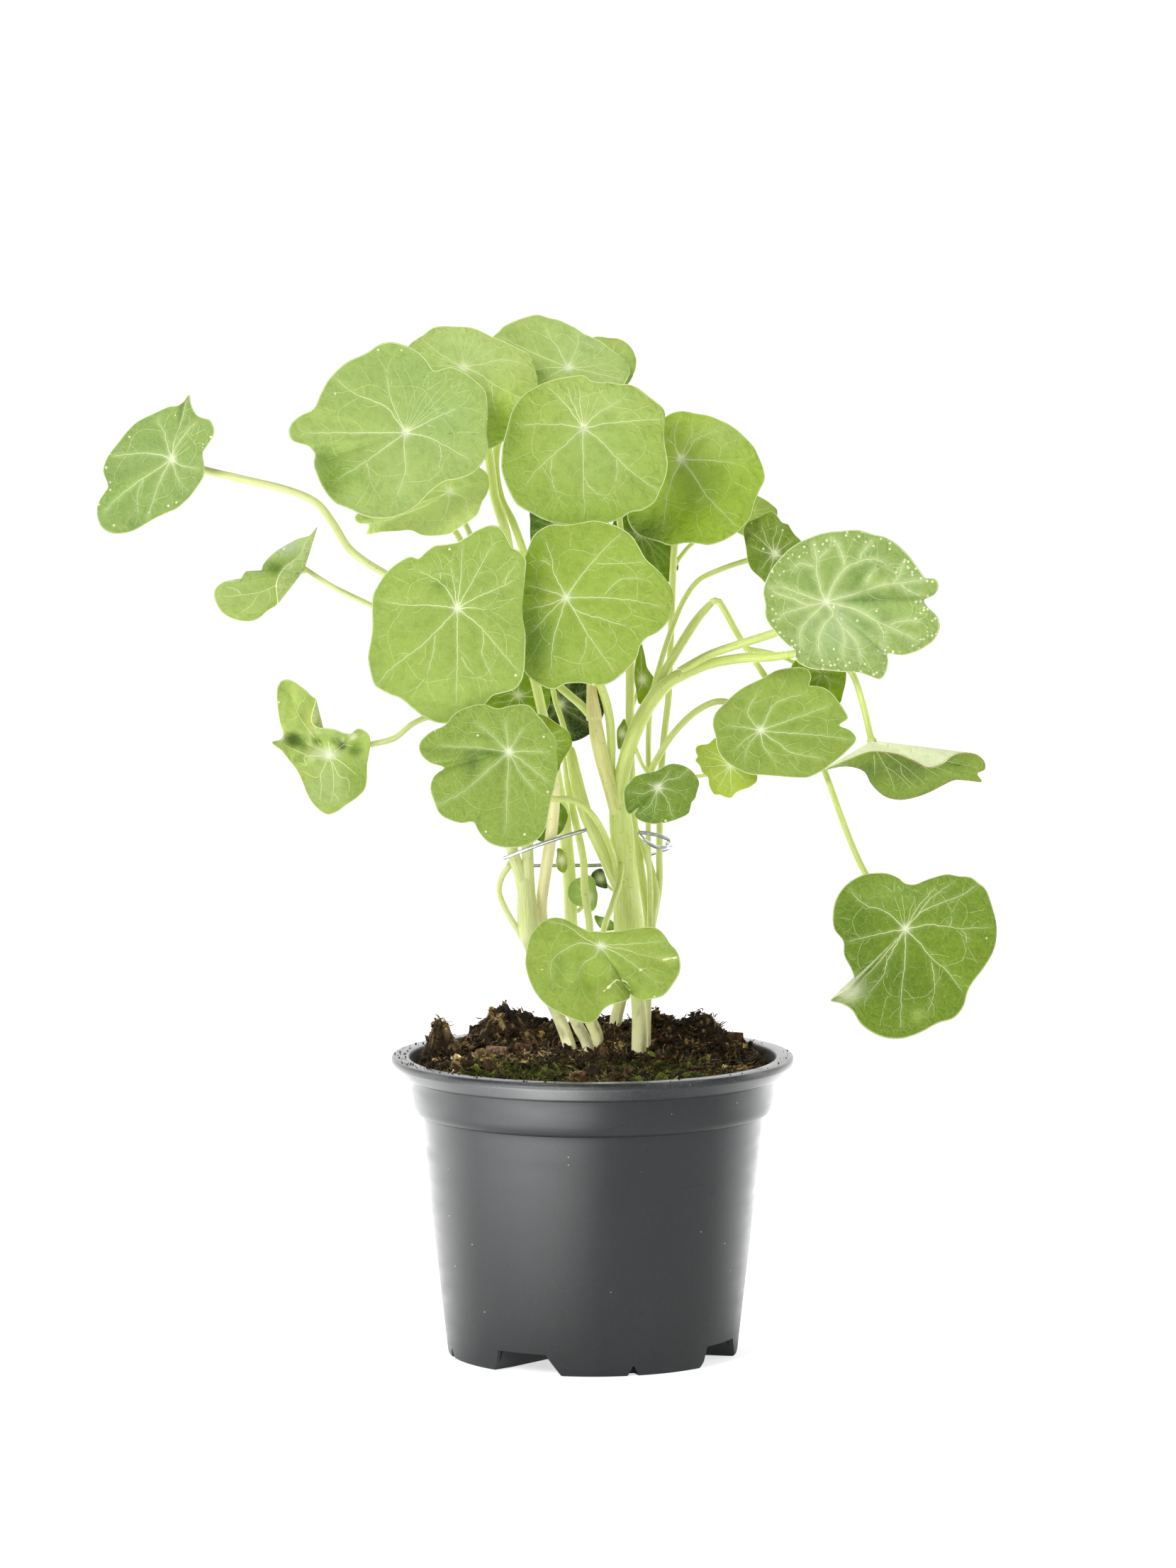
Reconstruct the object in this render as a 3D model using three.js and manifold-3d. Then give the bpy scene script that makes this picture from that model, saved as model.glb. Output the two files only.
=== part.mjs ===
// A potted nasturtium: a plastic nursery pot of soil, five leafy stems held by a wire tie,
// and thirty-five round leaf blades on long stalks.
// Millimetres, +Z up, the front of the plant towards -Y. The origin is the middle of the
// pot's base, on the surface that the pot stands on.
import * as THREE from 'three';
import { mergeVertices } from 'three/addons/utils/BufferGeometryUtils.js';
import Module from 'manifold-3d';

const wasm = await Module();
wasm.setup();

// Pot
const POT_HEIGHT = 97;
const LIP_R = 65;
const LIP_DEPTH = 2.6;
const MOUTH_R = 59.6;
const NECK_R = 61.1;
const COLLAR_R = 58.7;
const BODY_TOP_R = 55.6;
const FOOT_R = 47;
const WALL = 1.5;
const FLOOR = 2;
const POT_SIDES = 44;
const CHANNEL_TURNS = [-29, 61, 151, 241];
const CHANNEL_HALF_ANGLE = 13;
const CHANNEL_HEIGHT = 6.5;
const CHANNEL_START_R = 20;
const SLIT_TURNS = [16, 106, 196, 286];
const SLIT_WIDTH = 4;
const SLIT_HEIGHT = 3;

// Soil, stems, blades and tie
const GAP = 0.3;
const SOIL_SIDES = POT_SIDES;
const SOIL_RINGS = 6;
const SOIL_EDGE_Z = 93.2;
const HOLE_CLEARANCE = 0.45;
const HOLE_TOP_Z = 130;
const BLADE = 0.7;
const RINGS = [0.55, 1];
const FOLDED_RINGS = [0.35, 0.7, 1];
const STEP = 10;
const THIN_R = 0.8;
const WIRE_R = 0.65;

// Everything above the soil is laid out in elevation, on the upright plane through the pot's
// axis, and then moved back or forward along the line to a viewpoint in front of the plant.
const EYE = new THREE.Vector3(-1.5, -2400, 440);

function place([x, z, back]) {
  const point = new THREE.Vector3(x, 0, z);
  return point.sub(EYE).multiplyScalar(1 - back / EYE.y).add(EYE);
}

function solid(geometry) {
  const plain = geometry.clone();
  plain.deleteAttribute('normal');
  plain.deleteAttribute('uv');
  const merged = mergeVertices(plain, 1e-4);
  return new wasm.Manifold(new wasm.Mesh({
    numProp: 3,
    vertProperties: new Float32Array(merged.attributes.position.array),
    triVerts: new Uint32Array(merged.index.array),
  }));
}

function geometryOf(manifold) {
  const mesh = manifold.getMesh();
  const geometry = new THREE.BufferGeometry();
  geometry.setAttribute('position', new THREE.BufferAttribute(mesh.vertProperties, 3));
  geometry.setIndex(new THREE.BufferAttribute(mesh.triVerts, 1));
  geometry.computeVertexNormals();
  return geometry;
}

function union(solids) {
  return solids.reduce((whole, one) => whole.add(one));
}

// ---------------------------------------------------------------- pot

// An upright prism over part of a ring, between two radii and two heights.
function sector(innerR, outerR, halfAngle, turn, bottom, top) {
  const shape = new THREE.Shape();
  const from = THREE.MathUtils.degToRad(turn - 90 - halfAngle);
  const to = THREE.MathUtils.degToRad(turn - 90 + halfAngle);
  shape.absarc(0, 0, outerR, from, to, false);
  shape.absarc(0, 0, innerR, to, from, true);
  const geometry = new THREE.ExtrudeGeometry(shape, {
    depth: top - bottom,
    bevelEnabled: false,
    curveSegments: 6,
  });
  geometry.translate(0, 0, bottom);
  return geometry;
}

function lathe(profile, sides) {
  const geometry = new THREE.LatheGeometry(profile.map(([r, z]) => new THREE.Vector2(r, z)), sides);
  geometry.rotateX(Math.PI / 2);
  return geometry;
}

function potShell() {
  const lipBase = POT_HEIGHT - LIP_DEPTH;
  return lathe([
    [0, 0],
    [FOOT_R - 0.8, 0],
    [FOOT_R, 1],
    [BODY_TOP_R, 77.5],
    [BODY_TOP_R + 1.6, 79.4],
    [COLLAR_R - 0.4, 82.4],
    [COLLAR_R, 88.6],
    [NECK_R - 1.4, 89.8],
    [NECK_R, 91.8],
    [LIP_R - 1.4, 93.6],
    [LIP_R, lipBase + 0.2],
    [LIP_R, POT_HEIGHT - 0.5],
    [LIP_R - 0.5, POT_HEIGHT],
    [MOUTH_R, POT_HEIGHT],
    [COLLAR_R - WALL, 94],
    [COLLAR_R - WALL, 84],
    [BODY_TOP_R - WALL, 77],
    [FOOT_R - WALL, FLOOR],
    [0, FLOOR],
  ], POT_SIDES);
}

// Four wide channels run out under the base, each with a roof inside the pot.
function channelRoof(turn, extra) {
  return solid(sector(
    CHANNEL_START_R - FLOOR - extra,
    FOOT_R - WALL + 0.9,
    CHANNEL_HALF_ANGLE + 3 + extra * 3.4,
    turn,
    FLOOR - 0.5,
    CHANNEL_HEIGHT + FLOOR + extra,
  ));
}

function channel(turn) {
  return solid(sector(CHANNEL_START_R, LIP_R, CHANNEL_HALF_ANGLE, turn, -5, CHANNEL_HEIGHT));
}

function slit(turn) {
  const shape = new THREE.Shape([
    new THREE.Vector2(-SLIT_WIDTH / 2, -1),
    new THREE.Vector2(SLIT_WIDTH / 2, -1),
    new THREE.Vector2(0, SLIT_HEIGHT),
  ]);
  const geometry = new THREE.ExtrudeGeometry(shape, { depth: 9, bevelEnabled: false });
  geometry.rotateX(Math.PI / 2);
  geometry.translate(0, -FOOT_R + 5, 0);
  geometry.rotateZ(THREE.MathUtils.degToRad(turn));
  return solid(geometry);
}

function pot() {
  let body = solid(potShell());
  for (const turn of CHANNEL_TURNS) {
    body = body.add(channelRoof(turn, 0)).subtract(channel(turn));
  }
  for (const turn of SLIT_TURNS) {
    body = body.subtract(slit(turn));
  }
  return geometryOf(body);
}

// ---------------------------------------------------------------- stems

// Each route is a list of [x, z, back] points in elevation; `r` is the stem's radius.
// A route that carries a blade names its leaf and ends square on the blade's underside.
const STEMS = {
  stem_left: {
    colour: '#cfe090',
    routes: [
      { r: 2.1, root: true, path: [[-6.5, 87, 0], [-7.2, 98.5, 0], [-9.2, 105, 0.5],
        [-12.5, 113, -1.5], [-16.6, 122, -7], [-19.6, 131, -12]] },
      { r: 2.9, path: [[-18.8, 127.5, -10.5], [-20.6, 136, -13], [-21.3, 147, -12.5],
        [-21.6, 156, -12]] },
      { r: 1.9, path: [[-22, 149, -12], [-24.2, 158, -12], [-27, 167, -12], [-29.5, 175, -12],
        [-31, 186.5, -13], [-33.5, 200.5, -14], [-39, 216.5, -18]] },
      { r: 1.9, path: [[-20.6, 149, -12], [-20.9, 160, -12], [-21.3, 175, -12],
        [-22, 186.5, -12], [-22.5, 196, -12], [-23, 202, -12]] },
      { r: 1, leaf: 10, path: [[-20.6, 132, -13], [-24.5, 138.2, -13], [-28.6, 145.5, -12.5],
        [-30.3, 150.5, -12], [-29, 155.6, -11.2], [-26.5, 159.4, -10.2], [-26, 163.5, -9.8],
        [-28, 173, -11],
        [-32.5, 184, -16], [-40, 198, -20], [-49.5, 207, -24], [-57.5, 205, -28],
        [-64, 200, -30], [-71.5, 198, -31], [-79, 196, -31]] },
      { r: 1.3, leaf: 8, path: [[-33.5, 200.5, -14], [-44.5, 226.5, -18], [-56, 245, -21],
        [-66.5, 253, -22], [-73, 257, -21], [-78.5, 261.5, -20], [-83.5, 269.5, -18.5],
        [-88.5, 275.8, -17], [-97, 279.8, -15], [-110, 283, -11], [-124.5, 286.5, -7]] },
      { r: 0.9, leaf: 9, path: [[-43, 223.5, -18], [-54, 232.5, -20], [-63, 238.2, -22],
        [-71, 242.8, -23], [-84, 249.2, -23]] },
      { r: 1.2, leaf: 11, path: [[-33.5, 200.5, -14], [-39, 218.5, -18], [-42, 232, -28]] },
      { r: 1, leaf: 7, path: [[-23, 200.5, -12], [-26, 214, -8], [-30, 232.5, -6],
        [-35, 253, -6], [-39.5, 266, -6], [-44, 275.5, -5.5]] },
      { r: 1.1, leaf: 1, path: [[-22.5, 196, -12], [-28.5, 218.5, -4], [-33.5, 239.5, -1],
        [-42.5, 264, 0], [-48, 272, 0], [-57, 288, -4]] },
      { r: 0.8, leaf: 28, path: [[-22.5, 196, -12], [-23.2, 203, -12]] },
    ],
  },
  stem_pink: {
    colour: '#dccfae',
    routes: [
      { r: 1.9, root: true, path: [[-0.5, 88, 4], [-1.6, 100, 4], [-5, 107, -1],
        [-7.4, 113.5, -4], [-11.4, 125, -7], [-15, 134.5, -8], [-16.5, 142, -8],
        [-16.5, 147, -9], [-15, 158, -12.5], [-13, 172, -14], [-12, 187, -20]] },
      { r: 1.2, leaf: 27, path: [[-12.2, 184, -18], [-13.5, 192, -24]] },
    ],
  },
  stem_middle: {
    colour: '#cbdc86',
    routes: [
      { r: 1.9, root: true, path: [[1.5, 92, 10], [1.5, 103, 10], [-1, 109, 9], [-5, 122, 6],
        [-6.5, 133.5, 3], [-7, 140, 1], [-7.5, 154.5, 0], [-8.5, 166.5, -1], [-9, 173, -2],
        [-10.4, 182, -5]] },
      { r: 1.4, leaf: 2, path: [[-9.8, 178, -3.5], [-11, 185, -8], [-13.5, 197, -21],
        [-16, 207.5, -26], [-18.5, 218.5, -26], [-22, 232.5, -20], [-25.5, 251, -10],
        [-28, 266.5, -4], [-31.5, 278, 0], [-33.5, 292, 3], [-37.5, 306.5, 4]] },
      { r: 1, leaf: 26, path: [[-4.5, 121, 6], [-2, 130, -2], [-1, 138.5, -9], [-2.5, 150, -10],
        [-3, 160.5, -8], [-5.5, 173, -3], [-7.5, 182, 2], [-8.5, 191, 6], [-9, 200.5, 12]] },
      { r: 0.6, leaf: 30, path: [[-7, 143, 1], [-4, 144.5, 2]] },
      { r: 0.5, leaf: 33, path: [[-7.5, 154.5, 0], [-8.5, 157, 2]] },
      { r: 0.5, leaf: 35, path: [[-9, 171, -2], [-10.8, 171.6, -2.6]] },
    ],
  },
  stem_main: {
    colour: '#c9da84',
    routes: [
      { r: 2.4, root: true, sides: 8, path: [[15, 86, -3], [15, 99, -3], [15, 110.5, -4],
        [13.5, 124, -6]] },
      { r: 2, root: true, path: [[7, 95, 22], [7.5, 108, 21], [9, 115, 15], [10.5, 124.5, 6],
        [11.5, 134, -3]] },
      { r: 3.5, sides: 8, path: [[13.6, 119, -5], [12.8, 129, -6], [11.7, 138.5, -6],
        [10.5, 154, -6], [9.5, 168, -6], [8, 182, -7]] },
      { r: 2.4, path: [[8.4, 175, -7], [5, 186.5, -9], [2, 198, -12], [0.5, 207.5, -13],
        [0, 212, -13]] },
      { r: 1.3, leaf: 4, path: [[0.5, 206, -13], [-0.5, 217.5, -13], [-1, 232.5, -13],
        [-2, 255.5, -11], [-3, 278, -8], [-3, 292, -7]] },
      { r: 1.3, leaf: 3, path: [[0.5, 206, -12.5], [-3.5, 210.5, -12], [-7.5, 214, -10],
        [-11.5, 218, -8], [-16, 232.5, -6], [-21.5, 257.5, -4], [-25.5, 269.5, -1],
        [-29.6, 278, 5], [-31, 292, 11], [-25.5, 306.5, 14], [-15, 314.5, 14]] },
      { r: 1.9, path: [[9.5, 150, -6], [3, 163.5, -8], [-2, 175, -8], [-5.5, 187.5, -6],
        [-7.5, 198, -3]] },
      { r: 0.9, leaf: 25, path: [[-7, 195, -4], [-10, 206, -2], [-12.2, 213, -1],
        [-13.5, 222, -1], [-13.5, 236, 1], [-13, 255.5, 2]] },
      { r: 1.4, leaf: 12, path: [[7.5, 179.5, -6], [6, 189, -7], [6, 198, -9], [5.5, 206, -11],
        [4, 213, -14], [1, 221, -19], [-3, 231.5, -26], [-7, 240, -31]] },
      { r: 2.4, path: [[8, 178, -7], [10, 190.5, -8], [13, 200.5, -10], [17, 209, -10],
        [22.5, 216.5, -11], [30, 222, -12]] },
      { r: 1.4, leaf: 18, path: [[28, 221.5, -11.5], [37.5, 227, -13], [49, 231, -15],
        [59.5, 234.5, -16], [69.5, 240, -18]] },
      { r: 1.6, path: [[26, 219, -11.5], [37.5, 224, -11.5], [49, 226, -12], [59, 226.5, -14],
        [65, 227.5, -16]] },
      { r: 1.1, leaf: 22, path: [[63, 227, -15.4], [71.5, 228.5, -17], [78.5, 226, -18],
        [83.5, 221, -19], [86.5, 213, -20]] },
      { r: 1.5, path: [[15.5, 206.5, -9], [21.5, 218.5, -8], [28.5, 230.5, -7], [34, 239, -6],
        [39, 244.6, -5]] },
      { r: 1.05, leaf: 23, path: [[38, 243.8, -5], [40, 244.6, -5], [42, 242, -5], [47, 233, -4],
        [55.5, 220, -2], [65, 206, -1], [73, 193.5, -2], [75.5, 187.5, -5], [80, 175, -14],
        [84.5, 163.5, -22], [89, 154.5, -28]] },
      { r: 0.7, leaf: 21, path: [[50, 229, -3.4], [58, 227.5, 2], [66, 224, 8]] },
      { r: 0.6, leaf: 15, path: [[13, 199, -10], [16, 191.5, -10], [18.5, 187.5, -11]] },
      { r: 1, leaf: 13, path: [[8.4, 153, -7.5], [6.6, 162, -12], [3.5, 169.5, -18],
        [0.5, 174.5, -23], [-3.5, 178.5, -26], [-8, 180.3, -28], [-13, 180.5, -32],
        [-18, 184, -38], [-22.5, 189, -45]] },
      { r: 1, leaf: 14, path: [[9.4, 160, -8.5], [8.5, 153, -14], [6, 145, -23],
        [3.8, 139, -32]] },
      { r: 0.5, leaf: 31, path: [[8.6, 149.5, -5], [5.5, 151.5, 1]] },
      { r: 0.5, leaf: 32, path: [[9, 136.5, -4], [6.5, 138.5, 1.5]] },
      { r: 0.5, leaf: 34, path: [[8, 183, -6], [9, 190, 3]] },
    ],
  },
  stem_right: {
    colour: '#bfd476',
    routes: [
      { r: 1.6, root: true, path: [[17.3, 89, 8], [17.3, 102, 8], [17.4, 112, 6.5],
        [18, 124.5, 3.5], [18.6, 138.5, 2]] },
      { r: 1.5, path: [[18.6, 134, 2.4], [17.6, 144, 4], [16, 154, 5.5], [14.5, 163.5, 6.5],
        [13.2, 173, 6.5], [12.5, 184.5, 7], [12, 196, 8], [12, 209.5, 8], [12, 221, 8],
        [12, 238, 11]] },
      { r: 1.2, path: [[18.8, 133, 2], [19.5, 143, 1.5], [20.5, 148.5, 1.5], [20, 153, 2.5],
        [18.5, 158.5, 4], [16.4, 164.5, 5.5], [13.6, 172, 6.6]] },
      { r: 0.9, leaf: 19, path: [[18.6, 138, 1.5], [18.5, 152, -2], [18, 163.5, -3],
        [18, 186.5, -3], [18, 200.5, -2], [19, 213, -2], [22.5, 226.5, -1], [26, 237, 0],
        [29.5, 245, 1], [34, 251, 3], [41, 254.5, 6], [50, 257.5, 9]] },
      { r: 1.1, leaf: 5, path: [[19, 138, 2.2], [21.5, 152, 3.5], [21.5, 163.5, 4],
        [22, 186.5, 5], [23, 200.5, 5], [24.5, 214, 5], [25, 228, 5], [25.5, 244, 6],
        [26, 257.5, 6], [27, 273.5, 7]] },
      { r: 0.9, leaf: 24, path: [[12, 234, 10.5], [13, 247, 18], [14, 257, 26]] },
      { r: 1, leaf: 6, path: [[12, 234, 10.5], [10, 257.5, 10], [8, 278, 12], [7, 296.5, 17],
        [7, 310, 22]] },
      { r: 0.7, leaf: 20, path: [[26, 255.5, 6], [31.5, 262.5, 13], [41, 269, 20]] },
      { r: 1.1, leaf: 17, path: [[18.2, 180, -2.8], [18.8, 189, -4], [21.2, 194.1, -5],
        [26.6, 202.3, -6], [34.4, 209.5, -6], [40.8, 212, -5], [46, 210.5, -3]] },
      { r: 0.6, leaf: 16, path: [[21.8, 184, 4.8], [27, 187, 3], [36, 188, 2]] },
      { r: 0.6, leaf: 29, path: [[12, 207.5, 8], [13.5, 212, 11]] },
    ],
  },
};

// A round stem with flat ends, along a smooth curve through the points.
function tube(points, radius, sides = radius < THIN_R ? 5 : 6) {
  const path = new THREE.CatmullRomCurve3(points, false, 'centripetal');
  const section = new THREE.Shape(Array.from({ length: sides }, (_, i) => {
    const angle = (i / sides) * 2 * Math.PI;
    return new THREE.Vector2(Math.cos(angle) * radius, Math.sin(angle) * radius);
  }));
  return new THREE.ExtrudeGeometry(section, {
    steps: Math.max(2, Math.round(path.getLength() / STEP)),
    extrudePath: path,
    bevelEnabled: false,
  });
}

function stemPoints(route) {
  const points = route.path.map(place);
  if (route.leaf) {
    const { centre, under } = joints.get(route.leaf);
    points.push(centre.clone().addScaledVector(under, 5));
    points.push(centre.clone().addScaledVector(under, 2.5));
    points.push(centre.clone().addScaledVector(under, BLADE / 2 + GAP));
  }
  return points;
}

function stem({ routes }) {
  const tubes = routes.map((route) => solid(tube(stemPoints(route), route.r, route.sides)));
  return geometryOf(union(tubes));
}

// The plain hole that a stem stands in: the stem's own foot, a little wider and deeper.
function rootHole({ path, r, sides }) {
  const points = path.map(place);
  const down = points[0].clone().sub(points[1]).normalize();
  points[0].addScaledVector(down, HOLE_CLEARANCE);
  const last = points.findIndex((point) => point.z > HOLE_TOP_Z);
  return solid(tube(points.slice(0, last > 2 ? last : 3), r + HOLE_CLEARANCE * 1.3, sides));
}

// ---------------------------------------------------------------- soil

// Lumps on the soil's surface: [x, y, height, spread].
const LUMPS = [
  [-33, 24, 14, 11],
  [-47, 20, 9, 8],
  [-24, 28, 5, 7],
  [38, 32, 10, 13],
  [20, 42, 8, 10],
  [2, 42, 6, 11],
  [51, 12, 4, 8],
  [-14, -26, 2.5, 10],
  [-38, -24, 2.5, 9],
  [26, -26, 2, 12],
  [-42, -4, -3.5, 7],
  [-54, 4, -4, 6],
  [20, 10, -2, 6],
];

function soilHeight(x, y) {
  const reach = Math.hypot(x, y) / (COLLAR_R - WALL);
  let z = SOIL_EDGE_Z + 4 * (1 - reach ** 3);
  for (const [cx, cy, height, spread] of LUMPS) {
    const away = Math.hypot(x - cx, y - cy) / spread;
    z += height * Math.exp(-away * away) * Math.min(1, 6 * (1.02 - reach));
  }
  return z;
}

function soilBlock() {
  const wallR = COLLAR_R - WALL - GAP;
  const positions = [0, 0, soilHeight(0, 0)];
  const indices = [];
  const levels = [];
  for (let ring = 1; ring <= SOIL_RINGS; ring += 1) {
    levels.push({ r: (wallR * ring) / SOIL_RINGS });
  }
  levels.push({ r: wallR, z: 84.2 });
  levels.push({ r: BODY_TOP_R - WALL - GAP, z: 77 });
  levels.push({ r: FOOT_R - WALL - GAP, z: FLOOR + GAP });
  for (const level of levels) {
    for (let i = 0; i < SOIL_SIDES; i += 1) {
      const angle = (i / SOIL_SIDES) * 2 * Math.PI;
      const x = Math.cos(angle) * level.r;
      const y = Math.sin(angle) * level.r;
      positions.push(x, y, level.z ?? soilHeight(x, y));
    }
  }
  const at = (row, i) => 1 + row * SOIL_SIDES + (i % SOIL_SIDES);
  const foot = positions.length / 3;
  positions.push(0, 0, FLOOR + GAP);
  for (let i = 0; i < SOIL_SIDES; i += 1) {
    indices.push(0, at(0, i), at(0, i + 1));
    for (let row = 0; row + 1 < levels.length; row += 1) {
      indices.push(at(row, i), at(row + 1, i), at(row + 1, i + 1));
      indices.push(at(row, i), at(row + 1, i + 1), at(row, i + 1));
    }
    indices.push(foot, at(levels.length - 1, i + 1), at(levels.length - 1, i));
  }
  const geometry = new THREE.BufferGeometry();
  geometry.setAttribute('position', new THREE.Float32BufferAttribute(positions, 3));
  geometry.setIndex(indices);
  return geometry;
}

function soil() {
  let body = solid(soilBlock());
  for (const turn of CHANNEL_TURNS) {
    body = body.subtract(channelRoof(turn, GAP));
  }
  for (const { routes } of Object.values(STEMS)) {
    for (const route of routes.filter(({ root }) => root)) {
      body = body.subtract(rootHole(route));
    }
  }
  return geometryOf(body);
}

// ---------------------------------------------------------------- leaf blades

// `at` is the stalk's joint as [x, z, back] in elevation. `lean` is how far the blade's plane
// runs back for each mm along X and along Z, and `cup` how far the edge comes forward of it.
// The outline is [degrees from +X towards +Z, reach, lift]: lift brings the edge forward.
// Where a blade is folded over, its outline turns back on itself in front.
const LEAVES = [
  { id: 1, at: [-60, 298.5, -22], lean: [-0.12, 0.22], cup: 0.06, colour: '#a3c567',
    rim: [[0, 26], [16, 27.5], [28, 29], [37, 28], [47, 27], [56, 25.5], [65, 22], [73, 24],
      [80, 26], [87, 27.5], [99, 29.5], [107, 29.5], [116, 28.5], [130, 29.5], [145, 30],
      [156, 30], [165, 30.5], [171, 34.5, -1], [176, 37, -1], [180, 37.5, -1], [184, 36.5, -1],
      [188, 31.5, -1], [193, 30, -3], [198, 31, -3], [204, 31.5, 1], [214, 32, 3], [225, 32, 1],
      [233, 30.5], [242, 30], [252, 29], [264, 27], [277, 24], [293, 20.5], [309, 20],
      [319, 22.5], [331, 25.5], [347, 27]] },
  { id: 2, at: [-41.5, 319.5, -4], lean: [0.05, 0.25], cup: 0.05, colour: '#a2c55e',
    rim: [[0, 23], [11, 21.5], [21, 18], [33, 15.5], [47, 13.5], [61, 13], [80, 13],
      [104, 13.5], [114, 14.5], [128, 16], [141, 16.5], [152, 18], [160, 19], [175, 19],
      [200, 17], [225, 16], [250, 18], [270, 23], [285, 27], [291, 27.5], [298, 27],
      [312, 23.5], [330, 22.5], [345, 24.5]] },
  { id: 3, at: [-8, 319.5, 6], lean: [0.05, 0.3], cup: 0.05, colour: '#9fc161',
    rim: [[6, 19], [15, 16.5], [26, 14.5], [37, 13.5], [50, 12.5], [64, 12], [80, 13],
      [91, 14], [101, 15.5], [111, 17], [118, 19], [123, 20], [133, 21.5], [141, 23],
      [148, 24.5], [153, 25], [159, 26], [172, 23], [190, 18], [215, 13], [250, 11],
      [290, 11], [320, 14], [338, 18], [349, 19.5], [357, 20]] },
  { id: 4, at: [-3, 300, -18], lean: [0.1, 0.25], cup: 0.06, colour: '#a6c964',
    rim: [[7, 26.5], [13, 26.5], [21, 24.5], [28, 23], [35, 22], [43, 20.5], [50, 18.5],
      [60, 17], [72, 15.5], [81, 15.5], [90, 17], [98, 17], [112, 17.5], [124, 18.5],
      [137, 20], [151, 22], [166, 23.5], [180, 24.5], [192, 26.5], [200, 28], [207, 29.5],
      [218, 31], [229, 32.5], [238, 32], [248, 32], [262, 31.5], [278, 31.5], [292, 31.5],
      [299, 31], [306, 32.5], [314, 33], [320, 32], [328, 31], [337, 29.5], [347, 27],
      [356, 26]] },
  { id: 5, at: [28.5, 290, 0], lean: [0.3, 0.25], cup: 0.04, colour: '#8fb348',
    rim: [[3, 24.5], [10, 23.5], [17, 22], [26, 20.5], [36, 19], [47, 17.5], [58, 16.5],
      [71, 15.5], [90, 15.5], [105, 15], [125, 13.5], [150, 12.5], [180, 12.5], [205, 16],
      [220, 22, 1], [227, 25.5, 2], [233, 27, 2], [241, 28], [255, 27.5], [263, 28],
      [272, 27], [280, 27.5], [288, 29], [299, 29.5], [311, 29.5], [320, 29], [328, 27.5],
      [338, 27], [346, 27.5], [353, 26.5]] },
  { id: 6, at: [6, 321, 16], lean: [0, 0.2], cup: 0.05, colour: '#8db350',
    rim: [[8, 8], [32, 8], [55, 8], [75, 8], [96, 8], [112, 9], [125, 10], [150, 11],
      [180, 12], [210, 11], [240, 10], [270, 9.5], [295, 9], [315, 8.5], [332, 8], [347, 8]] },
  { id: 7, at: [-46, 279.5, -14], lean: [0, 0.2], cup: 0.05, colour: '#9dc060',
    rim: [[10, 13], [26, 13.5], [45, 12], [70, 9.5], [100, 9], [130, 10.5], [160, 15],
      [180, 21], [190, 27], [195, 31.5, 1], [199, 31, 2], [202, 28, 1], [207, 30], [210, 26],
      [217, 21], [225, 17.5], [238, 16.5], [256, 14.5], [270, 13.5], [285, 12], [301, 11.5],
      [322, 11.5], [343, 11], [356, 12]] },
  { id: 8, at: [-135, 290, -14], lean: [-0.25, 0.2], cup: 0.08, colour: '#8fb167',
    rim: [[12, 10], [19, 11.5], [25, 13.5], [30, 15.5], [38, 17], [47, 17.5], [55, 16.5],
      [62, 16.5, -1], [70, 18.5, -2], [75, 21.5, -3], [78, 19, -2], [83, 17.5], [93, 17],
      [108, 16], [122, 16], [134, 16.5], [148, 17], [162, 18], [174, 20], [182, 21.5],
      [190, 22.5], [203, 22.5, 2], [207, 25, 1], [211, 28], [216, 30, -1], [223, 31.5, -1],
      [230, 31, 1], [238, 28, 2], [245, 24], [252, 20.5], [261, 18], [275, 16], [294, 13.5],
      [313, 12], [331, 11.5], [349, 10.5]] },
  { id: 9, at: [-93, 254.5, -24], lean: [0, 0], cup: 0, folded: true, colour: '#9fbf68',
    rim: [[72, 14.3, 0], [80, 11, -3], [96, 10.2, -6], [116, 9.6, -8], [137, 10, -9],
      [158, 11.4, -9], [172, 12.8, -8], [183, 13.4, -5], [196, 14, -3], [186, 17, -1],
      [182, 18.5, 0], [189, 21, 1], [189, 26.5, 1], [194, 29.7, 0], [204, 30, 0],
      [211, 29, 1], [221, 25.5, 2], [227, 22, 3], [229, 17.5, 4], [233, 14, 5],
      [225, 12, 7], [211, 10.2, 9], [198, 8.6, 10], [176, 6.4, 10], [137, 4.4, 8.5],
      [100, 5, 7], [84, 9, 4]] },
  { id: 10, at: [-85, 194.5, -34], lean: [0, 0.1], cup: 0.05, folded: true, colour: '#9cc060',
    rim: [[11, 13.5], [25, 14.5, 2], [35, 14, 3], [43, 12.5, 4], [45, 9.8, 5], [58, 8.6, 6],
      [74, 8.6, 6], [92, 8.8, 5], [110, 9.6, 5], [117, 12, 6], [111, 14.8, 6], [103, 18.5, 6],
      [106, 19.8, 3], [111, 23.5, 0], [117, 27.5, -1], [122, 28.5, -1], [128, 27, 1],
      [136, 23, 2], [146, 19, 2], [154, 16.5, 0], [162, 16.5, 3], [167, 19, 5], [174, 15.5, 3],
      [187, 13, 1], [204, 11.5], [223, 12], [241, 14.5], [254, 17], [268, 19.3], [278, 18.5],
      [290, 17], [303, 16.5], [316, 16], [328, 14.5], [346, 12.7]] },
  { id: 11, at: [-43.5, 242, -46], lean: [-0.1, 0.1], cup: 0.04, colour: '#a9cb63',
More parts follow.
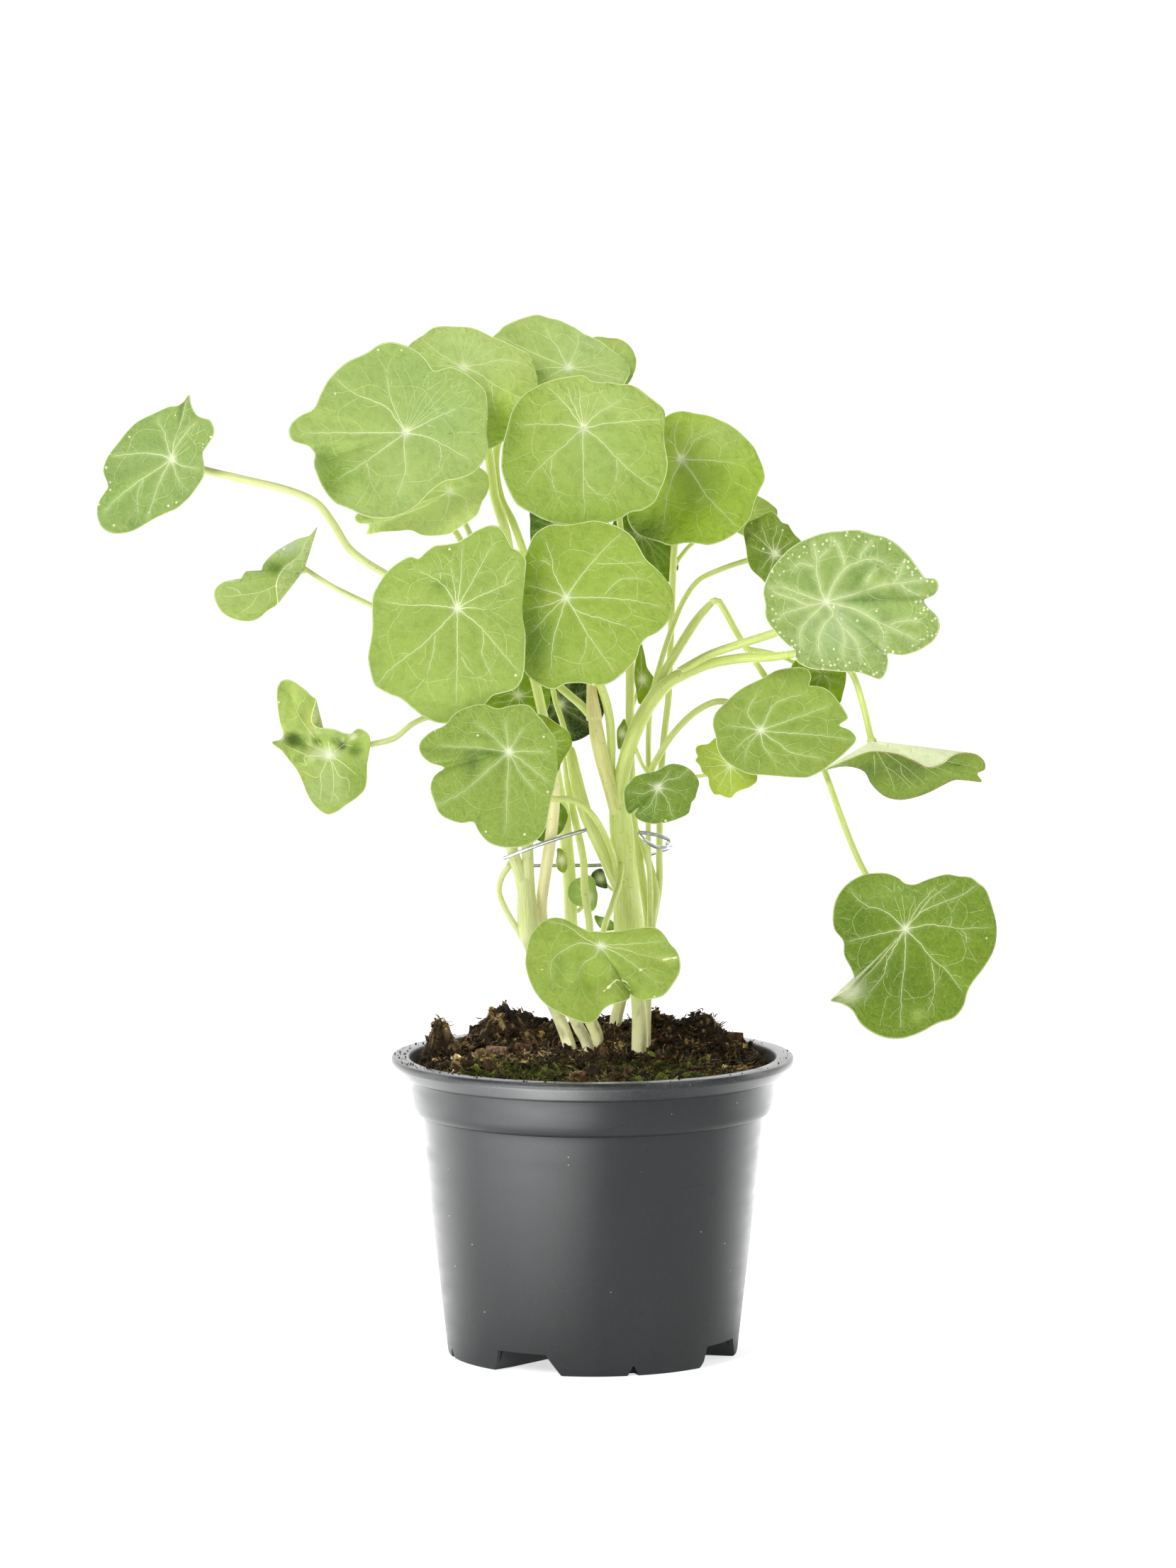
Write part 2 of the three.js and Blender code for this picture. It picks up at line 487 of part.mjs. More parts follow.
    rim: [[0, 21], [14, 22], [27, 24.5], [35, 27], [41, 27.5], [48, 26.5], [55, 28],
      [62, 29.5], [68, 29], [76, 26], [82, 23.5], [89, 21.5], [100, 21], [110, 21.5],
      [118, 21], [128, 20.5], [132, 22.5], [141, 24], [152, 25.5], [162, 26.5], [171, 27.5],
      [180, 27.5], [192, 28], [201, 30], [209, 33], [217, 35], [223, 36.5], [231, 35.5],
      [238, 34.5], [246, 35.5], [254, 37], [263, 37.5], [273, 35], [285, 32.5], [292, 30.5],
      [298, 31], [305, 32], [312, 31], [318, 29], [327, 26], [339, 23.5], [350, 21.5]] },
  { id: 12, at: [-8.5, 245.5, -38], lean: [0.1, 0.12], cup: 0.04, colour: '#a8cd57',
    rim: [[4, 34], [11, 32.5], [18, 30.5], [26, 28.5], [33, 28.5], [43, 29], [52, 28.5],
      [61, 27.5], [70, 26.5], [80, 24.5], [90, 23.5], [102, 24], [110, 23.5], [118, 22.5],
      [128, 20], [142, 18], [160, 17], [180, 17], [203, 18.5], [221, 21], [233, 25],
      [243, 28], [254, 29.5], [262, 30], [269, 28], [280, 28], [288, 30], [297, 31],
      [309, 30.5], [319, 30], [327, 28.5], [333, 29], [339, 31.5], [346, 33.5], [355, 34.5]] },
  { id: 13, at: [-27, 195.5, -58], lean: [-0.05, 0.15], cup: 0.04, colour: '#93b55f',
    rim: [[0, 15.5], [12, 16], [28, 15], [44, 15], [56, 15.5], [66, 16.5], [76, 16],
      [90, 15], [102, 14.5], [110, 15.5], [117, 17.5], [130, 19.5], [144, 21.5], [157, 22.5],
      [164, 25.5], [169, 27.5], [175, 29], [181, 28.5, 1], [187, 26, 1], [191, 22.5, -1],
      [194, 21.5, -1], [198, 25.5, 1], [205, 28, 1], [214, 29], [222, 30], [230, 29],
      [237, 27.5], [243, 25.5, 1], [249, 27.5], [257, 30], [267, 31], [277, 31], [287, 30],
      [295, 27.5], [302, 24], [310, 21], [323, 18.5], [342, 16.5]] },
  { id: 14, at: [2.5, 132.5, -46], lean: [0, 0.3], cup: 0.06, colour: '#9abd58',
    rim: [[2, 22.5], [10, 21], [18, 19, -1], [25, 14, -1], [34, 9, -1], [50, 6.2], [75, 4.7],
      [100, 4.8], [120, 5.6], [135, 8, -1], [143, 14.5, -2], [149, 18, -2], [160, 21, -1],
      [173, 23], [184, 24], [194, 25], [205, 25.5], [217, 26], [229, 26], [240, 25.5, 1],
      [251, 25.5, 2], [260, 25.5, 2], [267, 24, 1], [272, 21, 1], [279, 19.5, 2],
      [289, 19.5, 3], [298, 19.5, 1], [302, 18.5, -3], [306, 21.5, -2], [314, 24, 1],
      [322, 26, 2], [332, 26.5, 2], [342, 27, 1], [351, 26], [357, 24.5]] },
  { id: 15, at: [21, 184, -18], lean: [0.1, 0.2], cup: 0.04, colour: '#7f9f48',
    rim: [[7, 13.4], [17, 12.9], [28, 12.2], [40, 11.1], [50, 10], [60, 9], [71, 7.5],
      [83, 6.2], [100, 5.4], [123, 5.9], [142, 7], [156, 8.4], [170, 9.4], [182, 10.8],
      [194, 11.3], [205, 11.9], [215, 12.6], [223, 12.6], [226, 9, 1], [230, 11.8],
      [243, 12.1], [260, 11.9], [276, 11.7], [290, 11.7], [301, 12], [312, 12.6],
      [320, 13], [328, 12.5], [336, 12], [344, 12.6], [353, 12.7]] },
  { id: 16, at: [44.5, 191.5, -6], lean: [0.1, 0.2], cup: 0.05, colour: '#a6c846',
    rim: [[0, 8], [40, 8], [80, 9], [117, 10], [138, 10], [146, 11.5], [153, 12.5],
      [160, 12], [166, 11], [173, 11.5], [182, 10], [196, 9.5], [210, 8.5], [222, 9.5],
      [234, 10.5], [242, 11], [251, 10.4], [262, 10.8], [271, 10.8], [280, 9.4], [294, 9],
      [310, 9.6], [327, 10], [342, 9]] },
  { id: 17, at: [54, 202.5, -10], lean: [0.15, 0.25], cup: 0.05, colour: '#96b856',
    rim: [[0, 29], [4, 25.5], [8, 28.5], [13, 28], [20, 27], [28, 26], [35, 24.5], [40, 22.5],
      [43, 21.5], [47, 24], [52, 25], [57, 24.5], [67, 22], [76, 20], [85, 17.5], [96, 16],
      [112, 15], [127, 14.5], [142, 14.5], [158, 15.5], [172, 15.5], [188, 14.5], [203, 15],
      [217, 15], [235, 14.5], [255, 14.5], [275, 14.5], [292, 16], [305, 18.5], [315, 21.5],
      [325, 23.5], [335, 25.5], [346, 28.5], [355, 31]] },
  { id: 18, at: [75, 244, -24], lean: [0.15, 0.15], cup: 0.05, colour: '#9fbf72',
    rim: [[1, 31.5, 1], [4, 35], [8, 36.5], [12, 36], [14, 33], [21, 31.5], [30, 30.5],
      [39, 29.5], [47, 28.5], [56, 26.5], [66, 25.5], [78, 23.5], [90, 22.5], [104, 21.5],
      [120, 21], [136, 20.5], [152, 20.5], [170, 20.5], [182, 19.5], [194, 20], [210, 19],
      [228, 18.5], [237, 18.5], [243, 21], [256, 22], [272, 22], [286, 23.5], [296, 25.5],
      [301, 28], [305, 30.5], [310, 30], [316, 28], [320, 26, -1], [325, 30], [333, 34],
      [341, 37], [348, 37.5], [353, 36], [357, 33, 1]] },
  { id: 19, at: [58.5, 259.5, 4], lean: [0.1, 0.2], cup: 0.03, colour: '#74923f',
    rim: [[0, 9.5], [26, 9.5], [42, 9], [57, 9.6], [66, 10.5], [77, 10.5], [86, 12.2],
      [94, 13.8], [103, 13.6], [116, 13], [130, 13.5], [143, 12.8], [153, 11], [167, 9.5],
      [196, 9], [214, 9], [241, 9], [256, 10], [285, 9.5], [320, 9.2]] },
  { id: 20, at: [51, 273, 17], lean: [0.1, 0.2], cup: 0.03, colour: '#8fae55',
    rim: [[6, 8.2], [23, 6.8], [40, 6], [66, 5.6], [95, 6], [130, 7], [170, 8], [210, 8],
      [250, 8], [290, 8], [320, 8.2], [339, 8.5], [354, 8.4]] },
  { id: 21, at: [74, 221, 3], lean: [0.05, 0.2], cup: 0.03, colour: '#6d8c22',
    rim: [[7, 7.6], [35, 7.5], [62, 7.5], [90, 8], [120, 8.4], [147, 9.5], [168, 10.3],
      [190, 10], [215, 9], [240, 9], [270, 9], [299, 11.2], [316, 9.2], [342, 7.9]] },
  { id: 22, at: [90, 199, -22], lean: [0, 0], cup: 0, folded: true, colour: '#7d9c45',
    rim: [[211, 17.7, 0], [224, 11.5, -4], [256, 10, -6], [270, 13.9, -7], [284, 18.4, -8],
      [296, 21, -8], [308, 22.9, -7], [319, 24.9, -6], [328, 26.9, -4], [335, 29.5, -3],
      [338, 33.8, -2], [340, 37.8, -1], [343, 35.6, 0], [346, 37.5, 0], [350, 36.8, 1],
      [353, 33.5, 3], [351, 27, 6], [342, 23.6, 9], [335, 20, 10], [335, 15, 10],
      [334, 10, 9], [320, 5.4, 8], [262, 3.4, 7], [219, 8.8, 5]] },
  { id: 23, at: [101, 138, -38], lean: [0.1, 0.2], cup: 0.05, colour: '#84a63f',
    rim: [[2, 29.5], [14, 29], [27, 29], [33, 28], [39, 27], [45, 24.5], [53, 22.5],
      [61, 19.5], [69, 17], [78, 15], [90, 15], [98, 17], [107, 19], [116, 20.5], [128, 22.5],
      [142, 24], [155, 24.5], [168, 24], [180, 23], [191, 20.5], [203, 21.5], [219, 22, 1],
      [226, 24, 2], [225, 29, 3], [224, 33.5, 2], [230, 31.8, 1], [237, 31.5], [245, 34],
      [254, 35.5], [262, 36], [270, 35.5], [279, 34], [289, 32.5], [299, 33], [307, 31.5],
      [314, 29, -1], [321, 28], [335, 28.5], [348, 29.5]] },
  { id: 24, at: [15.5, 266.5, 23], lean: [0, 0.1], cup: 0, colour: '#5f7f2e',
    rim: [[0, 9], [32, 9.4], [63, 9], [96, 9], [125, 9.8], [162, 9.5], [202, 10.8],
      [231, 12.5], [260, 12], [280, 10], [292, 14], [298, 18], [303, 18.5], [308, 15.6],
      [314, 17.1], [324, 14.4], [334, 11]] },
  { id: 25, at: [-11.5, 268.5, -8], lean: [0, 0.15], cup: 0, colour: '#55781f',
    rim: [[0, 7.5], [30, 8], [60, 8], [90, 8], [120, 9], [150, 9.9], [168, 8.8], [186, 8.7],
      [203, 9.3], [219, 10.4], [245, 9], [270, 8], [300, 8], [330, 8]] },
  { id: 26, at: [-10.5, 211, 8], lean: [0.05, 0.1], cup: 0, colour: '#3f5a1c',
    rim: [[9, 13.4], [28, 13.2], [50, 13], [75, 12], [100, 12], [130, 12], [160, 12],
      [190, 12], [215, 11], [240, 10], [262, 10.5], [278, 12], [290, 12.8], [307, 13.3],
      [324, 13.8], [338, 14.2], [353, 14.4]] },
  { id: 27, at: [-18, 199, -34], lean: [0.05, 0.1], cup: 0, colour: '#8caf45',
    rim: [[3, 11.3], [20, 10.5], [42, 8.7], [70, 8.7], [100, 9.2], [130, 9.5], [160, 10],
      [190, 10], [220, 10], [250, 10], [280, 10.3], [304, 12], [319, 10.6], [338, 10.6],
      [352, 11.4]] },
  { id: 28, at: [-24, 214, -20], lean: [0, 0.05], cup: 0, colour: '#84a33c',
    rim: [[0, 10.4], [20, 10.8], [50, 10], [80, 9.5], [110, 9], [140, 9], [165, 9],
      [183, 9.4], [195, 11.4], [204, 11], [218, 9.5], [240, 8], [265, 8], [290, 9],
      [312, 10.6], [336, 10.6]] },
  { id: 29, at: [16, 219, 6], lean: [0.1, 0.1], cup: 0, colour: '#6d8a30',
    rim: [[8, 3.7], [38, 3.4], [71, 4.4], [84, 7.6], [92, 11.7], [103, 7.8], [121, 4.8],
      [164, 2.7], [235, 3.6], [263, 8], [278, 7], [311, 4.2]] },
  { id: 30, at: [-1, 148.5, -5], lean: [0, 0.1], cup: 0, colour: '#8caf6c',
    rim: [[10, 2.7], [50, 3.4], [76, 5.9], [92, 7.1], [115, 7.1], [134, 7.6], [151, 7.6],
      [171, 7.1], [188, 6.5], [208, 5.4], [232, 4.1], [258, 4.4], [280, 4.7], [303, 3.8],
      [340, 2.7]] },
  { id: 31, at: [2.5, 154.5, -2.5], lean: [0, 0.1], cup: 0, colour: '#4f6f1c',
    rim: [[30, 1.8], [81, 3.2], [117, 3.2], [160, 3.2], [225, 2.6], [278, 3], [305, 3.8],
      [345, 2]] },
  { id: 32, at: [4, 140, -3], lean: [0, 0.1], cup: 0, colour: '#5b7a22',
    rim: [[18, 2.4], [75, 1.8], [121, 2.4], [144, 4.2], [185, 2.6], [262, 2.4], [318, 3.4],
      [333, 4.4]] },
  { id: 33, at: [-10, 160.5, -4], lean: [0, 0.1], cup: 0, colour: '#a5b53a',
    rim: [[24, 1.4], [85, 3.4], [110, 4.1], [128, 2.4], [205, 2], [251, 3.4], [280, 4.2],
      [308, 3]] },
  { id: 34, at: [9.5, 201.5, 4], lean: [0, 0.1], cup: 0, colour: '#90a838',
    rim: [[45, 2.4], [82, 4.9], [100, 3.2], [139, 2.1], [230, 2.6], [258, 5.2], [275, 3.8],
      [315, 2]] },
  { id: 35, at: [-13.5, 172.5, -8], lean: [0, 0.1], cup: 0, colour: '#86a832',
    rim: [[23, 6], [45, 6.8], [68, 7.3], [100, 6], [130, 6], [160, 6], [190, 6.5],
      [214, 7.3], [242, 6.8], [270, 5.6], [295, 4.6], [320, 4.5], [351, 4.7]] },
];

// The blade's middle surface: rings of points from the stalk's joint out to the edge.
function bladeSurface({ at, lean, cup, folded, rim }) {
  const rings = folded ? FOLDED_RINGS : RINGS;
  const points = [place(at)];
  for (const t of rings) {
    for (const [turn, r, lift = 0] of rim) {
      const angle = THREE.MathUtils.degToRad(turn);
      const dx = Math.cos(angle) * r * t;
      const dz = Math.sin(angle) * r * t;
      const back = at[2] + lean[0] * dx + lean[1] * dz - (cup * r + lift) * t * t;
      points.push(place([at[0] + dx, at[1] + dz, back]));
    }
  }
  const count = rim.length;
  const faces = [];
  for (let i = 0; i < count; i += 1) {
    const j = (i + 1) % count;
    faces.push([0, 1 + i, 1 + j]);
    for (let ring = 1; ring < rings.length; ring += 1) {
      const inner = 1 + (ring - 1) * count;
      const outer = inner + count;
      faces.push([inner + i, outer + i, outer + j]);
      faces.push([inner + i, outer + j, inner + j]);
    }
  }
  return { points, faces, count };
}

function surfaceNormals({ points, faces }) {
  const normals = points.map(() => new THREE.Vector3());
  for (const face of faces) {
    const [a, b, c] = face.map((i) => points[i]);
    const normal = b.clone().sub(a).cross(c.clone().sub(a));
    for (const i of face) {
      normals[i].add(normal);
    }
  }
  return normals.map((normal) => normal.normalize());
}

// Both faces share one triangulation, half the thickness to each side of the middle surface.
function blade(leaf) {
  const surface = bladeSurface(leaf);
  const { points, faces, count } = surface;
  const normals = surfaceNormals(surface);
  const upper = points.map((point, i) => point.clone().addScaledVector(normals[i], BLADE / 2));
  const under = points.map((point, i) => point.clone().addScaledVector(normals[i], -BLADE / 2));
  const total = points.length;
  const indices = [];
  for (const [a, b, c] of faces) {
    indices.push(a, b, c);
    indices.push(total + a, total + c, total + b);
  }
  for (let i = 0; i < count; i += 1) {
    const here = total - count + i;
    const next = total - count + ((i + 1) % count);
    indices.push(here, total + here, total + next);
    indices.push(here, total + next, next);
  }
  const geometry = new THREE.BufferGeometry();
  const flat = [...upper, ...under].flatMap((point) => point.toArray());
  geometry.setAttribute('position', new THREE.Float32BufferAttribute(flat, 3));
  geometry.setIndex(indices);
  geometry.computeVertexNormals();
  joints.set(leaf.id, { centre: points[0], under: normals[0].clone().negate() });
  return geometry;
}

// ---------------------------------------------------------------- wire tie

// Galvanised wire pulled round the stems, its free end in front and a small loop at the right.
const WIRE_ROUTE = [
  [-1.6, 170.5, -16.5], [-13, 167, -16.9], [-25, 162.6, -16.3], [-28.6, 161.2, -14.6],
  [-29.4, 160.6, -11], [-27.6, 159.6, -5], [-20, 158.8, 6], [-8, 158.8, 13], [4, 159, 15],
  [14, 161, 14], [21.5, 163.3, 9.5], [26, 164.9, 3], [24.6, 164.7, -2.6], [20.4, 164.8, -6.8],
  [16, 167.8, -9.2], [14.8, 169.4, -8.6], [17, 169.3, -7.8], [22, 168.3, -6.4],
  [24.8, 166.8, -5], [23.6, 165.6, -4.6],
];

// ---------------------------------------------------------------- assembly

const joints = new Map();
const group = new THREE.Group();

function addPiece(name, geometry, colour, roughness, metalness = 0) {
  const material = new THREE.MeshStandardMaterial({ color: colour, roughness, metalness });
  const mesh = new THREE.Mesh(geometry, material);
  mesh.name = name;
  group.add(mesh);
}

for (const leaf of LEAVES) {
  addPiece(`leaf_${String(leaf.id).padStart(2, '0')}`, blade(leaf), leaf.colour, 0.6);
}
for (const [name, plan] of Object.entries(STEMS)) {
  addPiece(name, stem(plan), plan.colour, 0.5);
}
addPiece('pot', pot(), '#2c2f31', 0.42);
addPiece('soil', soil(), '#2b211a', 0.95);
addPiece('wire_tie', tube(WIRE_ROUTE.map(place), WIRE_R), '#b4b8b9', 0.35, 1);

export default group;
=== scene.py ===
# %% [markdown]
# # A nasturtium in a plastic nursery pot
#
# The real plant has round, shield-like leaves. Each hangs from the middle of its underside on a
# long, soft stalk, and pale veins run out from that joint like spokes. Thirty-five of them crowd
# together above five stems in dark, fibrous peat.
#
# The plan: load the measured frame, write down where every leaf and stem goes, then make the
# blades, veins, stems, pot, soil and wire one after another, each with its own material. Last come
# the floor, the soft studio light and the camera.

# %% Start from the measured frame
import math
import random

import bmesh
import bpy
import numpy as np
from mathutils import Matrix, Vector, noise


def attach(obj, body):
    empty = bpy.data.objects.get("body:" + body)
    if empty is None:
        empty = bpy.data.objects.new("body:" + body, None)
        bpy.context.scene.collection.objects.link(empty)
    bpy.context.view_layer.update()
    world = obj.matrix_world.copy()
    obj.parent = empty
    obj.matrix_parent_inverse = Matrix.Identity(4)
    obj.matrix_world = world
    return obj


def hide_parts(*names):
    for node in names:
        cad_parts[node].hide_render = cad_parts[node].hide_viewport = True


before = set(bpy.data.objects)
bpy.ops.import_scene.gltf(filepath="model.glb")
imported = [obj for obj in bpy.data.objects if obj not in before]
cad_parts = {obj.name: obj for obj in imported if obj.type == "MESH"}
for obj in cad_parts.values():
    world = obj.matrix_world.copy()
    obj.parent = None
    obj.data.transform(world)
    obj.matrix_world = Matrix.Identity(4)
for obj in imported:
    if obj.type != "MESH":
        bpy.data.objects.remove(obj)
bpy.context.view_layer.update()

# %% [markdown]
# ## Where every leaf goes
#
# A plant has no straight edges to measure from, so each leaf is written down as a gardener would
# draw it: the point where the stalk meets the blade, and the outline as a list of directions and
# distances from that point. `at` is right, up and back in millimetres. `lean` says how far the
# blade runs back for each millimetre to the right and each millimetre up, and `cup` how far its
# edge curls forward. An outline entry is "degrees distance", with a third number where that bit
# of edge lifts forward, or back if the number is negative. `under` says how pale the underside is.

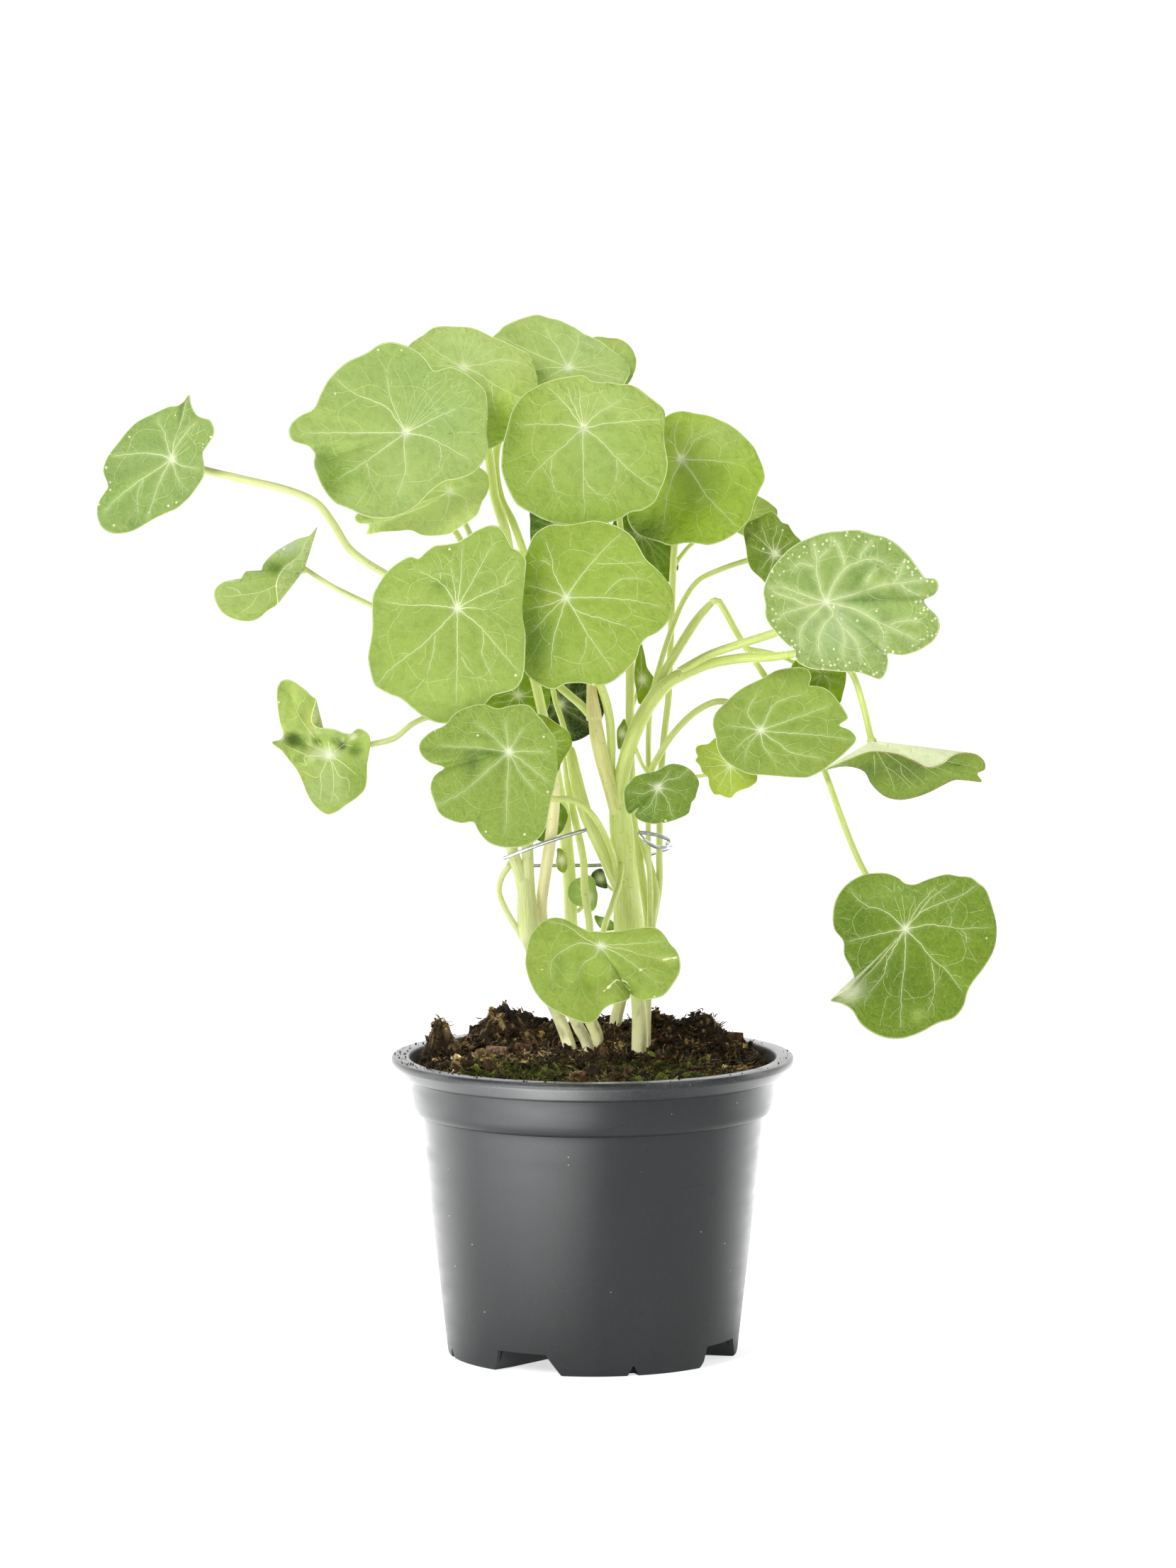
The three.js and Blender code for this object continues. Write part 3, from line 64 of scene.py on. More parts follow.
# %% The leaves
LEAVES = {
    1: dict(at=(-60, 298.5, -22), lean=(-0.12, 0.22), cup=0.06, colour="a0b95a", rim="""
        0 26, 16 27.5, 28 29, 37 28, 47 27, 56 25.5, 65 22, 73 24, 80 26, 87 27.5, 99 29.5,
        107 29.5, 116 28.5, 130 29.5, 145 30, 156 30, 165 30.5, 171 34.5 -1, 176 37 -1,
        180 37.5 -1, 184 36.5 -1, 188 31.5 -1, 193 30 -3, 198 31 -3, 204 31.5 1, 214 32 3,
        225 32 1, 233 30.5, 242 30, 252 29, 264 27, 277 24, 293 20.5, 309 20, 319 22.5, 331 25.5,
        347 27"""),
    2: dict(at=(-41.5, 319.5, -4), lean=(0.05, 0.25), cup=0.05, colour="bbcf71", rim="""
        0 23, 11 21.5, 21 18, 33 15.5, 47 13.5, 61 13, 80 13, 104 13.5, 114 14.5, 128 16, 141 16.5,
        152 18, 160 19, 175 19, 200 17, 225 16, 250 18, 270 23, 285 27, 291 27.5, 298 27, 312 23.5,
        330 22.5, 345 24.5"""),
    3: dict(at=(-8, 319.5, 6), lean=(0.05, 0.3), cup=0.05, colour="b2ca71", rim="""
        6 19, 15 16.5, 26 14.5, 37 13.5, 50 12.5, 64 12, 80 13, 91 14, 101 15.5, 111 17, 118 19,
        123 20, 133 21.5, 141 23, 148 24.5, 153 25, 159 26, 172 23, 190 18, 215 13, 250 11, 290 11,
        320 14, 338 18, 349 19.5, 357 20"""),
    4: dict(at=(-3, 300, -18), lean=(0.1, 0.25), cup=0.06, colour="a7c054", rim="""
        7 26.5, 13 26.5, 21 24.5, 28 23, 35 22, 43 20.5, 50 18.5, 60 17, 72 15.5, 81 15.5, 90 17,
        98 17, 112 17.5, 124 18.5, 137 20, 151 22, 166 23.5, 180 24.5, 192 26.5, 200 28, 207 29.5,
        218 31, 229 32.5, 238 32, 248 32, 262 31.5, 278 31.5, 292 31.5, 299 31, 306 32.5, 314 33,
        320 32, 328 31, 337 29.5, 347 27, 356 26"""),
    5: dict(at=(28.5, 290, 0), lean=(0.3, 0.25), cup=0.04, colour="a8c544", rim="""
        3 24.5, 10 23.5, 17 22, 26 20.5, 36 19, 47 17.5, 58 16.5, 71 15.5, 90 15.5, 105 15,
        125 13.5, 150 12.5, 180 12.5, 205 16, 220 22 1, 227 25.5 2, 233 27 2, 241 28, 255 27.5,
        263 28, 272 27, 280 27.5, 288 29, 299 29.5, 311 29.5, 320 29, 328 27.5, 338 27, 346 27.5,
        353 26.5"""),
    6: dict(at=(6, 321, 16), lean=(0, 0.2), cup=0.05, colour="9eb75c", rim="""
        8 8, 32 8, 55 8, 75 8, 96 8, 112 9, 125 10, 150 11, 180 12, 210 11, 240 10, 270 9.5, 295 9,
        315 8.5, 332 8, 347 8"""),
    # leaf 7's green is lighter than its own: painted light against the shade that leaf 1 casts
    7: dict(at=(-46, 279.5, -14), lean=(0, 0.2), cup=0.05, colour="c9dc83", rim="""
        10 13, 26 13.5, 45 12, 70 9.5, 100 9, 130 10.5, 160 15, 180 21, 190 27, 195 31.5 1,
        199 31 2, 202 28 1, 207 30, 210 26, 217 21, 225 17.5, 238 16.5, 256 14.5, 270 13.5, 285 12,
        301 11.5, 322 11.5, 343 11, 356 12"""),
    8: dict(at=(-135, 290, -14), lean=(-0.25, 0.2), cup=0.08, colour="8aa64d", rim="""
        12 10, 19 11.5, 25 13.5, 30 15.5, 38 17, 47 17.5, 55 16.5, 62 16.5 -1, 70 18.5 -2,
        75 21.5 -3, 78 19 -2, 83 17.5, 93 17, 108 16, 122 16, 134 16.5, 148 17, 162 18, 174 20,
        182 21.5, 190 22.5, 203 22.5 2, 207 25 1, 211 28, 216 30 -1, 223 31.5 -1, 230 31 1,
        238 28 2, 245 24, 252 20.5, 261 18, 275 16, 294 13.5, 313 12, 331 11.5, 349 10.5"""),
    9: dict(at=(-93, 254.5, -24), lean=(0, 0), cup=0, colour="acc360", under=0.12, rim="""
        72 14.3 0, 80 11 -3, 96 10.2 -6, 116 9.6 -8, 137 10 -9, 158 11.4 -9, 172 12.8 -8,
        183 13.4 -5, 196 14 -3, 186 17 -1, 182 18.5 0, 189 21 1, 189 26.5 1, 194 29.7 0, 204 30 0,
        211 29 1, 221 25.5 2, 227 22 3, 229 17.5 4, 233 14 5, 225 12 7, 211 10.2 9, 198 8.6 10,
        176 6.4 10, 137 4.4 8.5, 100 5 7, 84 9 4"""),
    10: dict(at=(-85, 194.5, -34), lean=(0, 0.1), cup=0.05, colour="a4ba58", under=0.25, rim="""
        11 13.5, 25 14.5 2, 35 14 3, 43 12.5 4, 45 9.8 5, 58 8.6 6, 74 8.6 6, 92 8.8 5, 110 9.6 5,
        117 12 6, 111 14.8 6, 103 18.5 6, 106 19.8 3, 111 23.5 0, 117 27.5 -1, 122 28.5 -1,
        128 27 1, 136 23 2, 146 19 2, 154 16.5 0, 162 16.5 3, 167 19 5, 174 15.5 3, 187 13 1,
        204 11.5, 223 12, 241 14.5, 254 17, 268 19.3, 278 18.5, 290 17, 303 16.5, 316 16, 328 14.5,
        346 12.7"""),
    11: dict(at=(-43.5, 242, -46), lean=(-0.1, 0.1), cup=0.04, colour="96af4e", rim="""
        0 21, 14 22, 27 24.5, 35 27, 41 27.5, 48 26.5, 55 28, 62 29.5, 68 29, 76 26, 82 23.5,
        89 21.5, 100 21, 110 21.5, 118 21, 128 20.5, 132 22.5, 141 24, 152 25.5, 162 26.5,
        171 27.5, 180 27.5, 192 28, 201 30, 209 33, 217 35, 223 36.5, 231 35.5, 238 34.5, 246 35.5,
        254 37, 263 37.5, 273 35, 285 32.5, 292 30.5, 298 31, 305 32, 312 31, 318 29, 327 26,
        339 23.5, 350 21.5"""),
    12: dict(at=(-8.5, 245.5, -38), lean=(0.1, 0.12), cup=0.04, colour="9ab346", rim="""
        4 34, 11 32.5, 18 30.5, 26 28.5, 33 28.5, 43 29, 52 28.5, 61 27.5, 70 26.5, 80 24.5,
        90 23.5, 102 24, 110 23.5, 118 22.5, 128 20, 142 18, 160 17, 180 17, 203 18.5, 221 21,
        233 25, 243 28, 254 29.5, 262 30, 269 28, 280 28, 288 30, 297 31, 309 30.5, 319 30,
        327 28.5, 333 29, 339 31.5, 346 33.5, 355 34.5"""),
    13: dict(at=(-27, 195.5, -58), lean=(-0.05, 0.15), cup=0.04, colour="8aa436", rim="""
        0 15.5, 12 16, 28 15, 44 15, 56 15.5, 66 16.5, 76 16, 90 15, 102 14.5, 110 15.5, 117 17.5,
        130 19.5, 144 21.5, 157 22.5, 164 25.5, 169 27.5, 175 29, 181 28.5 1, 187 26 1,
        191 22.5 -1, 194 21.5 -1, 198 25.5 1, 205 28 1, 214 29, 222 30, 230 29, 237 27.5,
        243 25.5 1, 249 27.5, 257 30, 267 31, 277 31, 287 30, 295 27.5, 302 24, 310 21, 323 18.5,
        342 16.5"""),
    14: dict(at=(2.5, 132.5, -46), lean=(0, 0.3), cup=0.06, colour="98b142", rim="""
        2 22.5, 10 21, 18 19 -1, 25 14 -1, 34 9 -1, 50 6.2, 75 4.7, 100 4.8, 120 5.6, 135 8 -1,
        143 14.5 -2, 149 18 -2, 160 21 -1, 173 23, 184 24, 194 25, 205 25.5, 217 26, 229 26,
        240 25.5 1, 251 25.5 2, 260 25.5 2, 267 24 1, 272 21 1, 279 19.5 2, 289 19.5 3, 298 19.5 1,
        302 18.5 -3, 306 21.5 -2, 314 24 1, 322 26 2, 332 26.5 2, 342 27 1, 351 26, 357 24.5"""),
    15: dict(at=(21, 184, -18), lean=(0.1, 0.2), cup=0.04, colour="728f25", rim="""
        7 13.4, 17 12.9, 28 12.2, 40 11.1, 50 10, 60 9, 71 7.5, 83 6.2, 100 5.4, 123 5.9, 142 7,
        156 8.4, 170 9.4, 182 10.8, 194 11.3, 205 11.9, 215 12.6, 223 12.6, 226 9 1, 230 11.8,
        243 12.1, 260 11.9, 276 11.7, 290 11.7, 301 12, 312 12.6, 320 13, 328 12.5, 336 12,
        344 12.6, 353 12.7"""),
    16: dict(at=(44.5, 191.5, -6), lean=(0.1, 0.2), cup=0.05, colour="adc144", rim="""
        0 8, 40 8, 80 9, 117 10, 138 10, 146 11.5, 153 12.5, 160 12, 166 11, 173 11.5, 182 10,
        196 9.5, 210 8.5, 222 9.5, 234 10.5, 242 11, 251 10.4, 262 10.8, 271 10.8, 280 9.4, 294 9,
        310 9.6, 327 10, 342 9"""),
    17: dict(at=(54, 202.5, -10), lean=(0.15, 0.25), cup=0.05, colour="99b14d", rim="""
        0 29, 4 25.5, 8 28.5, 13 28, 20 27, 28 26, 35 24.5, 40 22.5, 43 21.5, 47 24, 52 25,
        57 24.5, 67 22, 76 20, 85 17.5, 96 16, 112 15, 127 14.5, 142 14.5, 158 15.5, 172 15.5,
        188 14.5, 203 15, 217 15, 235 14.5, 255 14.5, 275 14.5, 292 16, 305 18.5, 315 21.5,
        325 23.5, 335 25.5, 346 28.5, 355 31"""),
    18: dict(at=(75, 244, -24), lean=(0.15, 0.15), cup=0.05, colour="99b454", rim="""
        1 31.5 1, 4 35, 8 36.5, 12 36, 14 33, 21 31.5, 30 30.5, 39 29.5, 47 28.5, 56 26.5, 66 25.5,
        78 23.5, 90 22.5, 104 21.5, 120 21, 136 20.5, 152 20.5, 170 20.5, 182 19.5, 194 20, 210 19,
        228 18.5, 237 18.5, 243 21, 256 22, 272 22, 286 23.5, 296 25.5, 301 28, 305 30.5, 310 30,
        316 28, 320 26 -1, 325 30, 333 34, 341 37, 348 37.5, 353 36, 357 33 1"""),
    19: dict(at=(58.5, 259.5, 4), lean=(0.1, 0.2), cup=0.03, colour="7a921e", rim="""
        0 9.5, 26 9.5, 42 9, 57 9.6, 66 10.5, 77 10.5, 86 12.2, 94 13.8, 103 13.6, 116 13,
        130 13.5, 143 12.8, 153 11, 167 9.5, 196 9, 214 9, 241 9, 256 10, 285 9.5, 320 9.2"""),
    20: dict(at=(51, 273, 17), lean=(0.1, 0.2), cup=0.03, colour="b6cc60", rim="""
        6 8.2, 23 6.8, 40 6, 66 5.6, 95 6, 130 7, 170 8, 210 8, 250 8, 290 8, 320 8.2, 339 8.5,
        354 8.4"""),
    21: dict(at=(74, 221, 3), lean=(0.05, 0.2), cup=0.03, colour="83a102", rim="""
        7 7.6, 35 7.5, 62 7.5, 90 8, 120 8.4, 147 9.5, 168 10.3, 190 10, 215 9, 240 9, 270 9,
        299 11.2, 316 9.2, 342 7.9"""),
    22: dict(at=(90, 199, -22), lean=(0, 0), cup=0, colour="839c33", under=0.92, rim="""
        211 17.7 0, 224 11.5 -4, 256 10 -6, 270 13.9 -7, 284 18.4 -8, 296 21 -8, 308 22.9 -7,
        319 24.9 -6, 328 26.9 -4, 335 29.5 -3, 338 33.8 -2, 340 37.8 -1, 343 35.6 0, 346 37.5 0,
        350 36.8 1, 353 33.5 3, 351 27 6, 342 23.6 9, 335 20 10, 335 15 10, 334 10 9, 320 5.4 8,
        262 3.4 7, 219 8.8 5"""),
    23: dict(at=(101, 138, -38), lean=(0.1, 0.2), cup=0.05, colour="77951e", under=0.6, rim="""
        2 29.5, 14 29, 27 29, 33 28, 39 27, 45 24.5, 53 22.5, 61 19.5, 69 17, 78 15, 90 15, 98 17,
        107 19, 116 20.5, 128 22.5, 142 24, 155 24.5, 168 24, 180 23, 191 20.5, 203 21.5, 219 22 1,
        226 24 2, 225 29 3, 224 33.5 2, 230 31.8 1, 237 31.5, 245 34, 254 35.5, 262 36, 270 35.5,
        279 34, 289 32.5, 299 33, 307 31.5, 314 29 -1, 321 28, 335 28.5, 348 29.5"""),
    24: dict(at=(15.5, 266.5, 23), lean=(0, 0.1), cup=0, colour="6a8c02", rim="""
        0 9, 32 9.4, 63 9, 96 9, 125 9.8, 162 9.5, 202 10.8, 231 12.5, 260 12, 280 10, 292 14,
        298 18, 303 18.5, 308 15.6, 314 17.1, 324 14.4, 334 11"""),
    25: dict(at=(-11.5, 268.5, -8), lean=(0, 0.15), cup=0, colour="3f6202", rim="""
        0 7.5, 30 8, 60 8, 90 8, 120 9, 150 9.9, 168 8.8, 186 8.7, 203 9.3, 219 10.4, 245 9, 270 8,
        300 8, 330 8"""),
    # a near-black green, partly painted shade deep inside the plant
    26: dict(at=(-10.5, 211, 8), lean=(0.05, 0.1), cup=0, colour="173402", rim="""
        9 13.4, 28 13.2, 50 13, 75 12, 100 12, 130 12, 160 12, 190 12, 215 11, 240 10, 262 10.5,
        278 12, 290 12.8, 307 13.3, 324 13.8, 338 14.2, 353 14.4"""),
    27: dict(at=(-18, 199, -34), lean=(0.05, 0.1), cup=0, colour="819d18", rim="""
        3 11.3, 20 10.5, 42 8.7, 70 8.7, 100 9.2, 130 9.5, 160 10, 190 10, 220 10, 250 10,
        280 10.3, 304 12, 319 10.6, 338 10.6, 352 11.4"""),
    28: dict(at=(-24, 214, -20), lean=(0, 0.05), cup=0, colour="80a002", rim="""
        0 10.4, 20 10.8, 50 10, 80 9.5, 110 9, 140 9, 165 9, 183 9.4, 195 11.4, 204 11, 218 9.5,
        240 8, 265 8, 290 9, 312 10.6, 336 10.6"""),
    29: dict(at=(16, 219, 6), lean=(0.1, 0.1), cup=0, colour="859f06", rim="""
        8 3.7, 38 3.4, 71 4.4, 84 7.6, 92 11.7, 103 7.8, 121 4.8, 164 2.7, 235 3.6, 263 8, 278 7,
        311 4.2"""),
    30: dict(at=(-1, 148.5, -5), lean=(0, 0.1), cup=0, colour="adcc67", rim="""
        10 2.7, 50 3.4, 76 5.9, 92 7.1, 115 7.1, 134 7.6, 151 7.6, 171 7.1, 188 6.5, 208 5.4,
        232 4.1, 258 4.4, 280 4.7, 303 3.8, 340 2.7"""),
    # a near-black green, partly painted shade deep inside the plant
    31: dict(at=(2.5, 154.5, -2.5), lean=(0, 0.1), cup=0, colour="193f02", rim="""
        30 1.8, 81 3.2, 117 3.2, 160 3.2, 225 2.6, 278 3, 305 3.8, 345 2"""),
    32: dict(at=(4, 140, -3), lean=(0, 0.1), cup=0, colour="87ab04", rim="""
        18 2.4, 75 1.8, 121 2.4, 144 4.2, 185 2.6, 262 2.4, 318 3.4, 333 4.4"""),
    33: dict(at=(-10, 160.5, -4), lean=(0, 0.1), cup=0, colour="94aa02", rim="""
        24 1.4, 85 3.4, 110 4.1, 128 2.4, 205 2, 251 3.4, 280 4.2, 308 3"""),
    34: dict(at=(9.5, 201.5, 4), lean=(0, 0.1), cup=0, colour="728b02", rim="""
        45 2.4, 82 4.9, 100 3.2, 139 2.1, 230 2.6, 258 5.2, 275 3.8, 315 2"""),
    35: dict(at=(-13.5, 172.5, -8), lean=(0, 0.1), cup=0, colour="698d04", rim="""
        23 6, 45 6.8, 68 7.3, 100 6, 130 6, 160 6, 190 6.5, 214 7.3, 242 6.8, 270 5.6, 295 4.6,
        320 4.5, 351 4.7"""),
}
print(len(LEAVES), "leaves,", sum(len(leaf["rim"].split(",")) for leaf in LEAVES.values()),
      "points along their edges")

# %% [markdown]
# ## Where the veins run
#
# Nasturtium veins start at the stalk's joint, run out in gentle zigzags, and fork before the edge.
# Each entry lists points right and up from the joint. A plain entry is a main vein, "/" is a fork
# that starts on another vein, "@" is a fine straight one, given as direction and length, and "~"
# is a pale scar where the leaf has been nicked or torn and has healed. Leaves that aren't listed
# grow their veins by rule further down. The rolled leaves have their veins in `FOLDS`, where a
# point is a place along the outline's list and a share of the way out to it.

# %% The veins
VEINS = {
    1: """
        -6 8, -11 10.5, -17 13, -23 18; -16 0, -32 0; -7 -5, -12.5 -9, -22 -15; /-12.5 -9,
        -11.5 -15; -.5 -5, 0 -12, -3 -21; 8 -1.5, 10.5 -3, 17 -6.5, 21 -9; /10.5 -3, 11.5 -7,
        10.5 -12; 6 3, 12 6, 17 8; @38 20; @45 20; @52 20; @62 15; @72 10; @85 8; -5 12, -6 19""",
    2: """
        -7 .5, -13 0; -7 4, -13 9; @158 12; @110 11; @95 10; @85 10; @70 11; @52 11; @30 12; 6 1,
        12 2.5, 20 1; 5 -2, 9 -5, 20 -11; /9 -5, 9.5 -10, 11 -16""",
    3: """
        -10 4, -22 10; -3 6, -6 10, -7 13; 3.5 8, 3 11; @45 8; @20 8; 6 .2, 12 1; 5 -1, 17 -4;
        -6 -.2, -11 -1; -4 -2, -9 -5""",
    4: """
        6 1.2, 13 2, 26 3; 5 -3.5, 10 -9, 18 -16, 24 -20; /10.5 -9.5, 11 -14, 10 -18; 0 -15,
        .5 -29; /0 -15, 2 -19, 6 -22; -10 -9, -15 -13.5, -19 -19; /-10 -9, -10.5 -14, -9.5 -20;
        -5 1, -10 1.3, -20 1; -6 8, -12 14; -3 7, -5.5 14; -1 7, -1.2 14; @80 12; @65 12; 5 5,
        12 9""",
    5: """
        10 -.5, 18 -1.5; 3 -4, 7.5 -11, 13 -17, 18 -22; /7.5 -11, 6 -13, 3.5 -14; -3 -6, -4.5 -11,
        -6 -22; 2.5 3.5, 4 6, 10 9; 1 4, 3 8, 3.5 12; -2 3, -2 10, -.5 13; -3 5, -5.5 7; @170 8;
        @190 9""",
    7: """
        -8 -4.5, -20 -9, -30 -11; -9 -3.5, -20 -7.5; -.5 -5, -4 -12; -4 .4, -7 0; @120 4; @80 6;
        5 -2, 6 -8; @20 9""",
    8: """
        -4 1.5, -9 2, -19 1; -1.5 5, -2.5 9, -4.5 12; -5 -3.5, -9 -6, -17 -12, -22 -17; /-9 -6,
        -11 -11, -11 -18; -3 -5, -5 -10, -8 -19; 1 -4, 3 -8; 3 -2, 8 -3; 1 6, 3 12, 5 20; 2 5, 5 9,
        8 12; @50 9; @35 8""",
    11: """
        -10 1.2, -16 1, -24 2.5; -4 7, -8 10, -13 12.5; /-5 9, -5.5 10.5, -5 12; 1 8, 1.5 16,
        1.7 20; -1 7, -2 14; 5 9, 11 20; 6 3.5, 13 6.5, 19 9.5; /15 7, 16.5 11, 19 14; 7 -5.5,
        15 -15, 20 -20.5; /8 -6.5, 8.5 -10, 8 -14, 11 -22; 0 -16, -.5 -32; /1 -15, 3 -19, 6 -22;
        -6 -6.5, -11 -11.5, -22 -20, -26 -25; /-7 -8, -8 -15, -10 -22; 5 .2, 10 -.5""",
    12: """
        4 6, 8 11, 14 17.5, 18 21; /9 11, 18 11, 25 11.5; 12 0, 22 -1, 31 -3; /12 .5, 15 4, 18 6,
        25 6; 3 -4, 12 -7, 20 -9.5; 3 -5, 7 -12, 12 -19, 16 -25; /6.5 -12, 6 -17, 4 -22; -1.5 -5,
        -4 -13, -5 -24; -4 -3.5, -8 -8, -12 -12; -5 -2, -13 -4; -5 2, -13 4; -2 4, -4 8, -4.5 12,
        -7 19; /-4.5 10, -6.5 11.5, -9 12""",
    13: """
        -10 1.5, -22 2; -8 -7, -15 -13, -23 -17; -.5 -12, -1 -25; 4 -7, 8 -12; 6 .4, 12 0; 6 -4,
        12 -9; 2 3.5, 4 7; -.5 5, -1 10; -6 6, -10 9""",
    14: """
        5 .6, 12 .8, 20 1.5; -6.2 3.2, -10 6.2, -17 8; -7 1, -12 -1.4, -15.7 -5.2, -16 -9,
        -15.3 -11.2; -2 -3.6, -5 -5.2, -7.3 -9, -6.6 -12.7; 3 -5, 3 -9; 5 -2, 12 -7, 17 -11; 6 -.6,
        14 -3, 20 -4; @100 6; ~19.5 -4.8, 22 -4.2, 25.6 -3.3; ~.6 -15.4, 3 -13, 5.2 -11, 7.4 -12.7,
        10.4 -14.6; ~6.3 -11.2, 8.4 -11.6, 10 -13.5; ~12 -7.6, 14.5 -8; ~-19 -7, -18.6 -8.2""",
    15: """
        3 2.4, 6.5 3.2, 10.5 6.4; 4 -.5, 6 -1; -3 -1.3, -5 -2, -9 -1.4; -2.5 -5.6, -7 -9; -1 -7,
        -1 -9; 3 -4, 5 -10; -4 1.4; 4 6""",
    17: """
        5 -.5, 18 -1.5, 30 -3; 6 2.2, 14 5, 22 8; 5 -3.5, 10 -7, 20 -9; 2 4, 5 9, 14 12; -4 5,
        -3.5 8, -1 12; -5 1, -10 1.5; -5 -3, -8 -6; -4 -5, -5 -9; 1 -5, 4 -9""",
    18: """
        -1.8 4.4, -3.1 10.2, -2.9 13.3, -3.9 18.5; /-3.4 11.2, -6 12.2, -9.1 12.2, -10.4 10.9;
        /-2.6 13.5, -.8 15.9, .8 17.4; 2.9 6.5, 6.5 11.2, 11.2 13.3, 16.4 13.8, 20.5 11.5; /6 11.2,
        5.5 14.3, 4.4 17.4, 1.8 20.2; /10.7 13.5, 11.7 16.4, 14.3 19; 5.5 1.8, 12.2 3.6, 16.9 5.2,
        24 6.4, 31 7; /13.3 4.4, 13.5 7.6, 15.4 10; /21 5.8, 23.5 8.8, 24.5 12; /24 6.2, 27 3.4,
        31 2; -6 -1, -10.2 1, -15.9 2.9, -18 4.4; -7 2.3, -11.2 3.9, -14.8 5.5; -1.8 -1.8,
        -4.9 -4.9, -7.6 -8.1, -8.6 -11.2, -8 -14; 2.3 -3.9, -.8 -7.6, -2.3 -11.2, -2 -17;
        /2.9 -4.7, 4.9 -7.6, 6 -11.2, 5.4 -17; /4.9 -7.6, 9.6 -12.4, 11 -18; 6.5 -1.3, 11.7 -3.4,
        16.4 -6, 24 -9.6, 29 -12; /16.4 -6, 18.6 -10.6, 18 -16; /20 -7.6, 24 -6, 29 -6; /-4.9 -1,
        -9.1 -2.3, -12.8 -3.4, -15 -5""",
    23: """
        8 1.5, 14 .7, 18 .3, 28 .5; /14 .5, 15 2.5, 15 5; /18 0, 19.5 -2, 20 -5; 5 5.5, 10 8,
        19 11.5, 24 15; 5 6, 8 10, 15 15; 4 7, 10 14; @75 12; @95 12; @108 12; -4 4, -8 6.5, -13 8,
        -18 12.5; -6 -1, -12 -2.5, -19 -4; -4 -5, -8 -10, -17 -20; -3 -5, -6 -11, -7 -15, -12 -21;
        0 -10, -1 -20, -1.5 -33; 5 -5, 8.5 -9.5, 13 -13, 19 -21; /8.5 -10, 9.5 -20, 7 -28""",
}
FOLDS = {
    9: """
        25 .1, 14.9 .34, 14.6 .5, 13.9 .68, 13.4 .94; /14.55 .54, 15.2 .67, 15.36 .76, 15.3 .9;
        /13.8 .71, 13.2 .76, 12.7 .89; /14.7 .42, 16 .55, 16.6 .72; 4.9 .3, 4.7 .75, 5 .93; 5.6 .3,
        5.8 .6, 5.9 .85; /4.8 .6, 3.4 .8, 2.6 .9""",
    10: """
        26.8 .05, 26.4 .4, 27.2 .63, 27.3 .86; 29.9 .06, 29.7 .25, 29 .58, 28.3 .85; /28.9 .64,
        29.5 .86; 30.6 .1, 30.4 .37, 31.4 .6, 30.5 .84; 33.4 .1, 33.2 .33, 32.8 .63, 32.7 .8;
        /26.3 .5, 25.2 .72, 24.2 .89; 22.8 .1, 22.6 .47, 24 .69, 23.3 .84; /22.6 .47, 21.4 .7,
        19.8 .94; 16 .1, 16 .45, 15.8 .58, 14.9 .8; /15.8 .58, 17 .72, 17.4 .85; /15.6 .62,
        13.6 .75, 13 .88; 6.4 .1, 7 .5, 7.2 .8; 2 .1, 2.2 .5, 1.6 .85; /2.2 .4, .6 .62, .2 .85""",
    22: """
        7 .1, 7.4 .5, 7.2 .93; 9.5 .1, 9.8 .5, 10.6 .92; /9.7 .4, 8.8 .65, 8.6 .9; 12.6 .1,
        12.7 .5, 13 .92; 5 .1, 5.2 .5, 4.8 .92; /5.1 .4, 6 .62, 6.2 .88; 3.6 .2, 3.4 .6, 3.2 .9;
        /7.3 .45, 6.4 .66, 6.6 .9""",
}
print(len(VEINS), "leaves with their own veins")
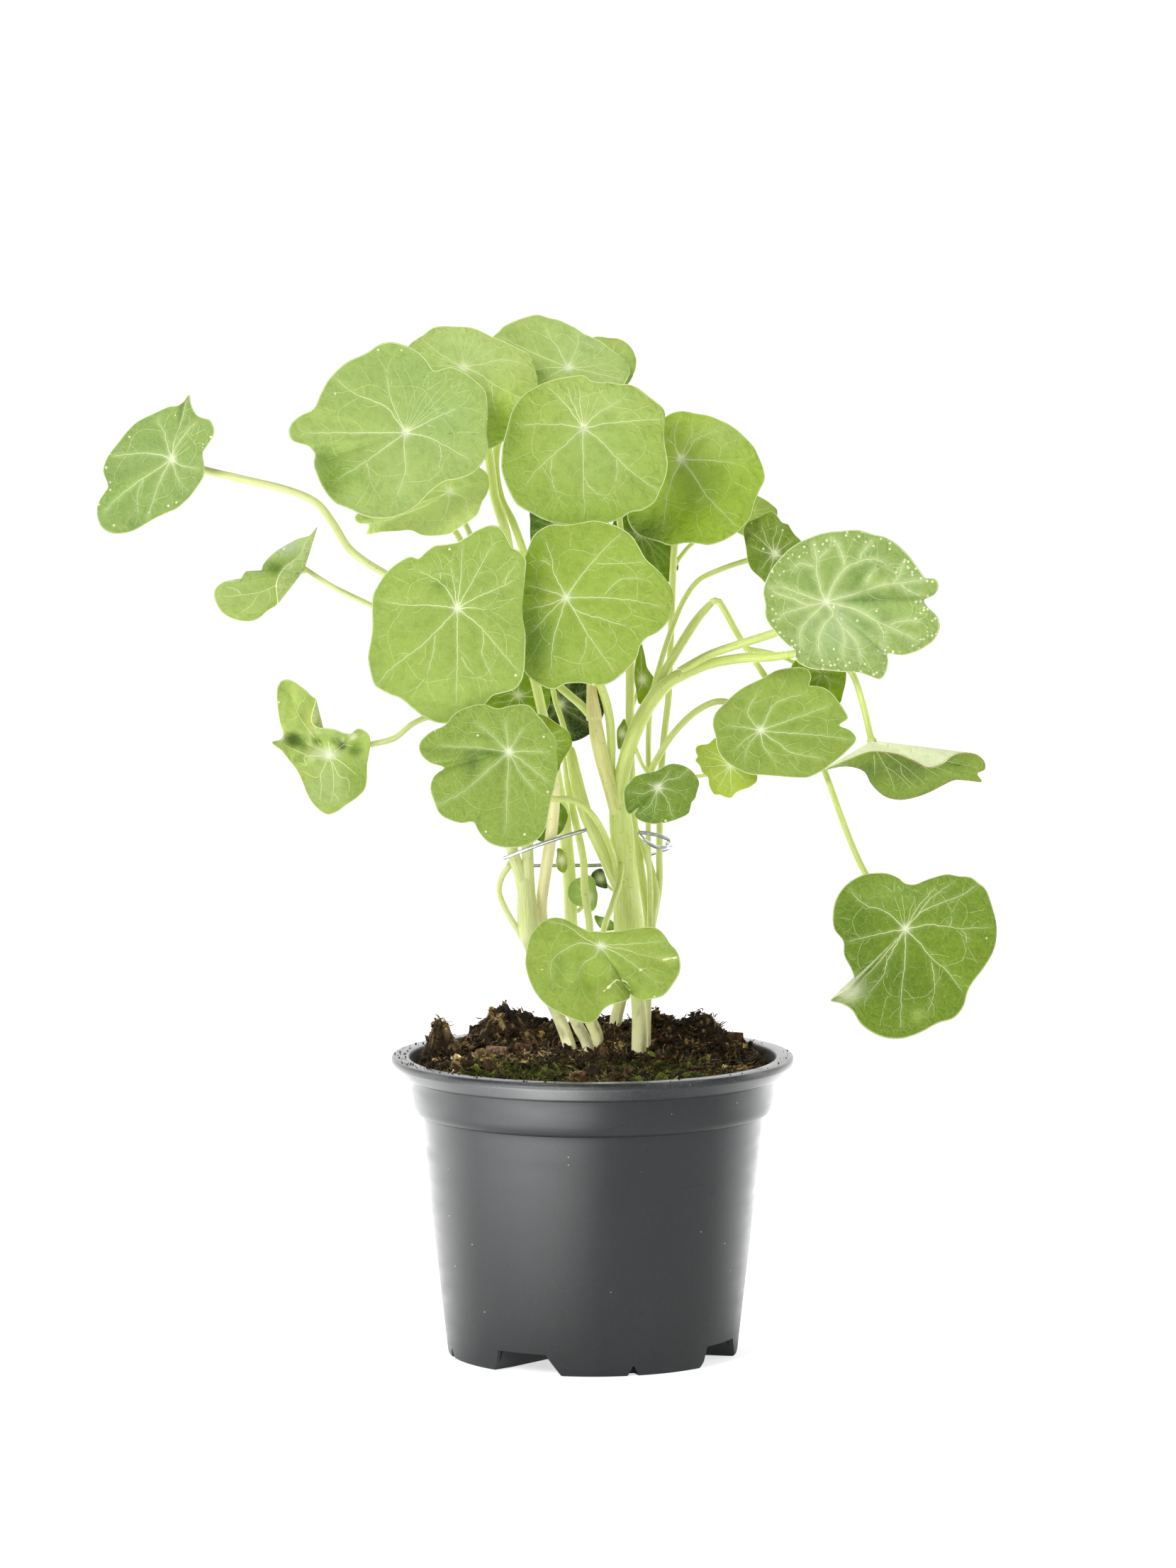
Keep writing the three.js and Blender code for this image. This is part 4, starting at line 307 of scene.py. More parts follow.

# %% [markdown]
# ## Tints of single leaves
#
# Leaves on one plant are never the same green. Young ones are yellowish, and old ones carry a grey
# bloom or brown specks. Many tints are painted shade, though: the dark spots in the dents and
# folds of leaves 1, 10, 13, 14 and 18, the left of leaf 12 where leaf 11 shades it, and the
# near-black spots on the small leaves 21, 24 and 26 deep inside the plant. The thin pale streaks
# on the ridges of the curled leaf 10 are painted highlights. A tint is a soft spot on one leaf:
# where it lies from the joint, its width and height, its colour and how strong it is. A dent is a
# place where the blade is pushed back, or forward if the number is negative.

# %% The tints
TINTS_AND_PAINTED_SHADE = {
    # its dark spots at the lower left, over the dents, are painted shade
    1: """
        -20 -13 7 4 789d1e .9, -27 -8 4.5 2.6 5e8307 .7, -25 -17 4 4 709102 .7,
        9 4 14 10 8db064 .5, -17 15 12 8 90ad50 .5, -2 -17 10 8 b5cf76 .4, 2 20 12 7 7fa057 .4""",
    2: "13 -17 7 9 cded58 .7, 0 5 16 9 bcd78f .5, -14 2 8 8 bfdb7c .5, 4 -8 6 6 7b973c .4",
    3: "-14 8 9 8 a6bb67 .55, 5 6 10 8 b7cf8d .4, 12 -8 9 6 becf97 .4",
    4: """
        -24 2 6 14 6d8c19 .6, -18 -16 10 8 9bba44 .5, 5 -8 16 13 a6c471 .5, 6 9 14 7 bed58b .4,
        22 -18 7 9 94b348 .4, 2 -28 16 5 a4cf49 .4""",
    5: "0 -20 11 10 a8ce1c .7, 6 -8 9 9 2a5b06 .4, -12 -24 9 6 3f6402 .8, 14 8 9 7 bacd7f .5",
    6: "0 6 8 6 b8c36c .4",
    7: "2 -2 7 5 aec976 .35, -20 -8 8 6 b9c883 .4",
    8: "-8 6 9 7 82a04b .5, -12 -14 8 6 89af46 .4, -17 -21 2 2 96a952 .5",
    9: """
        -9 .5 4.5 2.6 5d8203 .9, -2.5 3 2.4 8 89a853 .55, -22 -6 10 6 587043 .3,
        -7 8 6 3 ced2d8 .5""",
    # dark spots on the dents are painted shade, thin pale streaks on the ridges painted highlights
    10: """
        -11.2 5 2.6 2.6 345405 .8, -8.4 3.6 1.6 3.2 4b7415 .6, -15.4 6.6 1.3 2.4 f7f7c0 .9,
        -6.2 5.4 .7 4.4 dbe8a6 .5, -2.2 7.6 4.2 .5 e6efbc .55, 5.5 8.4 3.2 .6 f2f4d0 .6,
        2.2 5 1.7 1.5 4a6c14 .75, 4.6 5 .5 2.4 dbe8a6 .5, -3.4 4.4 1.4 .8 5b7c1a .85,
        4.4 3.2 1.5 1.6 1f410a .8, 8.6 2 2.6 2.4 62820f .8, 7.6 6.4 1.6 1.2 f4f7cf .7,
        1.5 7.6 5.5 1.8 9eb461 .75, -1 .6 5 2.4 ced9a9 .8, -5.5 -.8 1.6 1.2 dee9ab .6,
        0 -10 7 7 aabf7f .5, 9 -8 4 6 738f1b .5, -6 11.5 2 3.4 f7f797 .5, -13 16 4 8 dff787 .45,
        -7 14 1.6 3 9ca94d .5, -9 -1 2.2 1.6 748b20 .6""",
    11: """
        6 7 13 9 8fa94e .5, -5 8 2.4 1.4 557e1d .8, -18 -16 9 8 a2bd50 .5, 0 -28 20 8 b4cf65 .5,
        -18 6 8 10 a7c159 .4""",
    # its tall spot on the left is painted shade cast by leaf 11
    12: """
        -16 2 7 24 84ae03 .7, -9 -14 8 9 1d5f06 .5, 15 8 14 12 9ebd4c .5, 8 -20 16 8 a9c45b .4,
        -8 14 8 8 739406 .5""",
    # its dark spots on the dents are painted shade
    13: """
        -6 0 14 12 7a932c .55, -6.5 -.5 5 1.5 557907 .65, -9 4 5 1.3 96b34f .4,
        -11.5 -3 3 4 3d6302 .7, 14 -14 8 8 91ab3b .4""",
    # its dark spots on the dents are painted shade
    14: """
        -3 -11 4.2 4.6 8ba822 .6, -8.5 -10 1.6 5 a2c04b .5, 3 -14 3.6 2 7d832f .5,
        -20 -7 2 1.8 acba52 .5, -13 -6 2 5 416e14 .35, 22 -4.4 4 1 f2f78e .4""",
    15: "3 3 7 5 59720c .4, -5 -7 5 4 5a8a04 .4",
    16: "0 4 9 6 bdcb56 .4",
    17: "8 0 16 7 789735 .4, -6 -6 8 6 6d9207 .4",
    # its dark spots on the dents and folds are painted shade
    18: """
        4 -10 12 9 b0ca91 .6, 11 9 4.6 3 668928 .85, 9.5 .8 6 1.7 558019 .75,
        15.5 1 4 2.2 5c8528 .5, 20 -4.5 4 2.4 78983f .5, 12.5 -6.5 4 2 90b356 .5,
        27 8 6 5 89ab5b .5, -8 8 9 7 82a344 .5, 25 3.6 3.4 1.6 6f9749 .5, -8 -2.3 1.6 1 365f1c .6,
        -1.8 -2.4 1.3 .8 597028 .6, 14 15.5 8 4 688d37 .5, 4 -4 2 5 cfdeb5 .5""",
    19: "0 0 8 8 4f7702 .5",
    # near-black: painted shade deep inside the plant
    21: "0 0 7 6 102602 .4",
    22: "0 -10 4.6 3 537214 .7, 12 -9 10 4 243c0c .5, 24 -11 8 4 9bb750 .5",
    23: """
        -4 -16 13 13 4d6d08 .6, -19 -19.3 4.6 3.6 f6f7d7 .95, -16 2 9 9 2c5509 .4,
        14 8 12 9 6e8c2c .5, -4 12 12 5 91ac58 .45, 4 -28 2 2 b6cf6c .6""",
    # near-black: painted shade deep inside the plant, here and on leaf 26
    24: "0 0 9 9 0b1302 .5",
    26: "0 0 9 9 053302 .4",
}
DENTS = {
    1: "-20 -15 5 9 1.3, -14 -17 4 8 -.8, -25 -6 4 3 .8",
    2: "12 -12 4 4 .5",
    3: "-14 6 5 5 .6",
    5: "0 -14 7 8 .9, -10 -22 6 4 -1.2",
    7: "3 -1 4 5 .8",
    9: "-3 6 5 4 1.5",
    10: """
        -11 5 3 3 2.4, -7.4 4.4 1.6 4 -1.2, -3.4 4.4 1.6 1 1.4, 4.4 3 1.8 1.8 1.6, 9 2 2.4 2.4 1.4,
        1.5 8 7 2 -1.4, -6 -1.4 2 1.4 -.8, -13 .4 2 1.4 .7, -12 16 1.6 7 .8, 4 -8 1.6 5 -.5""",
    11: "-5 8 2 1.4 .5",
    13: "-11 -3 2.6 5 1.2, -6 -3 3 5 -.6, -6 1 4 1.4 1.1, -8 3.4 4 1.2 -.6",
    14: """
        -3.5 -11 3.6 4.6 2.4, -8.5 -9 1.8 5 -.9, 5 -12 3 2 -.9, 9 -13 2 2 1, -12.6 -7 1.8 5 .5""",
    15: "2 3 4 3 .4",
    18: """
        11 5.5 4 2.2 1.6, 20 -4.5 4 2 1.2, -4 -5 3 2 .8, 24 2.5 4 2 1, 16 9.5 4 2 -.8,
        10.5 6.5 2.6 2.2 1, 13 -6.5 1.8 2 1, 3 -10 4 5 -.5, 14 1 4 3 -.7""",
    22: "-8 4 8 4 1",
    23: "-8 -10 5 7 1, 8 -16 7 8 .8, -17 -20 5 3 -1.2",
}

# how padded the cells are, how many pale specks there are, and how much grey bloom
# the padding also sets how dark the creases between the cells are painted: painted shade
FINISH = {
    1: (0.3, 0.03, 0.12), 2: (0.75, 0.015, 0.05), 3: (0.45, 0.015, 0.03), 4: (0.55, 0.015, 0.02),
    5: (0.65, 0.015, 0.02), 6: (0.5, 0.03, 0.02), 7: (0.5, 0.1, 0.05), 8: (0.35, 0.25, 0.16),
    9: (0.5, 0.06, 0.14), 10: (0.45, 0.02, 0.08), 11: (0.2, 0.015, 0.02), 12: (0.35, 0.015, 0.0),
    13: (0.4, 0.08, 0.12), 14: (0.35, 0.04, 0.06), 15: (0.3, 0.1, 0.06), 16: (0.15, 0.02, 0.0),
    17: (0.35, 0.02, 0.05), 18: (0.5, 1.0, 0.2), 19: (0.5, 0.05, 0.05), 22: (0.9, 0.02, 0.05),
    23: (0.5, 0.015, 0.02), 30: (0.3, 0.05, 0.1)}

# painted light: how strongly blades standing behind others, and undersides, glow to lift shade
PAINTED_GLOW = {2: 0.06, 3: 0.06, 6: 0.1, 7: 0.15, 20: 0.12}
UNDER_PAINTED_GLOW = {22: 0.35}
# how pale the flesh is beside the veins and at the joint, and how pale the veins themselves are
HALO = {18: 0.62, 13: 0.3, 8: 0.3, 4: 0.2, 3: 0.25, 1: 0.2, 22: 0.3, 17: 0.25}
STAR = {20: 0.0, 21: 0.0, 22: 0.1, 9: 0.1}
BOLD = {18: 0.85, 13: 0.5, 14: 0.5, 15: 0.62, 17: 0.62, 21: 0.4, 24: 0.35, 25: 0.35, 26: 0.3,
        31: 0.4, 32: 0.4, 5: 0.6, 22: 0.5}
# a blade that has aged a little at its edge, with the colour of the edge
EDGED = {22: "a0683a"}
print(sum(len(text.split(",")) for text in TINTS_AND_PAINTED_SHADE.values()), "tinted spots,",
      sum(len(text.split(",")) for text in DENTS.values()), "dents")

# %% [markdown]
# ## Where the stems go
#
# Five stems stand in the soil, and every leaf stalk grows out of one of them. A route is a line
# of points, right, up and back, with the stem's radius. A route with `leaf` ends at that leaf's
# joint. The stems are soft and full of water, so they bend in long lazy curves with no kinks.

# %% The stems
STEMS = {
    "stem_left": dict(colour="c5cc84", routes=[
        dict(r=2.1, root=True, path="""
            -6.5 87 0, -7.2 98.5 0, -9.2 105 0.5, -12.5 113 -1.5, -16.6 122 -7, -19.6 131 -12"""),
        dict(r=3.2, path="-18.8 127.5 -10.5, -20.6 136 -13, -21.3 147 -12.5, -21.6 156 -12"),
        dict(r=1.9, path="""
            -22 149 -12, -24.2 158 -12, -27 167 -12, -29.5 175 -12, -31 186.5 -13, -33.5 200.5 -14,
            -39 216.5 -18"""),
        dict(r=1.9, path="""
            -20.6 149 -12, -20.9 160 -12, -21.3 175 -12, -22 186.5 -12, -22.5 196 -12,
            -23 202 -12"""),
        dict(r=1, leaf=10, path="""
            -20.6 132 -13, -24.5 138.2 -13, -28.6 145.5 -12.5, -30.3 150.5 -12, -29 155.6 -11.2,
            -26.5 159.4 -10.2, -26 163.5 -9.8, -28 173 -11, -32.5 184 -16, -40 198 -20,
            -49.5 207 -24, -57.5 205 -28, -64 200 -30, -71.5 198 -31, -79 196 -31"""),
        dict(r=1.3, leaf=8, path="""
            -33.5 200.5 -14, -44.5 226.5 -18, -56 245 -21, -66.5 253 -22, -73 257 -21,
            -78.5 261.5 -20, -83.5 269.5 -18.5, -88.5 275.8 -17, -97 279.8 -15, -110 283 -11,
            -124.5 286.5 -7"""),
        dict(r=0.9, leaf=9, path="""
            -43 223.5 -18, -54 232.5 -20, -63 238.2 -22, -71 242.8 -23, -84 249.2 -23"""),
        dict(r=1.2, leaf=11, path="-33.5 200.5 -14, -39 218.5 -18, -42 232 -28"),
        dict(r=1, leaf=7, path="""
            -23 200.5 -12, -26 214 -8, -30 232.5 -6, -35 253 -6, -39.5 266 -6, -44 275.5 -5.5"""),
        dict(r=1.1, leaf=1, path="""
            -22.5 196 -12, -28.5 218.5 -4, -33.5 239.5 -1, -42.5 264 0, -48 272 0, -57 288 -4"""),
        dict(r=0.8, leaf=28, path="-22.5 196 -12, -23.2 203 -12"),
    ]),
    "stem_pink": dict(colour="e9e0a4", routes=[
        dict(r=1.9, root=True, path="""
            -0.5 88 4, -1.6 100 4, -5 107 -1, -7.4 113.5 -4, -11.4 125 -7, -15 134.5 -8,
            -16.5 142 -8, -16.5 147 -9, -15 158 -12.5, -13 172 -14, -12 187 -20"""),
        dict(r=1.2, leaf=27, path="-12.2 184 -18, -13.5 192 -24"),
    ]),
    "stem_middle": dict(colour="d4e07f", routes=[
        dict(r=2.1, root=True, path="""
            1.5 92 10, 1.5 103 10, -1 109 9, -5 122 6, -6.5 133.5 3, -7 140 1, -7.5 154.5 0,
            -8.5 166.5 -1, -9 173 -2, -10.4 182 -5"""),
        dict(r=1.6, leaf=2, path="""
            -9.8 178 -3.5, -11 185 -8, -13.5 197 -21, -16 207.5 -26, -18.5 218.5 -26,
            -22 232.5 -20, -25.5 251 -10, -28 266.5 -4, -31.5 278 0, -33.5 292 3,
            -37.5 306.5 4"""),
        dict(r=1.25, leaf=26, path="""
            -4.5 121 6, -2 130 -2, -1 138.5 -9, -2.5 150 -10, -3 160.5 -8, -5.5 173 -3, -7.5 182 2,
            -8.5 191 6, -9 200.5 12"""),
        dict(r=0.6, leaf=30, path="-7 143 1, -4 144.5 2"),
        dict(r=0.5, leaf=33, path="-7.5 154.5 0, -8.5 157 2"),
        dict(r=0.5, leaf=35, path="-9 171 -2, -10.8 171.6 -2.6"),
    ]),
    "stem_main": dict(colour="c4d368", routes=[
        dict(r=2.4, root=True, path="15 86 -3, 15 99 -3, 15 110.5 -4, 13.5 124 -6"),
        dict(r=2, root=True, path="7 95 22, 7.5 108 21, 9 115 15, 10.5 124.5 6, 11.5 134 -3"),
        dict(r=3.9, knots="12 1.1 20", path="""
            13.6 119 -5, 12.8 129 -6, 11.7 138.5 -6, 10.5 154 -6, 9.5 168 -6, 8 182 -7"""),
        dict(r=2.4, tan=True, path="8.4 175 -7, 5 186.5 -9, 2 198 -12, 0.5 207.5 -13, 0 212 -13"),
        dict(r=1.3, leaf=4, tan=True, knots="0 1 9", path="""
            0.5 206 -13, -0.5 217.5 -13, -1 232.5 -13, -2 255.5 -11, -3 278 -8, -3 292 -7"""),
        dict(r=1.3, leaf=3, path="""
            0.5 206 -12.5, -3.5 210.5 -12, -7.5 214 -10, -11.5 218 -8, -16 232.5 -6,
            -21.5 257.5 -4, -25.5 269.5 -1, -29.6 278 5, -31 292 11, -25.5 306.5 14,
            -15 314.5 14"""),
        dict(r=2.1, path="9.5 150 -6, 3 163.5 -8, -2 175 -8, -5.5 187.5 -6, -7.5 198 -3"),
        dict(r=0.9, leaf=25, path="""
            -7 195 -4, -10 206 -2, -12.2 213 -1, -13.5 222 -1, -13.5 236 1, -13 255.5 2"""),
        dict(r=1.4, leaf=12, path="""
            7.5 179.5 -6, 6 189 -7, 6 198 -9, 5.5 206 -11, 4 213 -14, 1 221 -19, -3 231.5 -26,
            -7 240 -31"""),
        dict(r=2.4, path="""
            8 178 -7, 10 190.5 -8, 13 200.5 -10, 17 209 -10, 22.5 216.5 -11, 30 222 -12"""),
        dict(r=1.4, leaf=18, path="""
            28 221.5 -11.5, 37.5 227 -13, 49 231 -15, 59.5 234.5 -16, 69.5 240 -18"""),
        dict(r=1.6, path="26 219 -11.5, 37.5 224 -11.5, 49 226 -12, 59 226.5 -14, 65 227.5 -16"),
        dict(r=1.1, leaf=22, path="""
            63 227 -15.4, 71.5 228.5 -17, 78.5 226 -18, 83.5 221 -19, 86.5 213 -20"""),
        dict(r=1.5, path="15.5 206.5 -9, 21.5 218.5 -8, 28.5 230.5 -7, 34 239 -6, 39 244.6 -5"),
        dict(r=1.05, leaf=23, path="""
            38 243.8 -5, 40 244.6 -5, 42 242 -5, 47 233 -4, 55.5 220 -2, 65 206 -1, 73 193.5 -2,
            75.5 187.5 -5, 80 175 -14, 84.5 163.5 -22, 89 154.5 -28"""),
        dict(r=0.7, leaf=21, path="50 229 -3.4, 58 227.5 2, 66 224 8"),
        dict(r=0.6, leaf=15, path="13 199 -10, 16 191.5 -10, 18.5 187.5 -11"),
        dict(r=1, leaf=13, path="""
            8.4 153 -7.5, 6.6 162 -12, 3.5 169.5 -18, 0.5 174.5 -23, -3.5 178.5 -26, -8 180.3 -28,
            -13 180.5 -32, -18 184 -38, -22.5 189 -45"""),
        dict(r=1, leaf=14, path="9.4 160 -8.5, 8.5 153 -14, 6 145 -23, 3.8 139 -32"),
        dict(r=0.5, leaf=31, path="8.6 149.5 -5, 5.5 151.5 1"),
        dict(r=0.5, leaf=32, path="9 136.5 -4, 6.5 138.5 1.5"),
        dict(r=0.5, leaf=34, path="8 183 -6, 9 190 3"),
    ]),
    "stem_right": dict(colour="c3ce6f", routes=[
        dict(r=1.6, root=True, path="""
            17.3 89 8, 17.3 102 8, 17.4 112 6.5, 18 124.5 3.5, 18.6 138.5 2"""),
        dict(r=1.5, path="""
            18.6 134 2.4, 17.6 144 4, 16 154 5.5, 14.5 163.5 6.5, 13.2 173 6.5, 12.5 184.5 7,
            12 196 8, 12 209.5 8, 12 221 8, 12 238 11"""),
        dict(r=1.2, path="""
            18.8 133 2, 19.5 143 1.5, 20.5 148.5 1.5, 20 153 2.5, 18.5 158.5 4, 16.4 164.5 5.5,
            13.6 172 6.6"""),
        dict(r=0.9, leaf=19, path="""
            18.6 138 1.5, 18.5 152 -2, 18 163.5 -3, 18 186.5 -3, 18 200.5 -2, 19 213 -2,
            22.5 226.5 -1, 26 237 0, 29.5 245 1, 34 251 3, 41 254.5 6, 50 257.5 9"""),
        dict(r=1.1, leaf=5, path="""
            19 138 2.2, 21.5 152 3.5, 21.5 163.5 4, 22 186.5 5, 23 200.5 5, 24.5 214 5, 25 228 5,
            25.5 244 6, 26 257.5 6, 27 273.5 7"""),
        dict(r=0.9, leaf=24, path="12 234 10.5, 13 247 18, 14 257 26"),
        dict(r=1, leaf=6, path="12 234 10.5, 10 257.5 10, 8 278 12, 7 296.5 17, 7 310 22"),
        dict(r=0.7, leaf=20, path="26 255.5 6, 31.5 262.5 13, 41 269 20"),
        dict(r=1.1, leaf=17, path="""
            18.2 180 -2.8, 18.8 189 -4, 21.2 194.1 -5, 26.6 202.3 -6, 34.4 209.5 -6, 40.8 212 -5,
            46 210.5 -3"""),
        dict(r=0.6, leaf=16, path="21.8 184 4.8, 27 187 3, 36 188 2"),
        dict(r=0.6, leaf=29, path="12 207.5 8, 13.5 212 11"),
    ]),
}
WIRE = """
    -1.6 170.5 -16.5, -13 167 -16.9, -25 162.6 -16.3, -28.6 161.2 -14.6, -29.4 160.6 -11,
    -27.6 159.6 -5, -20 158.8 6, -8 158.8 13, 4 159 15, 14 161 14, 21.5 163.3 9.5, 26 164.9 3,
    24.6 164.7 -2.6, 20.4 164.8 -6.8, 16 167.8 -9.2, 14.8 169.4 -8.6, 17 169.3 -7.8, 22 168.3 -6.4,
    24.8 166.8 -5, 23.6 165.6 -4.6"""
print(sum(len(stem["routes"]) for stem in STEMS.values()), "stems and stalks, one wire")

# %% [markdown]
# ## Small helpers
#
# The tables are in millimetres and Blender works in metres, so one helper moves points over. The
# tables are drawn flat, as seen from the front, and `place` carries each point back or forward
# along the line of sight. `smooth` runs a soft curve through a few points, the way a bent willow
# rod does.

# %% Helpers for points and curves
MM = 0.001
FULL_TURN = 2 * math.pi
EYE = np.array([-1.5, -2400.0, 440.0])


def read(text):
    """'1 2 3, 4 5 6' as a list of number tuples."""
    return [tuple(float(v) for v in part.split()) for part in text.split(",")]


def place(points):
    """Points of right, up and back in mm, as places in metres."""
    points = np.asarray(points, float)
    flat = np.stack([points[..., 0], 0 * points[..., 0], points[..., 1]], -1)
    return (EYE + (flat - EYE) * (1 - points[..., 2:3] / EYE[1])) * MM


def smooth(points, steps, closed=False):
    """A soft curve through the points, with so many steps between two of them."""
    points = [np.array(p, float) for p in points]
    if closed:
        padded = [points[-1]] + points + points[:2]
    else:
        padded = [2 * points[0] - points[1]] + points + [2 * points[-1] - points[-2]]
    curve = []
    for a, b, c, d in zip(padded, padded[1:], padded[2:], padded[3:]):
        t1 = max(np.linalg.norm(b - a), 1e-9) ** 0.5
        t2 = t1 + max(np.linalg.norm(c - b), 1e-9) ** 0.5
        t3 = t2 + max(np.linalg.norm(d - c), 1e-9) ** 0.5
        for t in np.linspace(t1, t2, steps, endpoint=False):
            ab = (a * (t1 - t) + b * t) / t1
            bc = (b * (t2 - t) + c * (t - t1)) / (t2 - t1)
            cd = (c * (t3 - t) + d * (t - t2)) / (t3 - t2)
            abc = (ab * (t2 - t) + bc * t) / t2
            bcd = (bc * (t3 - t) + cd * (t - t1)) / (t3 - t1)
            curve.append((abc * (t2 - t) + bcd * (t - t1)) / (t2 - t1))
    return np.array(curve if closed else curve + [points[-1]])


def even(curve, spacing):
    """The same curve with evenly spaced points."""
    along = np.append(0, np.cumsum(np.linalg.norm(np.diff(curve, axis=0), axis=1)))
    spots = np.linspace(0, along[-1], max(3, int(round(along[-1] / spacing)) + 1))
    return np.stack([np.interp(spots, along, curve[:, k]) for k in range(curve.shape[1])], -1)


def unit(vectors):
    """The same directions, each one long."""
    return vectors / np.maximum(np.linalg.norm(vectors, axis=-1, keepdims=True), 1e-12)


def square(across):
    """A flat direction turned a quarter to the left."""
    return np.stack([-across[..., 1], across[..., 0]], -1)


def soft_spot(x, y, middle_x, middle_y, wide, high):
    """1 in the middle of a spot, fading to nothing round it."""
    return np.exp(-((x - middle_x) / wide) ** 2 - ((y - middle_y) / high) ** 2)


def blend(one, other, amount):
    return one * (1 - amount) + other * amount


def colour(code):
    """A colour written as six hex digits, as the plain light values Blender mixes."""
    values = [int(code[i:i + 2], 16) / 255 for i in (0, 2, 4)]
    return np.array([v / 12.92 if v <= 0.04045 else ((v + 0.055) / 1.055) ** 2.4 for v in values])


wire_steps = np.linalg.norm(np.diff(smooth(read(WIRE), 6), axis=0), axis=1)
print("the wire is", round(float(wire_steps.sum())), "mm long")

# %% [markdown]
# A rolled grid is the shape under almost everything here. A flat grid bent round until two edges
# meet is a tube, and one whose first edge shrinks to a point is a leaf. `roll` makes the grid and
# moves each point to its place, then welds the seam and the points that fell together.

# %% A grid rolled into a tube or a leaf
def layers_of(mesh, name):
    """The kind of point layer that a name stands for: colours, or plain vectors."""
    layers = mesh.verts.layers
    return layers.float_color if name in ("tone", "under") else layers.float_vector


def layered(*names):
    """An empty bmesh whose points can hold these values."""
    mesh = bmesh.new()
    for name in names:
        layers_of(mesh, name).new(name)
    return mesh


def roll(mesh, places, marks=None):
    """Adds a grid whose point (i, j) is places[i, j]; the last column meets the first one."""
    rows, columns = places.shape[0] - 1, places.shape[1]
    made = bmesh.ops.create_grid(mesh, x_segments=rows, y_segments=columns, size=1)["verts"]
    layers = {name: layers_of(mesh, name)[name] for name in marks or {}}
    for vert in made:
        i = int(round((vert.co.x + 1) / 2 * rows))
        j = int(round((vert.co.y + 1) / 2 * columns)) % columns
        vert.co = places[i, j]
        for name, layer in layers.items():
            vert[layer] = marks[name][i, j]
    faces = {face for vert in made for face in vert.link_faces}
    bmesh.ops.remove_doubles(mesh, verts=made, dist=1e-8)
    return [face for face in faces if face.is_valid]


def tube_places(centres, radii, sides):
    """Rings round a line of points, turned as little as possible from one to the next."""
    centres = np.asarray(centres, float)
    ahead = unit(np.gradient(centres, axis=0))
    side = unit(np.cross(ahead[0], (0.0, 1.0, 0.0)))
    turns = np.linspace(0, FULL_TURN, sides, endpoint=False)
    rings = []
    for centre, along, radius in zip(centres, ahead, radii):
        side = unit(side - along * side.dot(along))
        up = np.cross(along, side)
        rings.append(centre + radius * (np.outer(np.cos(turns), side)
                                        + np.outer(np.sin(turns), up)))
    return np.array(rings)


def closed_tube(centres, radii, sides):
    """The same rings, with both ends drawn to a point."""
    return np.concatenate([np.repeat(centres[None, :1], sides, 1),
                           tube_places(centres, radii, sides),
                           np.repeat(centres[None, -1:], sides, 1)])


def finish_mesh(name, mesh, materials, smooth_faces=True):
    """Turns a bmesh into an object at the origin, with outward faces."""
    bmesh.ops.recalc_face_normals(mesh, faces=mesh.faces)
    data = bpy.data.meshes.new(name)
    mesh.to_mesh(data)
    mesh.free()
    for material in materials:
        data.materials.append(material)
    data.polygons.foreach_set("use_smooth", [smooth_faces] * len(data.polygons))
    piece = bpy.data.objects.new(name, data)
    bpy.context.scene.collection.objects.link(piece)
    return piece


def triangles(*pieces):
    """How many triangles each piece has."""
    return [sum(len(face.vertices) - 2 for face in piece.data.polygons) for piece in pieces]


sample = bmesh.new()
roll(sample, tube_places([(0, 0, 0), (0, 0, 1), (0, 0, 2)], [1, 1, 1], 8))
print("a sample tube has", len(sample.verts), "points and", len(sample.faces), "faces")
sample.free()

# %% [markdown]
# ## Node helpers
#
# Materials are built from nodes in code, so a few short helpers keep that readable. Effects that
# several materials share are node groups, each handing out one plain value.

# %% Helpers for nodes
def fill(tree, made, **inputs):
    """Fills or connects inputs: Base_Color is the one called Base Color, and i0 the first."""
    for name, value in inputs.items():
        numbered = name[0] == "i" and name[1:].isdigit()
        socket = made.inputs[int(name[1:]) if numbered else name.replace("_", " ")]
        if isinstance(value, bpy.types.NodeSocket):
            tree.links.new(value, socket)
        else:
            socket.default_value = (*value, 1) if socket.type == "RGBA" else value


def node(tree, kind, settings=None, **inputs):
    """Adds a node, sets its options and fills its inputs."""
    made = tree.nodes.new(kind)
    for name, value in (settings or {}).items():
        setattr(made, name, value)
    fill(tree, made, **inputs)
    return made


def maths(tree, operation, a, b):
    return node(tree, "ShaderNodeMath", {"operation": operation}, i0=a, i1=b).outputs[0]


def times(tree, a, b):
    return maths(tree, "MULTIPLY", a, b)


def plus(tree, a, b):
    return maths(tree, "ADD", a, b)


def vector_maths(tree, operation, a, b=(0, 0, 0)):
    """A length and a dot product are numbers, and the other results are vectors."""
    made = node(tree, "ShaderNodeVectorMath", {"operation": operation}, i0=a, i1=b)
    return made.outputs["Value" if operation in ("LENGTH", "DOT_PRODUCT") else "Vector"]


def scaled(tree, vector, by):
    return vector_maths(tree, "MULTIPLY", vector, by)


def parts(tree, vector):
    return node(tree, "ShaderNodeSeparateXYZ", Vector=vector).outputs


def span(tree, value, low, high, to_low=0.0, to_high=1.0):
    """The value, stretched from one span to another and held inside it."""
    return node(tree, "ShaderNodeMapRange", Value=value, From_Min=low, From_Max=high,
                To_Min=to_low, To_Max=to_high).outputs["Result"]


def mix(tree, amount, a, b, way="MIX"):
    """Two colours mixed; the amount is how much there is of the second."""
    return node(tree, "ShaderNodeMix", {"data_type": "RGBA", "blend_type": way},
                i0=amount, i6=a, i7=b).outputs[2]


